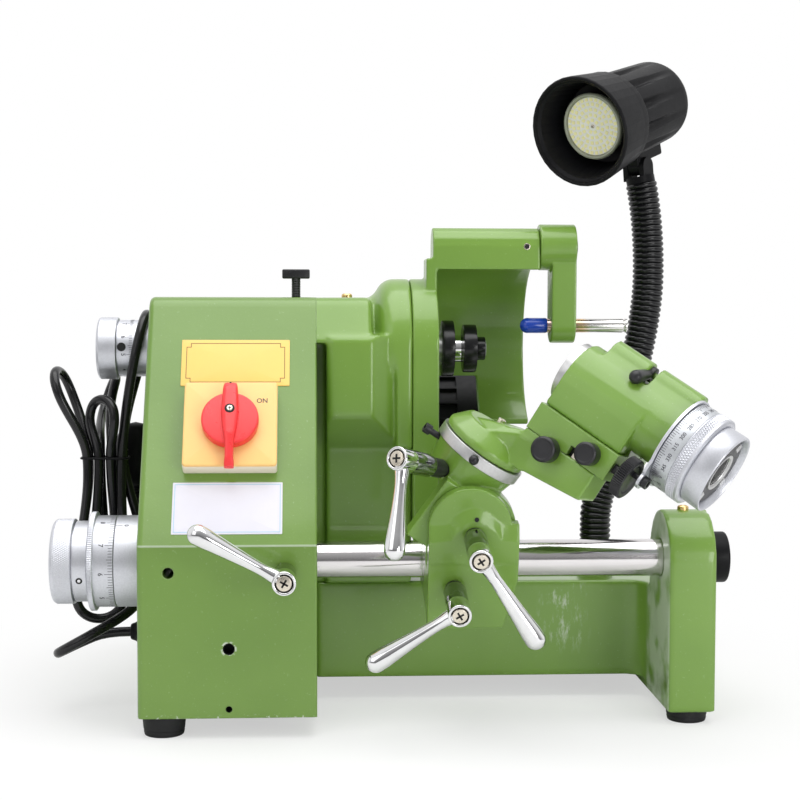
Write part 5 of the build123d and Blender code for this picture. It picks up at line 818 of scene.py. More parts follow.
class GrinderSwitch(bpy.types.PropertyGroup):
    """Switch and plates."""

    size: length_of("Plate size", 64.0, "Switch plate's side")
    disc_radius: length_of("Disc radius", 19.5, "Red disc")
    disc_height: length_of("Disc height", 8.0, "Red disc")
    grip_length: length_of("Grip length", 62.0, "Red grip from end to end")
    grip_height: length_of("Grip height", 13.0, "Red grip above the plate")
    grip_drop: length_of("Grip drop", 4.5, "Middle of the grip below the turning axis")
    name_rise: length_of("Name plate rise", 54.0, "Its middle, up the slope from the switch")
    name_width: length_of("Name plate width", 76.0, "Name plate from left to right")
    name_height: length_of("Name plate height", 37.0, "Name plate up the slope")
    label_drop: length_of("Label drop", 57.9, "Its middle, down the slope from the switch")
    label_width: length_of("Label width", 74.0, "Label from left to right")
    label_height: length_of("Label height", 38.0, "Label up the slope")


class GrinderLamp(bpy.types.PropertyGroup):
    """Work lamp."""

    crest_radius: length_of("Hose crest", 12.0, "Hose ribs")
    valley_radius: length_of("Hose valley", 10.6, "Between the hose ribs")
    rib_pitch: length_of("Hose pitch", 4.1, "Spacing of the hose ribs")
    shade_radius: length_of("Shade radius", 41.0, "Front of the shade")
    shade_rear: length_of("Shade rear", 37.0, "Rear of the shade")
    shade_length: length_of("Shade length", 40.0, "Shade along its axis")
    barrel_radius: length_of("Barrel radius", 34.0, "Barrel behind the shade")
    barrel_rear: length_of("Barrel rear", 31.0, "Barrel near its rounded end")
    barrel_length: length_of("Barrel length", 80.0, "Barrel along its axis")
    flutes: IntProperty(name="Flutes", description="Flutes round the barrel", default=12)
    flute_depth: length_of("Flute depth", 4.0, "Deepest place of a flute")
    bulb_radius: length_of("Bulb radius", 25.0, "Reflector bulb")
    bulb_setback: length_of("Bulb setback", 18.0, "Bulb behind the shade's rim")
    axis_rise: length_of("Axis rise", 43.0, "Lamp axis above its hinge")
    front: length_of("Front", 72.0, "Shade's rim ahead of the hinge")


GROUPS = {
    "grinder_stage": GrinderStage,
    "grinder_colours": GrinderColours,
    "grinder_cord": GrinderCord,
    "grinder_knobs": GrinderKnobs,
    "grinder_levers": GrinderLevers,
    "grinder_head": GrinderHead,
    "grinder_switch": GrinderSwitch,
    "grinder_lamp": GrinderLamp,
}


def facing(place, right, ahead):
    """The matrix of a camera or lamp at a place that looks ahead, with its sideways axis to the right."""
    turn = Matrix((right, np.cross(right, ahead), -ahead)).transposed().to_4x4()
    turn.translation = place
    return turn


class GRINDER_OT_stage(bpy.types.Operator):
    """Camera, pale floor, softboxes and white surroundings"""

    bl_idname = "grinder.stage"
    bl_label = "Stage"

    def execute(self, context):
        scene = context.scene
        settings = scene.grinder_stage
        scene.view_settings.view_transform = "Standard"
        self.camera(scene, settings)
        self.floor(scene)
        top = (0.05, -0.2, 1.5), (0.0, 0.05, 0.2), 1.5, settings.top_light
        left = (-1.1, -1.3, 0.95), (0.0, 0.0, 0.2), 1.1, settings.left_light
        right = (0.75, -1.2, 0.3), (0.15, -0.05, 0.15), 0.5, settings.right_light
        for name, box in (("top_softbox", top), ("left_softbox", left), ("right_softbox", right)):
            self.softbox(scene, name, *box)
        self.surroundings(scene, settings.room_light)
        return {"FINISHED"}

    def camera(self, scene, settings):
        """Heading from yaw and pitch, then the sideways axis rolled about it."""
        yaw, pitch, roll = settings.yaw, settings.pitch, settings.roll
        ahead = unit((math.sin(yaw), math.cos(yaw), math.tan(pitch)))
        level = np.array((math.cos(yaw), -math.sin(yaw), 0.0))
        right = level * math.cos(roll) + np.cross(level, ahead) * math.sin(roll)
        data = bpy.data.cameras.new("photo_camera")
        data.lens = settings.lens
        data.sensor_width = 36.0
        data.clip_start = 0.01
        camera = bpy.data.objects.new("photo_camera", data)
        spot = settings.camera_x, settings.camera_y, settings.camera_z
        camera.matrix_world = facing(spot, right, ahead)
        scene.collection.objects.link(camera)
        scene.camera = camera

    def floor(self, scene):
        """A wide pale floor: about half of its shadow shows near the machine, and none further off."""
        half, whitened = 4.0, 0.55
        corners = [(-half, -half, 0), (half, -half, 0), (half, half, 0), (-half, half, 0)]
        mesh = bpy.data.meshes.new("floor")
        mesh.from_pydata(corners, [], [(0, 1, 2, 3)])
        pale = Finish("pale_floor", base_color=(0.93, 0.93, 0.93), roughness=0.9, specular_ior_level=0.1)
        seen = pale.node("ShaderNodeLightPath", output="Is Camera Ray")
        x, y = pale.axis("X"), pale.axis("Y")
        away = pale.ramp(x * x + y * y, SHADOW_FULL**2, SHADOW_NONE**2)
        lit = Field(pale.tree, pale.shader.outputs[0])
        white = pale.node("ShaderNodeEmission")
        share = seen * (whitened + away * (1 - whitened))
        blend = pale.node("ShaderNodeMixShader", inputs={0: share, 1: lit, 2: white})
        feed(pale.tree, pale.tree.nodes["Material Output"].inputs["Surface"], blend)
        mesh.materials.append(FINISHES["pale_floor"])
        floor = bpy.data.objects.new("floor", mesh)
        scene.collection.objects.link(floor)

    def softbox(self, scene, name, place, target, size, power):
        """A square lamp turned towards a target."""
        data = bpy.data.lights.new(name, "AREA")
        data.size = size
        data.energy = power
        lamp = bpy.data.objects.new(name, data)
        beam = unit(np.array(target) - np.array(place))
        lamp.matrix_world = facing(place, unit(np.cross(beam, UP + 0.01 * FRONT)), beam)
        scene.collection.objects.link(lamp)

    def surroundings(self, scene, strength):
        """White for camera, mirror and glass rays, with a dim operator's side, and a soft even light."""
        world = bpy.data.worlds.new("studio")
        world.use_nodes = True
        scene.world = world
        tree = world.node_tree
        back = tree.nodes["Background"]
        path = tree.nodes.new("ShaderNodeLightPath")
        view = tree.nodes.new("ShaderNodeTexCoord")
        split = tree.nodes.new("ShaderNodeSeparateXYZ")
        tree.links.new(view.outputs["Generated"], split.inputs[0])
        kinds = "Camera", "Glossy", "Transmission"
        camera, glossy, clear = (Field(tree, path.outputs[f"Is {kind} Ray"]) for kind in kinds)
        depth = Field(tree, split.outputs["Y"])
        height = Field(tree, split.outputs["Z"])
        steepness, dimming, sky = 1.6, 0.84, 0.5
        operator_side = ((0 - depth) * steepness).at_most(1.0).at_least(0.0)
        mirror = (1 - operator_side * dimming + height.at_least(0.0) * sky).at_most(1.0)
        direct = camera.at_least(clear)
        other = (1 - direct) * (1 - glossy) * strength
        feed(tree, back.inputs["Strength"], direct + (1 - direct) * glossy * mirror + other)
        back.inputs["Color"].default_value = (1.0, 1.0, 1.0, 1.0)


class GRINDER_OT_finishes(bpy.types.Operator):
    """Every finish on the machine"""

    bl_idname = "grinder.finishes"
    bl_label = "Finishes"

    def execute(self, context):
        colours = context.scene.grinder_colours
        enamel("enamel", colours, edge=1.6, peel=0.16)
        # The column's enamel: a depth of 0.86 darkens it as painted shade, and its rule adds wear and a
        # painted highlight along the crease
        enamel("enamel_column", colours, edge=1.6, peel=0.2, wear_and_highlight=column_wear, depth=0.86)
        enamel("enamel_cast", colours, peel=0.12)
        enamel("enamel_bed", colours, peel=0.14, wear_and_highlight=bed_wear)
        metal("ground_steel", (0.77, 0.745, 0.75), 0.09, 0.18, 260.0, (0.06, 1.0, 1.0), 0.02)
        metal("satin_steel", (0.60, 0.60, 0.60), 0.3, 0.45, 500.0, relief=0.06, edge=0.3)
        metal("chrome", (0.80, 0.80, 0.81), 0.04, 0.09, 90.0, relief=0.015)
        # Chrome darkened as painted shade, for the lower part of the lever hubs
        metal("shaded_chrome", (0.34, 0.35, 0.36), 0.05, 0.1, 90.0, relief=0.015)
        metal("nickel", (0.72, 0.66, 0.56), 0.2, 0.32, 400.0, relief=0.03)
        metal("satin_aluminium", (0.66, 0.67, 0.715), 0.36, 0.5, 900.0, relief=0.1)
        metal("dial_aluminium", (0.60, 0.62, 0.65), 0.34, 0.46, 900.0, relief=0.06)
        metal("brass", (0.78, 0.55, 0.24), 0.2, 0.35, 300.0)
        heat_tinted_steel()
        moulded("black_oxide", (0.012, 0.012, 0.014), 0.3, 0.42, 350.0, 0.03, 0.3, 0.1, shine=0.4)
        # Near-black metal as painted shade: for the motor and pulleys deep inside, and the threads in the
        # column's holes
        moulded("dark_metal", (0.004, 0.004, 0.005), 0.4, 0.55, 250.0, 0.12, 0.6, 0.05, shine=0.15)
        moulded("black_plastic", (0.007, 0.007, 0.008), 0.36, 0.5, 700.0, 0.06, shine=0.12)
        moulded("gloss_black", (0.006, 0.006, 0.007), 0.2, 0.28, 300.0, 0.004, shine=0.4)
        moulded("black_rubber", (0.012, 0.012, 0.013), 0.5, 0.7, 400.0, 0.15, 0.0, 0.4, shine=0.3)
        moulded("blue_cap", (0.012, 0.05, 0.36), 0.12, 0.2, 200.0, 0.01)
        moulded("red_grip", tuple(colours.switch_grip), 0.25, 0.36, 250.0, 0.03)
        moulded("switch_plate", tuple(colours.switch_plate), 0.28, 0.4, 250.0, 0.03)
        moulded("switch_side", (0.80, 0.72, 0.60), 0.4, 0.5, 250.0, 0.03)
        moulded("name_plate", tuple(colours.name_plate), 0.3, 0.42, 350.0, 0.04)
        moulded("plate_line", (0.20, 0.11, 0.03), 0.4, 0.5)
        moulded("label_plate", (0.70, 0.69, 0.76), 0.35, 0.45, 300.0, 0.03)
        moulded("label_line", (0.40, 0.58, 0.72), 0.4, 0.5)
        moulded("ink", (0.035, 0.035, 0.04), 0.5, 0.6)
        moulded("faint_ink", (0.05, 0.05, 0.06), 0.5, 0.6)
        # Near-black for the insides of holes, slots, sockets, wells and notches: painted shade where each
        # recess is dark
        moulded("hole", (0.004, 0.004, 0.004), 0.7, 0.8)
        moulded("lamp_board", (0.78, 0.79, 0.76), 0.4, 0.5)
        moulded("lamp_diode", (0.86, 0.82, 0.42), 0.3, 0.4)
        moulded("bulb_glass", (0.25, 0.27, 0.20), 0.08, 0.14, coat=1.0)
        return {"FINISHED"}


def hank_stations():
    """Points and headings along the hank: strands through the tie, half turns above and below it."""

    def strand(column, row, *heading):
        spot = WAIST + np.array(((column - 1.5) * WAIST_PITCH, (row - 0.5) * WAIST_PITCH, 0.0))
        return [(spot, unit(heading))]

    def turn(centre, axis, width, radius):
        along = unit(axis)
        side = np.array(width) - along * np.dot(width, along)
        side = unit(side) * radius
        return [(np.array(centre) - side, along), (np.array(centre) + side, -along)]

    return [
        (np.array(CORD_ROUTE[-1]), UP),
        *strand(3, 1, -0.06, 0.1, 1),
        *turn(*DRUM_TURN),
        *strand(3, 0, -0.05, 0, -1),
        *turn(*LOW_FRONT_TURN),
        *strand(0, 0, -0.08, 0, 1),
        *turn(*LEFT_TURN),
        *strand(0, 1, 0.06, 0, -1),
        *turn(*LOW_BACK_TURN),
        *strand(2, 1, 0, 0.08, 1),
        *turn(*HIDDEN_TURN),
        *strand(1, 1, 0, -0.05, -1),
        *turn(*LOW_INNER_TURN),
        *strand(1, 0, -0.02, 0, 1),
        *turn(*FRONT_TURN),
        *strand(2, 0, 0, 0.02, -1),
        *turn(*LOW_PLUG_TURN),
        (np.array(HANK_END), UP),
    ]


def hank_points():
    """The hank's turns: between two stations a cubic that leaves and arrives along their headings,
    with tangents as long as the chord divided by the squared cosine of a quarter of the turn."""
    points = []
    stations = hank_stations()
    t = np.linspace(0, 1, HANK_STEPS, endpoint=False)[:, None]
    for (start, heading), (end, arrival) in zip(stations, stations[1:]):
        chord = np.linalg.norm(end - start)
        bend = math.acos(max(-1.0, min(1.0, float(np.dot(heading, arrival)))))
        reach = chord / math.cos(bend / 4) ** 2
        ease = t * t * (3 - 2 * t)
        leave = t * (1 - t) ** 2 * reach * heading
        arrive = t * t * (t - 1) * reach * arrival
        points.append(start + (end - start) * ease + leave + arrive)
    points.append(stations[-1][0][None])
    return np.concatenate(points)


class GRINDER_OT_mains_lead(bpy.types.Operator):
    """Mains cord with its tied hank, gland, tie and plug"""

    bl_idname = "grinder.mains_lead"
    bl_label = "Mains lead"

    def execute(self, context):
        settings = context.scene.grinder_cord
        cord = self.cord(context.scene, settings)
        plug = self.plug(sizes(settings))
        gland = self.gland()
        paint_nodes("black_plastic", "cord_tie")
        return {"FINISHED"}

    def cord(self, scene, settings):
        """One smooth spline on the route and the hank's turns."""
        route = np.concatenate([np.array(CORD_ROUTE[:-1]), hank_points()])
        curve = smooth_curve("mains_cord", route, 4)
        curve.bevel_depth = settings.diameter / 2
        curve.bevel_resolution = 5
        curve.use_fill_caps = True
        curve.materials.append(FINISHES["gloss_black"])
        cord = bpy.data.objects.new("mains_cord", curve)
        scene.collection.objects.link(cord)
        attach(cord, "root")
        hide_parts("cord_run", "cord_hank")
        return cord

    def plug(self, size):
        """A domed body with |z|^2.5 + r^2.5 = 1, a ribbed strain relief and two pins to the back."""
        low, high = node_box("mains_plug")
        end = np.array(HANK_END) / MM
        form = Form("black_plastic")
        relief, lap = 22.0, 2.0
        thick = size.diameter / 2
        along = np.linspace(0, relief + lap, 80)
        taper = thick + 1.0 + 2.0 * along / relief
        ribs = 0.55 * np.cos(2 * math.pi * along / size.rib_pitch)
        stem = np.stack([along, taper + ribs], axis=-1)
        form.lathe(Place(end, -FRONT, UP), [(0, 0), (0, thick), *stem, (relief + lap, 0)], 32)
        face = Place((end[0], end[1], (end[2] + relief + high[2]) / 2), LEFT, -FRONT)
        half = np.array(((high[0] - low[0]) / 2 + 3.0, 14.0, (high[2] - end[2] - relief) / 2 + lap))
        rise = np.linspace(-1, 1, 33)[:, None]
        girth = np.maximum(0, 1 - np.abs(rise) ** 2.5) ** 0.4
        turn = np.linspace(0, 2 * math.pi, 48, endpoint=False)
        body = np.stack([girth * np.cos(turn), girth * np.sin(turn), rise + 0 * turn], axis=-1) * half
        form.loft(Place(face.origin + (-2.0, 0, 0), -LEFT, UP), body)
        for side in (-1, 1):
            form.rod(face.moved(y=9.5 * side), 13.5, 32, 2.4, 24, "nickel", 1.0)
        return form.piece("mains_plug_body", "root", ["mains_plug"])

    def gland(self):
        """A domed gland with a stepped nose."""
        low, high = node_box("cable_gland")
        middle = (low + high) / 2
        place = Place((high[0], middle[1], middle[2]), FRONT, LEFT)
        reach = high[0] - low[0]
        form = Form("black_plastic")
        dome = [(0, 0), (0, 9), (6, 9), (9.5, 8.2), (11.5, 6.6)]
        nose = [(reach - 1, 5.9), (reach, 5.0), (reach, 0)]
        form.lathe(place, soften([*dome, *nose], 1.2), 48)
        return form.piece("cable_gland_dome", "root", ["cable_gland"])


def cast(name, body, voxel, relax, finish, shift=None, filling=None):
    """A casting as a copy of its node, with any filling forms: merged, rebuilt on a grid of small cubes
    and relaxed, so that its edges round over, then thinned where it is flat. A shift moves the points
    at its left end."""
    mesh = NODES[name].data.copy()
    work = bmesh.new()
    work.from_mesh(mesh)
    if filling is not None:
        extra = filling.mesh("filling")
        work.from_mesh(extra)
        bpy.data.meshes.remove(extra)
    bmesh.ops.remove_doubles(work, verts=work.verts, dist=1e-5)
    work.to_mesh(mesh)
    work.free()
    if shift is not None:
        points = mesh_points(mesh)
        left = points[:, 0] < points[:, 0].min() + 0.01 * MM
        points[left] += np.array(shift) * MM
        mesh.vertices.foreach_set("co", points.ravel())
    rough = bpy.data.objects.new("rough_casting", mesh)
    bpy.context.scene.collection.objects.link(rough)
    remesh = rough.modifiers.new("remesh", "REMESH")
    remesh.mode = "VOXEL"
    remesh.voxel_size = voxel * MM
    smooth = rough.modifiers.new("smooth", "SMOOTH")
    smooth.factor = 0.5
    smooth.iterations = relax
    decimate = rough.modifiers.new("decimate", "DECIMATE")
    decimate.ratio = KEPT_FACES
    ready = rough.evaluated_get(bpy.context.evaluated_depsgraph_get())
    made = bpy.data.meshes.new_from_object(ready)
    made.name = name + "_cast"
    made.materials.clear()
    bpy.data.objects.remove(rough)
    return settle(made, name + "_cast", body, [finish], [name], 60.0)


class GRINDER_OT_castings(bpy.types.Operator):
    """Enamelled castings with rounded edges, and the small screws and holes in them"""

    bl_idname = "grinder.castings"
    bl_label = "Castings"

    def execute(self, context):
        cast("bed_casting", "root", 1.8, 5, "enamel_bed", filling=self.skirt())
        cast("headstock_casting", "root", 1.2, 14, "enamel_cast", (-6.0, 0.2, -0.2))
        cast("wheel_guard", "root", 1.0, 3, "enamel_cast")
        cast("dresser_arm", "dresser", 0.8, 7, "enamel_cast")
        cast("saddle_body", "saddle", 0.8, 2, "enamel_cast", filling=self.apron())
        cast("tilt_block", "tilt", 0.9, 5, "enamel_cast")
        cast("swivel_arm", "arm", 0.8, 16, "enamel_cast", filling=self.arm_web())
        cast("work_head", "head", 0.9, 6, "enamel_cast", filling=self.head_web())
        self.arm_screws()
        self.hump_hole()
        paint_nodes("enamel", "dovetail_block", "motor_mount", "belt_cover")
        paint_nodes("enamel_column", "column_casting")
        self.tapped_holes()
        return {"FINISHED"}

    def skirt(self):
        """The end bracket's lower rim, which hides the top of its feet."""
        low, high = node_box("bed_casting")
        lap = 4.0
        start = high[0] - BRACKET_THICKNESS, low[1], low[2] - SKIRT_DROP
        form = Form()
        form.brick(Place((0, 0, 0), -LEFT, UP), start, (high[0], high[1], low[2] + lap))
        return form

    def arm_web(self):
        """The web that fairs the arm into its dome: sections with sloping flanks and a flat top, which
        narrow and rise along the arm."""
        back, floor, crest, slope = 18, 3, -12, 0.7
        sections = [(-14, -23, 14.5), (0, -23, 20.0), (10, -20, 23.2), (22, -13, 24.6), (36, -12, 26.0)]
        rings = []
        for x, front, top in sections:
            flank = top - slope * (crest - front)
            outline = [(front, floor), (back, floor), (back, top), (crest, top), (front, flank)]
            rings.append([(x, y, z) for y, z in outline])
        form = Form()
        form.loft(arm_place(), np.array(rings, float))
        return form

    def apron(self):
        """The saddle's apron in its leaning plane: it slopes from an upper line on the recessed plate, a
        shoulder with a cosine hump, to a lower line on the front, a ledge with a round arch."""
        left, right, foot, middle = -3.4, 57.4, 18.0, 28.3
        across = np.linspace(left, right, 61)
        hump = 0.5 + 0.5 * np.cos(math.pi * np.clip((across - middle) / 22.0, -1, 1))
        upper = 44.2 + 11.0 * hump**0.8
        lower = 33.3 + 12.0 * np.sqrt(np.maximum(0, 1 - ((across - middle) / 16.4) ** 2))
        rings = []
        for line, depth in ((upper, 45.0), (upper, 48.2), (lower, 52.4)):
            x = np.concatenate([across, [right, left]])
            y = np.concatenate([line, [foot, foot]])
            rings.append(np.stack([x, y, depth + 0 * x], axis=-1))
        form = Form()
        form.loft(saddle_place(), np.array(rings))
        return form

    def head_web(self):
        """What fairs the work head's tube into its base and into its two clamp ribs."""
        flank = [(-8, 58), (-8, 69.5), (-7.1, 77), (-4.6, 84.5), (2, 84.5), (2, 58)]
        rib = [(4.0, 94.0), (12.4, 102.5), (22.0, 99.0), (14.0, 90.0)]
        form = Form()
        for outline, start, end in ((flank, 24.0, 86.0), (rib, 35.0, 65.0), (rib, 72.0, 107.0)):
            form.loft(arm_place(), np.array([[(x, y, z) for y, z in outline] for x in (start, end)]))
        return form

    def arm_screws(self):
        """The set screw on the arm with a dark socket, and the gib in the dovetail's notch in front of a dark
        brick: both dark parts are painted shade.
        """
        form = Form("nickel")
        arm = arm_place()
        spot = arm.moved(0.0, 3.0, 20.4)
        rim = [(-2, 0), (-2, 3.0), (2.0, 3.0), (2.0, 1.7), (1.2, 1.7), (1.2, 0)]
        form.lathe(spot, soften(rim, 0.3), 32)
        # Painted shade: a dark hexagon in the set screw's socket
        form.rod(spot, 1.15, 1.4, 1.6, 6, "hole")
        # Painted shade: a dark brick for the dovetail's notch, behind the gib
        form.brick(arm, (57.2, -7.0, 30.6), (64.8, -4.2, 37.4), "hole")
        form.brick(arm, (60.2, -9.6, 30.6), (63.6, -6.9, 36.0))
        return form.piece("arm_small_screws", "arm")

    def hump_hole(self):
        """The hole in the saddle's hump, drawn as a dark disc of painted shade."""
        form = Form("hole")
        form.rod(saddle_place().moved(28.2, 49.6, 51.5).aimed((0, 0.55, 0.85)), -1.5, 0.5, 1.5, 24)
        return form.piece("hump_hole", "saddle")

    def tapped_holes(self):
        """The threads of two holes in the column's front: cups with ridges, closed behind the wall, in
        near-black metal that paints the holes' shade.
        """
        start, end, lip, pitch = 0.2, COLUMN_WALL + 0.6, 0.8, 1.25
        along = np.linspace(start, COLUMN_WALL, 50)
        form = Form("dark_metal")
        for spot, radius in ((TAPPED_HOLE, TAPPED_RADIUS), (DRAIN_HOLE, DRAIN_RADIUS)):
            ridge = np.stack([along, 0.96 * radius - 0.1 * radius * triangle_wave(along / pitch)], axis=-1)
            cup = [(end, 0), (end, radius + lip), (start, radius + lip), *ridge, (COLUMN_WALL, 0)]
            form.lathe(Place(spot, -LEFT, -FRONT), cup, 48)
        return form.piece("column_threads", "root")


def saddle_place():
    """The saddle's leaning front: its origin on the bar's axis, X to the right, Z out to the operator."""
    point = joint_point("saddle_swing")
    return Place((0.0, *point[1:]), -LEFT, joint_axis("saddle_lever_turn"))


def arm_place():
    """The arm's frame: its middle on top of the ring, X outwards along the arm, Y away from the operator."""
    along = joint_axis("index_spin")
    return Place(joint_point("arm_swivel"), along, np.cross(along, -joint_axis("arm_knob_turn")))


class GRINDER_OT_knobs(bpy.types.Operator):
    """Graduated hand knobs, the guide bar and its end cap"""

    bl_idname = "grinder.knobs"
    bl_label = "Knobs and bar"

    def execute(self, context):
        size = sizes(context.scene.grinder_knobs)
        bar = Place((0, *joint_point("bar_feed_turn")[1:]), FRONT, LEFT)
        spindle = Place((0, *joint_point("infeed_turn")[1:]), FRONT, LEFT)
        self.sleeve(bar, size)
        self.dial(bar, size)
        self.feed_knob(bar, size)
        self.infeed_knob(spindle, size)
        self.end_cap(bar)
        paint_nodes("ground_steel", "guide_bar", "saddle_bush")
        return {"FINISHED"}

    def scale(self, form, place, radius, edge, depths, figure, first, size, letter):
        """Marks from an edge outwards, longest at each tenth and longer at each fifth, with figures."""
        turn = np.arange(size.divisions)
        reach = np.where(turn % 10 == 0, depths[0], np.where(turn % 5 == 0, depths[1], depths[2]))
        angles = first + turn * 360 / size.divisions
        form.ticks(place, radius, angles, edge, edge + reach, 0.36, "faint_ink")
        for number in range(10):
            form.figures(place, radius, str(number), letter, first + number * 36, figure, -1, "faint_ink")

    def sleeve(self, place, size):
        """The fixed sleeve with its zero mark."""
        left = -node_box("bar_feed_sleeve")[0][0]
        radius, mark = size.dial_radius, 58.0
        form = Form("satin_aluminium")
        form.rod(place, left - SLEEVE_LENGTH, left, radius, 128, edge=0.5)
        form.ticks(place, radius, np.array([mark]), left - 5.0, left - 0.2, 0.35, "faint_ink")
        form.figures(place, radius, "0", 4.0, mark, left - 7.5, -1, "faint_ink")
        return form.piece("bar_feed_sleeve_turned", "root", ["bar_feed_sleeve"])

    def dial(self, place, size):
        """The graduated ring with its thin knurled flange."""
        low, high = node_box("bar_feed_dial")
        right, left = -high[0], -low[0]
        step = left - size.flange_length
        radius, flange, bore = size.dial_radius, size.flange_radius, 20.0
        band = [(right, bore), (right, radius - 0.4), (right + 0.4, radius), (step, radius)]
        fine = [(height, flange) for height in np.linspace(step + 0.4, left - 0.7, 8)]
        edge = [(left - 0.6, flange), (left, flange - 0.8), (left, bore)]
        knurl = straight_knurl(144, 0.45, step + 0.3, left - 0.65)
        form = Form("satin_aluminium")
        form.lathe(place, [*band, (step, flange - 0.6), *fine, *edge], 720, wave=knurl)
        self.scale(form, place, radius, right + 0.3, (5.6, 4.2, 3.2), right + 8.6, 28.0 - 7 * 36, size, 4.6)
        return form.piece("bar_feed_dial_turned", "bar_feed", ["bar_feed_dial"])

    def feed_knob(self, place, size):
        """The lower knob: a finely knurled rim, an undercut and a neck with its set screw."""
        left = -node_box("bar_feed_knob")[0][0]
        right = left - size.rim_length
        dial, dish = -node_box("bar_feed_dial")[0][0], left - 0.6
        rim, neck = size.rim_radius, size.neck_radius
        stem = [(dial, 5.0), (dial, neck), (right - 0.9, neck)]
        undercut = [(right - 0.8, neck - 1.6), (right, neck - 1.6), (right, rim - 0.5)]
        band = [(height, rim) for height in np.linspace(right + 0.5, left - 3.0, 44)]
        face = [(left - 3.0, rim), (left - 0.8, rim - 1.2), (left, rim - 3.4), (dish, 8.0), (dish, 0)]
        knurl = diamond_knurl(150, 2.5, 0.28, right + 0.6, left - 2.6)
        form = Form("satin_aluminium")
        form.lathe(place, [*stem, *undercut, *band, *soften(face, 1.0)], 900, wave=knurl)
        spot = place.on_drum(neck, -20.0, (dial + right) / 2)
        # Painted shade: a dark disc for the set screw's hole, with the screw's end on it
        form.rod(spot, -0.5, 0.12, 2.3, 28, "hole")
        form.lathe(spot, [(0, 0), (0, 1.3), (0.2, 1.0), (0.25, 0)], 20, "chrome")
        return form.piece("bar_feed_knob_turned", "bar_feed", ["bar_feed_knob"])

    def infeed_knob(self, place, size):
        """The upper knob: a knurled rim on a graduated drum with one hole, drawn as a dark disc of painted
        shade.
        """
        left = -node_box("infeed_knob")[0][0]
        right = left - size.infeed_rim_length
        wall = -node_box("bar_feed_sleeve")[0][0] - SLEEVE_LENGTH + 0.3
        rim, drum, dish = size.infeed_rim_radius, size.drum_radius, left - 0.4
        stem = [(wall, 5.0), (wall, drum), (right - 0.8, drum)]
        undercut = [(right - 0.7, drum - 0.8), (right, drum - 0.8), (right + 0.2, rim - 0.6)]
        band = [(height, rim) for height in np.linspace(right + 0.8, left - 2.0, 40)]
        face = [(left - 2.0, rim), (left - 0.6, rim - 0.9), (left, rim - 2.6), (dish, 6.0), (dish, 0)]
        knurl = diamond_knurl(120, 2.4, 0.12, right + 1.0, left - 2.0)
        form = Form("satin_aluminium")
        form.lathe(place, [*stem, *undercut, *band, *soften(face, 0.8)], 720, wave=knurl)
        self.scale(form, place, drum, right - 11.6, (4.2, 3.2, 2.4), right - 5.0, 24.5 - 6 * 36, size, 4.4)
        # Painted shade: a dark disc for the hole in the drum
        form.rod(place.on_drum(drum, 4.0, right - 3.8), -0.6, 0.12, 3.2, 28, "hole")
        return form.piece("infeed_knob_turned", "infeed", ["infeed_knob"])

    def end_cap(self, place):
        """The black cap over the bar's right end, hollow so that the bar can slide into it."""
        low, high = node_box("bar_end_cap")
        radius = (high[2] - low[2]) / 2
        bore, floor = radius - 2.6, 3.6 - high[0]
        shell = soften([(-high[0], 0), (-high[0], radius), (-low[0], radius), (-low[0], bore)], 2.0)
        form = Form("black_plastic")
        form.lathe(place, [*shell, (floor, bore), (floor, 0)], 72)
        return form.piece("bar_end_cap_turned", "root", ["bar_end_cap"])


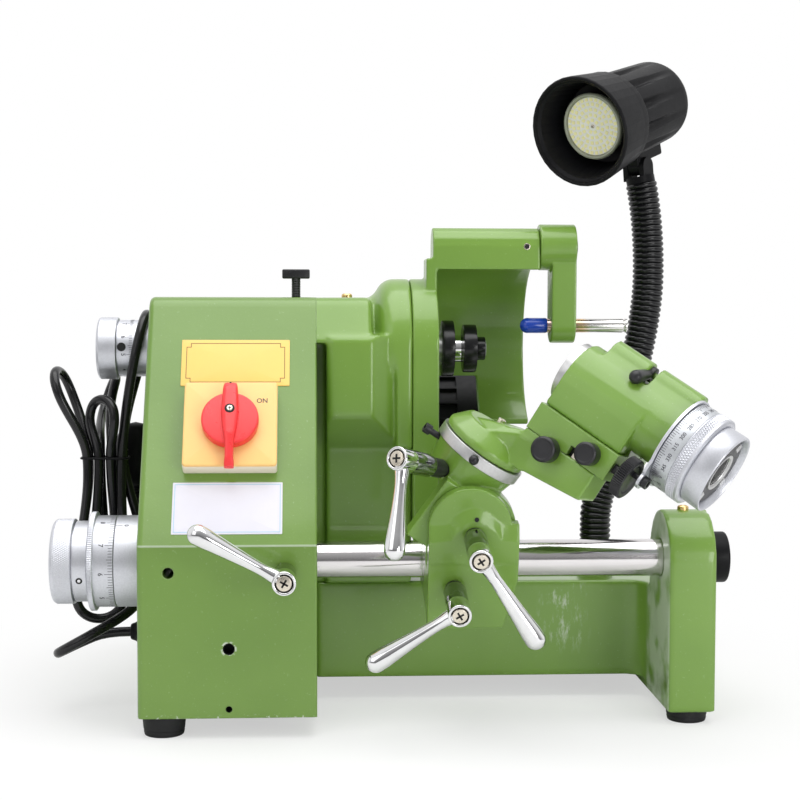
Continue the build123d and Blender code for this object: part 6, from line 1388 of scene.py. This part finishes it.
class GRINDER_OT_levers(bpy.types.Operator):
    """Four polished clamp levers"""

    bl_idname = "grinder.levers"
    bl_label = "Clamp levers"

    def execute(self, context):
        size = sizes(context.scene.grinder_levers)
        lean_up = np.cross((1.0, 0.0, 0.0), joint_axis("tilt_lever_turn"))
        swivel = joint_axis("arm_swivel")
        out = -joint_axis("swivel_lever_turn")
        turn = math.radians(40.0)
        hang = -swivel * math.cos(turn) + np.cross(out, -swivel) * math.sin(turn)
        self.lever(size, "bar_clamp_lever", "bar_lever", self.heading(150.0, UP), FRONT, 5.0)
        front = joint_axis("saddle_lever_turn")
        self.lever(size, "saddle_clamp_lever", "saddle_lever", self.heading(211.0, -lean_up), front, 5.0)
        self.lever(size, "tilt_clamp_lever", "tilt_lever", self.heading(-56.0, -lean_up), front, 5.0, 1.05)
        self.lever(size, "swivel_clamp_lever", "swivel_lever", hang, out, 16.0, 0.93)
        return {"FINISHED"}

    def heading(self, degrees, above):
        """A direction in a leaning front plane, turned up from +X."""
        turn = math.radians(degrees)
        return np.array((math.cos(turn), 0.0, 0.0)) + np.asarray(above) * math.sin(turn)

    def lever(self, size, node, body, handle, out, stand, reach=1.0):
        """A hub with a screw in its recess, a black collar, and an arm that swells to its ball end."""
        place = Place(joint_point(body + "_turn"), handle, out)
        top = stand + size.hub_length
        radius, ball, waist = size.hub_radius, size.ball_radius, size.waist_radius
        head, floor, seat = top - 2 * radius, top - 3.0, 5.9
        form = Form("chrome")
        hub = [(head, 0), (head, radius), (top, radius), (top, seat), (floor, seat), (floor, 0)]
        form.lathe(place, soften(hub, 1.1), 72)
        form.rod(place, stand, head + 1.5, radius - 0.1, 72, "shaded_chrome", 0.8)
        form.rod(place, 0.3, stand + 0.5, 6.5, 48, "black_oxide", 0.5)
        form.rod(place, -8.0, 0.5, 3.9, 32, "black_oxide")
        # Painted shade: a dark disc on the floor of the hub's recess round the screw
        form.rod(place, floor + 0.05, floor + 0.2, seat - 0.05, 48, "hole")
        form.screw_head(place.moved(z=floor + 0.1), 5.0, 3.0, "nickel")
        rise = math.radians(size.rise)
        arm = place.moved(z=top - radius).aimed((math.cos(rise), 0, math.sin(rise)), (0, 1, 0))
        length = size.arm_length * reach
        swell = [(1.0, waist + 1.6), (8.5, waist + 0.9), (13.0, waist + 0.25), (19.0, waist)]
        swell += [(30.0, waist + 0.6), (0.64 * length, waist + 1.4)]
        swell += [(0.8 * length, 0.89 * ball), (0.9 * length, 0.98 * ball)]
        form.lathe(arm, [(0.0, 0.0), *soften(swell, 6.0), *round_end(length, ball, 12)], 64)
        return form.piece(node + "_polished", body, [node], 45.0)


class GRINDER_OT_wheel_end(bpy.types.Operator):
    """Wheel flanges, diamond holder and its cap, pivot end and guard screw"""

    bl_idname = "grinder.wheel_end"
    bl_label = "Wheel end"

    def execute(self, context):
        self.flanges()
        self.holder()
        self.cap()
        self.pivot_end()
        self.guard_screw()
        paint_nodes("satin_steel", "spindle_shaft", "quill_sleeve", "spindle_bearings")
        return {"FINISHED"}

    def flanges(self):
        """Two chamfered flanges, the bright wheel seat between them and the end nut."""
        point = joint_point("spindle_spin")
        setback = 1.5
        left, right = (corner[0] - setback for corner in node_box("wheel_flanges"))
        well = right - 2.5
        place = Place((0, *point[1:]), FRONT, -LEFT)
        rear = [(left, 0), (left, 21), (left + 9, 21), (left + 9, 0)]
        front = [(left + 16, 0), (left + 16, 18), (left + 26, 18), (left + 26, 0)]
        nut = [(left + 26, 0), (left + 26, 8.8), (right, 8.8), (right, 5.2), (well, 5.2), (well, 0)]
        seat = [(left + 8, 0), (left + 8, 10.1), (left + 17, 10.1), (left + 17, 0)]
        form = Form("gloss_black")
        for profile, finish in ((rear, None), (front, None), (nut, None), (seat, "chrome")):
            form.lathe(place, soften(profile, 1.0, 2), 96, finish)
        # Painted shade: a dark disc at the bottom of the nut's well
        form.rod(place, well - 0.1, well + 0.2, 5.1, 48, "hole")
        return form.piece("wheel_flanges_turned", "spindle", ["wheel_flanges"])

    def holder_axis(self):
        """The diamond holder's axis as a place with Z to the right, and its radius."""
        low, high = node_box("dresser_rod")
        middle = (low + high) / 2
        return Place((0, *middle[1:]), FRONT, -LEFT), (high[2] - low[2]) / 2

    def holder(self):
        """The diamond holder with a turned groove near its tail."""
        place, radius = self.holder_axis()
        left, right = (corner[0] for corner in node_box("dresser_rod"))
        floor = radius - 0.7
        groove = [(right - 3.2, radius), (right - 3.0, floor), (right - 2.2, floor), (right - 2.0, radius)]
        profile = [(left, 0), (left, radius), *groove, (right, radius), (right, 0)]
        form = Form("tinted_steel")
        form.lathe(place, soften(profile, 0.6, 2), 64)
        return form.piece("dresser_rod_turned", "diamond", ["dresser_rod"])

    def cap(self):
        """The soft cap on the holder's tip: a round dome, and a skirt whose edge closes on the rod."""
        place, rod = self.holder_axis()
        left, right = (corner[0] for corner in node_box("dresser_cap"))
        radius = 5.7
        quarter = np.linspace(0, math.pi / 2, 12)
        dome = np.stack([left + radius - radius * np.cos(quarter), radius * np.sin(quarter)], axis=-1)
        skirt = [(right - 1.0, radius), (right - 0.2, radius - 0.5), (right, rod), (right - 9.0, rod)]
        form = Form("blue_cap")
        form.lathe(place, [*dome, *skirt], 56)
        return form.piece("dresser_cap_moulded", "diamond", ["dresser_cap"])

    def pivot_end(self):
        """The black end of the dresser arm's pivot pin."""
        point = joint_point("dresser_swing")
        edge = node_box("dresser_arm")[1][0]
        form = Form("black_oxide")
        form.rod(Place((edge - 0.5, *point[1:]), FRONT, -LEFT), 0, 2.4, 6.6, 40, edge=0.6)
        return form.piece("dresser_pivot_end", "dresser")

    def guard_screw(self):
        """The set screw in the front of the guard's boss, with a dark disc of painted shade in its socket."""
        point = joint_point("dresser_swing")
        seat = Place((76.6, point[1], point[2]), -LEFT, FRONT).moved(z=13.4)
        form = Form("nickel")
        form.rod(seat, 0, 1.1, 2.5, 32, edge=0.2)
        # Painted shade: a dark disc for the screw's socket
        form.rod(seat, 1.0, 1.25, 1.7, 24, "hole")
        return form.piece("guard_set_screw", "root")


def swivel_place():
    """The swivel's frame: its middle on top of the ring, X to the right along the tilt, Z up its axis."""
    axis = joint_axis("arm_swivel")
    return Place(joint_point("arm_swivel"), np.cross(joint_axis("block_tilt"), axis), axis)


class GRINDER_OT_swivel_ring(bpy.types.Operator):
    """Swivel ring, its index pin and the cap screw"""

    bl_idname = "grinder.swivel_ring"
    bl_label = "Swivel ring"

    def execute(self, context):
        place = swivel_place()
        form = Form("satin_steel")
        radius, height, bearing = 31.9, 8.0, -106.0
        form.rod(place, -height, 0, radius, 128, edge=0.5, bore=8)
        pin = place.on_drum(radius, bearing, -height / 2)
        form.rod(pin, -2, 1.5, 2.5, 32, "black_oxide")
        turn = np.linspace(-1.0, math.pi / 2, 16)
        ball = np.stack([3.0 + 3.4 * np.sin(turn), 3.4 * np.cos(turn)], axis=-1)
        form.lathe(pin, ball, 40, "black_oxide")
        side = place.moved(z=-11.0).aimed((-1, 0, 0), (0, 1, 0))
        form.rod(side, radius - 8, radius + 5.2, 2.2, 28, "black_oxide")
        form.screw_head(side.moved(z=radius + 5.0), 3.6, 5.0, "black_oxide", cross=False)
        form.piece("swivel_ring_turned", "tilt", ["swivel_ring"])
        return {"FINISHED"}


def head_place():
    """The work head's frame: X towards the operator, Y up, Z forwards along the head axis to its nose."""
    return Place(joint_point("index_spin"), joint_axis("arm_knob_turn"), -joint_axis("index_spin"))


class GRINDER_OT_work_head(bpy.types.Operator):
    """Index dial, handwheel, ear screw, thumb knobs, feed wheel and lock lever"""

    bl_idname = "grinder.work_head"
    bl_label = "Work head"

    def execute(self, context):
        size = sizes(context.scene.grinder_head)
        place = head_place()
        self.dial(place, size)
        self.handwheel(place, size)
        self.ear_screw(place, size)
        self.knob("arm_thumb_knob", "arm_knob", 8.65)
        self.knob("block_thumb_knob", "block_knob", 7.75)
        self.feed_wheel()
        self.lock_lever(place)
        paint_nodes("satin_aluminium", "index_plate")
        paint_nodes("satin_steel", "index_spindle", "collet")
        return {"FINISHED"}

    def dial(self, place, size):
        """The degree dial with a figure at each fifteen degrees."""
        start, end = -size.dial_start, -size.dial_start - size.dial_length
        radius = size.dial_radius
        form = Form("dial_aluminium")
        form.rod(place, start, end, radius, 144, edge=0.5, bore=14)
        turn = np.arange(120)
        reach = np.where(turn % 5 == 0, 4.4, 2.8)
        edge = start - 0.3
        form.ticks(place, radius, size.figure_zero - 3.0 * turn, edge - reach, edge, 0.34, "faint_ink")
        for figure in range(0, 360, 15):
            bearing = size.figure_zero - figure
            form.figures(place, radius, str(figure), 3.6, bearing, start - 7.6, 1, "faint_ink")
        return form.piece("index_dial_turned", "index", ["index_dial"])

    def handwheel(self, place, size):
        """A knurled ring between plain lips, and a sand-blasted cup with a slotted ring in its well."""
        start = -size.dial_start - size.dial_length
        step = start - size.knurl_length
        rim = step - size.cup_length
        ring, outer, bore = size.knurl_radius, size.cup_radius, 14
        well = outer - size.cup_wall
        floor = rim + size.cup_depth
        lip = [(start, bore), (start, ring - 0.7), (start - 0.5, ring - 0.2), (start - 0.9, ring - 0.2)]
        band = [(height, ring) for height in np.linspace(start - 1.0, step + 3.0, 44)]
        back = [(step + 2.9, ring - 0.1), (step + 1.2, ring - 0.1), (step + 0.2, ring - 1.3)]
        cup = [(step, ring - 2.0), (step, outer - 0.8), (step - 0.5, outer - 0.8), (step - 0.7, outer - 0.2)]
        edge = [(rim + 1.0, outer), (rim + 0.2, outer - 0.5), (rim, outer - 1.2), (rim, well + 1.4)]
        bottom = [(rim + 1.4, well + 0.2), (floor, well - 0.6), (floor, bore)]
        knurl = diamond_knurl(104, 3.6, 0.7, step + 2.95, start - 0.95)
        form = Form("satin_aluminium")
        form.lathe(place, [*lip, *band, *back, *cup, *edge, *bottom], 832, wave=knurl)
        self.slotted_ring(form, place, floor)
        self.threaded_sleeve(form, place, floor)
        return form.piece("index_handwheel_turned", "index", ["index_handwheel"])

    def slotted_ring(self, form, place, floor):
        """The black ring in the cup's well, with four bright slots in its face."""
        face = floor - 8.5
        ring = [(floor + 0.5, 13), (face, 13), (face, 22.5), (floor + 0.5, 22.5)]
        form.lathe(place, soften(ring, 0.4), 72, "black_oxide")
        for slot in range(4):
            spot = place.on_drum(0.0, slot * 90.0 + 20.0, face - 0.1)
            form.brick(spot, (-0.4, -2.6, 17.5), (2.0, 2.6, 22.6), "satin_steel")

    def threaded_sleeve(self, form, place, floor):
        """The steel sleeve inside the ring: a bore with a triangle wave for its thread, then a cone."""
        mouth, end = floor - 9.2, floor + 14.0
        core, depth, pitch = 10.6, 0.5, 1.5
        thread = np.linspace(floor - 8.6, floor + 2.0, 84)
        ridge = core + depth * triangle_wave(thread / pitch)
        cone = [(floor + 6.0, 10.0), (end, 6.5), (end, 0), (end + 1.0, 0), (end + 1.0, 13.2)]
        profile = [(mouth, 13.2), (mouth, 11.8), *np.stack([thread, ridge], axis=-1), *cone]
        form.lathe(place, profile, 64, "satin_steel")

    def ear_screw(self, place, size):
        """The black screw through the plate's ear."""
        spot = place.moved(24.0, -30.0, -size.dial_start + 0.6).aimed((0, 0, -1))
        form = Form("black_oxide")
        form.screw_head(spot, 4.0, 4.4, "black_oxide", cross=False)
        form.rod(spot, -9, 0.5, 2.0, 24)
        return form.piece("ear_screw", "head")

    def knob(self, node, body, radius):
        """A black thumb knob with a bevelled face on its neck."""
        joint = body + "_turn"
        place = Place(joint_point(joint), UP, joint_axis(joint))
        top = furthest(node, place)
        disc, inset, shoulder, foot = top - 11, top - 0.5, top - 13.5, top - 22.3
        face = [(disc, 0), (disc, radius), (top - 1.2, radius), (top, radius - 1.6)]
        neck = [(foot, 0), (foot, 2.7), (shoulder, 2.7), (shoulder, 5), (top - 10.5, 5), (top - 10.5, 0)]
        form = Form("black_oxide")
        form.lathe(place, soften([*face, (inset, radius - 2.4), (inset, 0)], 0.6), 64)
        form.lathe(place, neck, 40)
        return form.piece(node + "_turned", body, [node])

    def feed_wheel(self):
        """The knurled feed wheel on its shaft."""
        place = Place(joint_point("slide_feed_turn"), UP, joint_axis("slide_feed_turn"))
        top = furthest("slide_feed_wheel", place)
        low, floor, edge = top - 8.0, top - 0.8, 13.2
        band = [(height, 14.5) for height in np.linspace(low + 0.8, floor, 10)]
        rim = [(low, 4), (low, edge), *band, (top, edge), (top, 11.0), (floor, 10.0), (floor, 0)]
        form = Form("black_oxide")
        form.lathe(place, rim, 480, wave=straight_knurl(60, 0.8, low + 0.7, top - 0.7))
        form.rod(place, low - 17.5, low + 1, 3.4, 32, edge=0.3)
        return form.piece("slide_feed_wheel_turned", "slide_feed", ["slide_feed_wheel"])

    def lock_lever(self, place):
        """A stubby round-ended handle on its hub between the bosses."""
        hub = Place(joint_point("index_lock_turn"), place.axes[0], place.axes[2])
        dip = math.radians(13.0)
        handle = hub.aimed((math.cos(dip), -math.sin(dip), 0), (0, 0, 1))
        shape = [(0.0, 0.0), (0.0, 3.4), (6.0, 3.6), (12.0, 4.0), (17.0, 4.4), *round_end(22.5, 4.7)]
        form = Form("black_oxide")
        form.rod(hub, -3.2, 3.2, 5.5, edge=0.6)
        form.lathe(handle, shape, 48)
        return form.piece("index_lock_lever_turned", "index_lock", ["index_lock_lever"])


class GRINDER_OT_switch(bpy.types.Operator):
    """Rotary switch, bare name plate and bare label plate"""

    bl_idname = "grinder.switch"
    bl_label = "Switch and plates"

    def execute(self, context):
        size = sizes(context.scene.grinder_switch)
        slope = Place(joint_point("switch_turn"), -LEFT, -joint_axis("switch_turn"))
        rise = furthest("switch_box", slope)
        self.plate(slope, size, rise)
        self.grip(slope, size, rise)
        self.name_plate(slope, size)
        self.label(slope, size)
        return {"FINISHED"}

    def plate(self, slope, size, rise):
        """A pale body under a yellow front with a soft edge."""
        front, lap = 3.2, 0.2
        form = Form("switch_plate")
        form.slab(slope, size.size, size.size, rise - front + lap, 2.0, 0.5, "switch_side")
        form.slab(slope.moved(z=rise - front), size.size, size.size, front, 2.6, 1.2)
        form.words(slope.moved(21.5, 17.0, rise), "ON", 4.9, "ink")
        return form.piece("switch_plate", "root", ["switch_box"])

    def grip(self, slope, size, rise):
        """A low disc and a raised grip: sections across the grip are flat-topped ovals whose half width
        and crown follow its length, with a dark brick at the upper end as the notch's painted shade."""
        low, foot, drawn_height, screw_place = rise + 0.3, 2.0, 13, 0.3
        half = size.grip_length / 2
        along = np.linspace(-1, 1, 49)
        stations = (-1, -0.9, -0.8, -0.45, -0.1, 0.25, 0.6, 0.92, 1)
        width = np.interp(along, stations, (3.3, 3.4, 2.9, 3.1, 5.0, 6.0, 5.6, 5.0, 4.4))[:, None]
        crests = (-1, -0.85, -0.3, 0.3, 0.85, 1)
        crown = np.interp(along, crests, (6.5, 9.5, 12.6, 12.6, 11.0, 8.5))[:, None]
        tall = (crown * size.grip_height / drawn_height - foot) / 2
        turn = np.linspace(0, 2 * math.pi, 40, endpoint=False)
        x = width * np.sign(np.cos(turn)) * np.abs(np.cos(turn)) ** 0.55
        y = half * along[:, None] - size.grip_drop + 0 * x
        z = low + foot + tall + tall * np.sign(np.sin(turn)) * np.abs(np.sin(turn)) ** 0.55
        form = Form("red_grip")
        form.rod(slope, low, low + size.disc_height, size.disc_radius, 96, edge=1.4)
        form.loft(slope, np.stack([x, y, z], axis=-1))
        spot = slope.moved(y=half * screw_place - size.grip_drop, z=low + size.grip_height - 0.45)
        # Painted shade: a dark ring round the screw's recess
        form.lathe(spot, [(0, 0), (0, 3.4), (0.5, 3.2), (0.5, 0)], 32, "hole")
        form.screw_head(spot.moved(z=0.1), 2.1, 0.7, "nickel")
        notch = slope.moved(y=half - size.grip_drop, z=low)
        # Painted shade: a dark brick for the notch at the grip's upper end
        form.brick(notch, (-0.6, -1.5, 2.5), (0.6, 0.2, 8.8), "hole")
        return form.piece("switch_grip", "switch", ["switch_knob"])

    def frame_line(self, form, place, width, depth, notch, line, finish):
        """A border line with notched corners, as bricks end to end."""
        across, up, half = width / 2, depth / 2, line / 2
        foot, top = 0.5, 0.66
        corner = [(across, up)]
        if notch:
            corner = [(across - notch, up), (across - notch, up - notch), (across, up - notch)]
        right = corner + [(x, -y) for x, y in reversed(corner)]
        outline = right + [(-x, -y) for x, y in right]
        for start, end in zip(outline, outline[1:] + outline[:1]):
            low = np.minimum(start, end) - half
            high = np.maximum(start, end) + half
            form.brick(place, (*low, foot), (*high, top), finish)

    def name_plate(self, slope, size):
        """A bare gold plate with a brown notched border."""
        place = slope.moved(2.0, size.name_rise)
        form = Form("name_plate")
        form.slab(place, size.name_width, size.name_height, 0.6, 0.6, 0.2)
        self.frame_line(form, place, size.name_width - 7.0, size.name_height - 6.0, 3.0, 0.55, "plate_line")
        return form.piece("name_plate", "root")

    def label(self, slope, size):
        """A bare white plate with a thin pale border."""
        place = slope.moved(-1.3, -size.label_drop)
        form = Form("label_plate")
        form.slab(place, size.label_width, size.label_height, 0.5, 0.6, 0.2)
        self.frame_line(form, place, size.label_width - 3.0, size.label_height - 3.0, 0.0, 0.5, "label_line")
        return form.piece("label_plate", "root")


class GRINDER_OT_lamp(bpy.types.Operator):
    """Ribbed hose, shade, fluted barrel and bulb"""

    bl_idname = "grinder.lamp"
    bl_label = "Lamp"

    def execute(self, context):
        size = sizes(context.scene.grinder_lamp)
        self.nut()
        self.hose(size)
        hinge = Place(joint_point("lamp_tilt"), joint_axis("lamp_tilt"), LAMP_HEADING)
        place = hinge.moved(y=size.axis_rise, z=-size.front)
        self.head(hinge, place, size)
        self.bulb(place, size)
        paint_nodes("black_plastic", "lamp_bracket")
        return {"FINISHED"}

    def nut(self):
        """The round nut that holds the hose on the bed: a flange with a narrower collar on it."""
        low, high = node_box("lamp_base")
        middle = (low + high) / 2
        place = Place((middle[0], middle[1], low[2]), -LEFT, UP)
        radius = (high[0] - low[0]) / 2
        profile = [(0, 0), (0, radius), (3, radius), (3, radius - 1.2), (10, radius - 1.2), (10, 0)]
        form = Form("black_plastic")
        form.lathe(place, soften(profile, 1.0), 64)
        return form.piece("lamp_nut", "root", ["lamp_base"])

    def hose(self, size):
        """Rounded ribs along the hose's spline: radius = valley + (crest - valley) |sin| of the length."""
        low, high = node_box("lamp_base")
        foot = np.array(((low[0] + high[0]) / 2, (low[1] + high[1]) / 2, high[2]))
        points = np.array([foot + (x, 0.0, z) for x, z in HOSE_POINTS])
        curve = smooth_curve("hose_line", points, 32)
        holder = bpy.data.objects.new("hose_line", curve)
        line = bpy.data.meshes.new_from_object(holder)
        route = mesh_points(line)
        bpy.data.objects.remove(holder)
        bpy.data.curves.remove(curve)
        bpy.data.meshes.remove(line)
        done = np.concatenate([[0], np.cumsum(np.linalg.norm(np.diff(route, axis=0), axis=1))])
        ribs = round(done[-1] / size.rib_pitch)
        t = np.linspace(0, done[-1], ribs * 10 + 1)
        fine = np.stack([np.interp(t, done, route[:, axis]) for axis in range(3)], axis=-1)
        rib = np.abs(np.sin(math.pi * ribs * t / done[-1])) ** 0.7
        radii = size.valley_radius + (size.crest_radius - size.valley_radius) * rib
        form = Form("gloss_black")
        form.tube(fine, radii, (0, 1, 0), 40)
        return form.piece("lamp_hose", "root", ["gooseneck"], 60.0)

    def head(self, hinge, place, size):
        """The shade, the barrel, the hinge lug with its neck, and the rib below the barrel."""
        form = Form("black_plastic")
        self.shade(form, place, size)
        self.barrel(form, place, size)
        form.rod(hinge.aimed((1, 0, 0), (0, 1, 0)), -5, 5, 7, edge=0.6, bore=2.6)
        form.slab(hinge.aimed((0, 1, 0)).moved(z=2.0), 10.0, 14.0, 14.0, 1.0, 0.5)
        form.slab(hinge.moved(y=12.0, z=-6.0), 12.0, 18.0, 34.0, 2.0, 1.0)
        return form.piece("lamp_shade_and_barrel", "lamp", ["lamp_head"], 8.0)

    def shade(self, form, place, size):
        """A tapered shade with a step at its rear, a lip inside its rim and a floor behind the bulb."""
        end, rim, rear = size.shade_length, size.shade_radius, size.shade_rear
        outer = [(end + 0.6, 30), (end + 0.6, rear - 2.4), (end - 1.5, rear), (end - 8.0, rear + 0.4)]
        front = [(1.0, rim), (0, rim - 0.8), (0, rim - 2.4), (2.5, rim - 3.2)]
        lip = [(4.0, rim - 5.2), (6.0, rim - 5.6), (10.0, rim - 6.4)]
        floor = [(34.0, 30.5), (36.0, 12.0), (36.0, 0)]
        form.lathe(place, soften([*outer, *front, *lip, *floor], 0.8, 3), 36)

    def barrel(self, form, place, size):
        """A straight taper times a superellipse that rounds its rear. The flutes, taken from the radius,
        are a cosine round the barrel that narrows along it and runs out before the rear."""
        start, long = size.shade_length, size.barrel_length
        lead_in, fade, gone, narrowing = 0.06, 0.6, 0.82, 0.7
        along = np.linspace(0, 1, 60)
        shoulder = np.sqrt(np.maximum(0, 1 - np.maximum(0, (along - 0.78) / 0.22) ** 2.4))
        radius = (size.barrel_radius + (size.barrel_rear - size.barrel_radius) * along) * shoulder

        def flute(height, turn):
            share = (height - start) / long
            deep = size.flute_depth * np.clip(share / lead_in, 0, 1) * np.clip((gone - share) / fade, 0, 1)
            return deep * np.minimum(0, np.cos(size.flutes * turn) + narrowing * share)

        profile = [(start, 30.0), *np.stack([start + long * along, radius], axis=-1)]
        form.lathe(place, profile, 240, wave=flute)

    def bulb(self, place, size):
        """A glass rim, a white board with rings of diodes round a screw, and the neck behind."""
        radius = size.bulb_radius
        front = place.moved(z=size.bulb_setback).aimed((0, 0, -1))
        outer = [(-4, radius - 2), (-4, radius), (-0.6, radius), (0.6, radius - 1.2)]
        inner = [(0.4, radius - 2.6), (-1.2, radius - 3.2), (-1.4, radius - 3.4)]
        neck = [(-4, radius - 0.2), (-14, radius - 8), (-20, 12.5), (-38, 12.5), (-38, 0)]
        form = Form("lamp_board")
        form.lathe(front, soften([*outer, *inner], 0.7), 96, "bulb_glass")
        form.lathe(front, neck, 64)
        form.rod(front, -4, -1.6, radius - 1, 72)
        for reach, count in ((4.6, 7), (8.6, 13), (12.6, 19), (16.6, 25), (20.0, 31)):
            self.diodes(form, front, reach, count)
        form.screw_head(front.moved(z=-1.7), 1.5, 1.0, "nickel")
        return form.piece("lamp_bulb_front", "lamp", ["lamp_bulb"])

    def diodes(self, form, front, radius, count):
        """A ring of square diodes: a square's corners moved out by the radius and turned to each angle."""
        half, low, high = 1.15, -1.7, -1.0
        turn = np.arange(count)[:, None] * 2 * math.pi / count + radius
        out = radius + half * np.array((-1, 1, 1, -1))
        side = half * np.array((-1, -1, 1, 1))
        x = out * np.cos(turn) - side * np.sin(turn)
        y = out * np.sin(turn) + side * np.cos(turn)
        levels = [np.stack([x, y, height + 0 * x], axis=-1) for height in (low, high)]
        form.bricks(front.points(np.concatenate(levels, axis=1)), "lamp_diode")


class GRINDER_OT_drive(bpy.types.Operator):
    """Motor, belt, pulleys and cover screws"""

    bl_idname = "grinder.drive"
    bl_label = "Drive"

    def execute(self, context):
        # The motor and pulleys near-black: painted shade, as they sit in deep shade behind the guard
        paint_nodes("dark_metal", "motor_body", "motor_pulley", "spindle_pulley")
        paint_nodes("satin_steel", "motor_shaft")
        paint_nodes("black_rubber", "drive_belt")
        low, high = node_box("cover_screws")
        radius = 4.5
        form = Form("nickel")
        for x in (low[0] + radius, high[0] - radius):
            for z in (low[2] + radius, high[2] - radius):
                form.screw_head(Place((x, low[1], z), UP, -FRONT), radius, 3.6, "nickel")
        form.piece("cover_screw_heads", "root", ["cover_screws"])
        return {"FINISHED"}


class GRINDER_OT_fittings(bpy.types.Operator):
    """Feet, quill lock screw and ball oilers"""

    bl_idname = "grinder.fittings"
    bl_label = "Small fittings"

    def execute(self, context):
        self.feet()
        self.lock_screw()
        self.oilers()
        return {"FINISHED"}

    def feet(self):
        """Four moulded feet with a rounded tread and a shallow neck."""
        points = node_points("rubber_feet")
        profile = [(0, 0), (0, 13.2), (3.0, 13.9), (3.6, 13.4), (4.2, 14.0), (13.9, 14.9), (13.9, 0)]
        form = Form("black_rubber")
        for left in (True, False):
            for front in (True, False):
                near = points[((points[:, 0] < 0) == left) & ((points[:, 1] < 0) == front)]
                middle = (near.min(0) + near.max(0)) / 2
                form.lathe(Place((middle[0], middle[1], 0), -LEFT, UP), soften(profile, 0.8), 64)
        return form.piece("rubber_feet_moulded", "root", ["rubber_feet"])

    def lock_screw(self):
        """A T-headed screw: threads as a zigzag profile, and a rounded cross head."""
        low, high = node_box("lock_screw")
        middle = (low + high) / 2
        place = Place((middle[0], middle[1], 0), -LEFT, UP)
        thick, core, depth, pitch = 7.0, 3.05, 0.4, 1.25
        head = high[2] - thick
        end = head + 0.5
        along = np.linspace(low[2], end, 160)
        ridge = core + depth * triangle_wave(along / pitch)
        form = Form("black_oxide")
        form.lathe(place, [(low[2], 0), *np.stack([along, ridge], axis=-1), (end, 0)], 40)
        form.slab(place.moved(z=head), high[0] - low[0], thick, thick, 1.5, 1.1)
        return form.piece("quill_lock_screw", "quill_lock", ["lock_screw"])

    def oilers(self):
        """Brass cups with a steel ball."""
        points = node_points("ball_oilers")
        cup = [(-1, 0), (-1, 4), (2, 4), (3, 3), (3, 2.0), (2.2, 1.7), (2.2, 0)]
        form = Form("brass")
        for right in (True, False):
            near = points[(points[:, 0] > 0) == right]
            low, high = near.min(0), near.max(0)
            middle = (low + high) / 2
            place = Place((middle[0], middle[1], low[2]), -LEFT, UP)
            form.lathe(place, soften(cup, 0.5), 40)
            form.lathe(place, [(2.0, 0), (2.0, 1.5), (2.7, 1.1), (2.95, 0)], 24, "chrome")
        return form.piece("ball_oiler_cups", "root", ["ball_oilers"])


OPERATORS = (
    GRINDER_OT_stage,
    GRINDER_OT_finishes,
    GRINDER_OT_mains_lead,
    GRINDER_OT_castings,
    GRINDER_OT_knobs,
    GRINDER_OT_levers,
    GRINDER_OT_wheel_end,
    GRINDER_OT_swivel_ring,
    GRINDER_OT_work_head,
    GRINDER_OT_switch,
    GRINDER_OT_lamp,
    GRINDER_OT_drive,
    GRINDER_OT_fittings,
)


class GRINDER_PT_panel(bpy.types.Panel):
    """The grinder's pieces and their sizes"""

    bl_idname = "GRINDER_PT_panel"
    bl_label = "Grinder"
    bl_space_type = "VIEW_3D"
    bl_region_type = "UI"
    bl_category = "Grinder"

    def draw(self, context):
        for operator in OPERATORS:
            self.layout.operator(operator.bl_idname)
        for name, group in GROUPS.items():
            settings = getattr(context.scene, name)
            box = self.layout.box()
            box.label(text=group.__doc__)
            for rule in group.__annotations__:
                box.prop(settings, rule)


def register():
    """Register the groups, the operators and the panel."""
    for name, group in GROUPS.items():
        bpy.utils.register_class(group)
        setattr(bpy.types.Scene, name, PointerProperty(type=group))
    for kind in (*OPERATORS, GRINDER_PT_panel):
        bpy.utils.register_class(kind)


def unregister():
    """Undo register in reverse order."""
    for kind in reversed((*OPERATORS, GRINDER_PT_panel)):
        bpy.utils.unregister_class(kind)
    for name, group in GROUPS.items():
        delattr(bpy.types.Scene, name)
        bpy.utils.unregister_class(group)


def main():
    """Dress the machine piece by piece."""
    register()
    for operator in OPERATORS:
        family, action = operator.bl_idname.split(".")
        getattr(getattr(bpy.ops, family), action)()


if __name__ == "__main__":
    main()
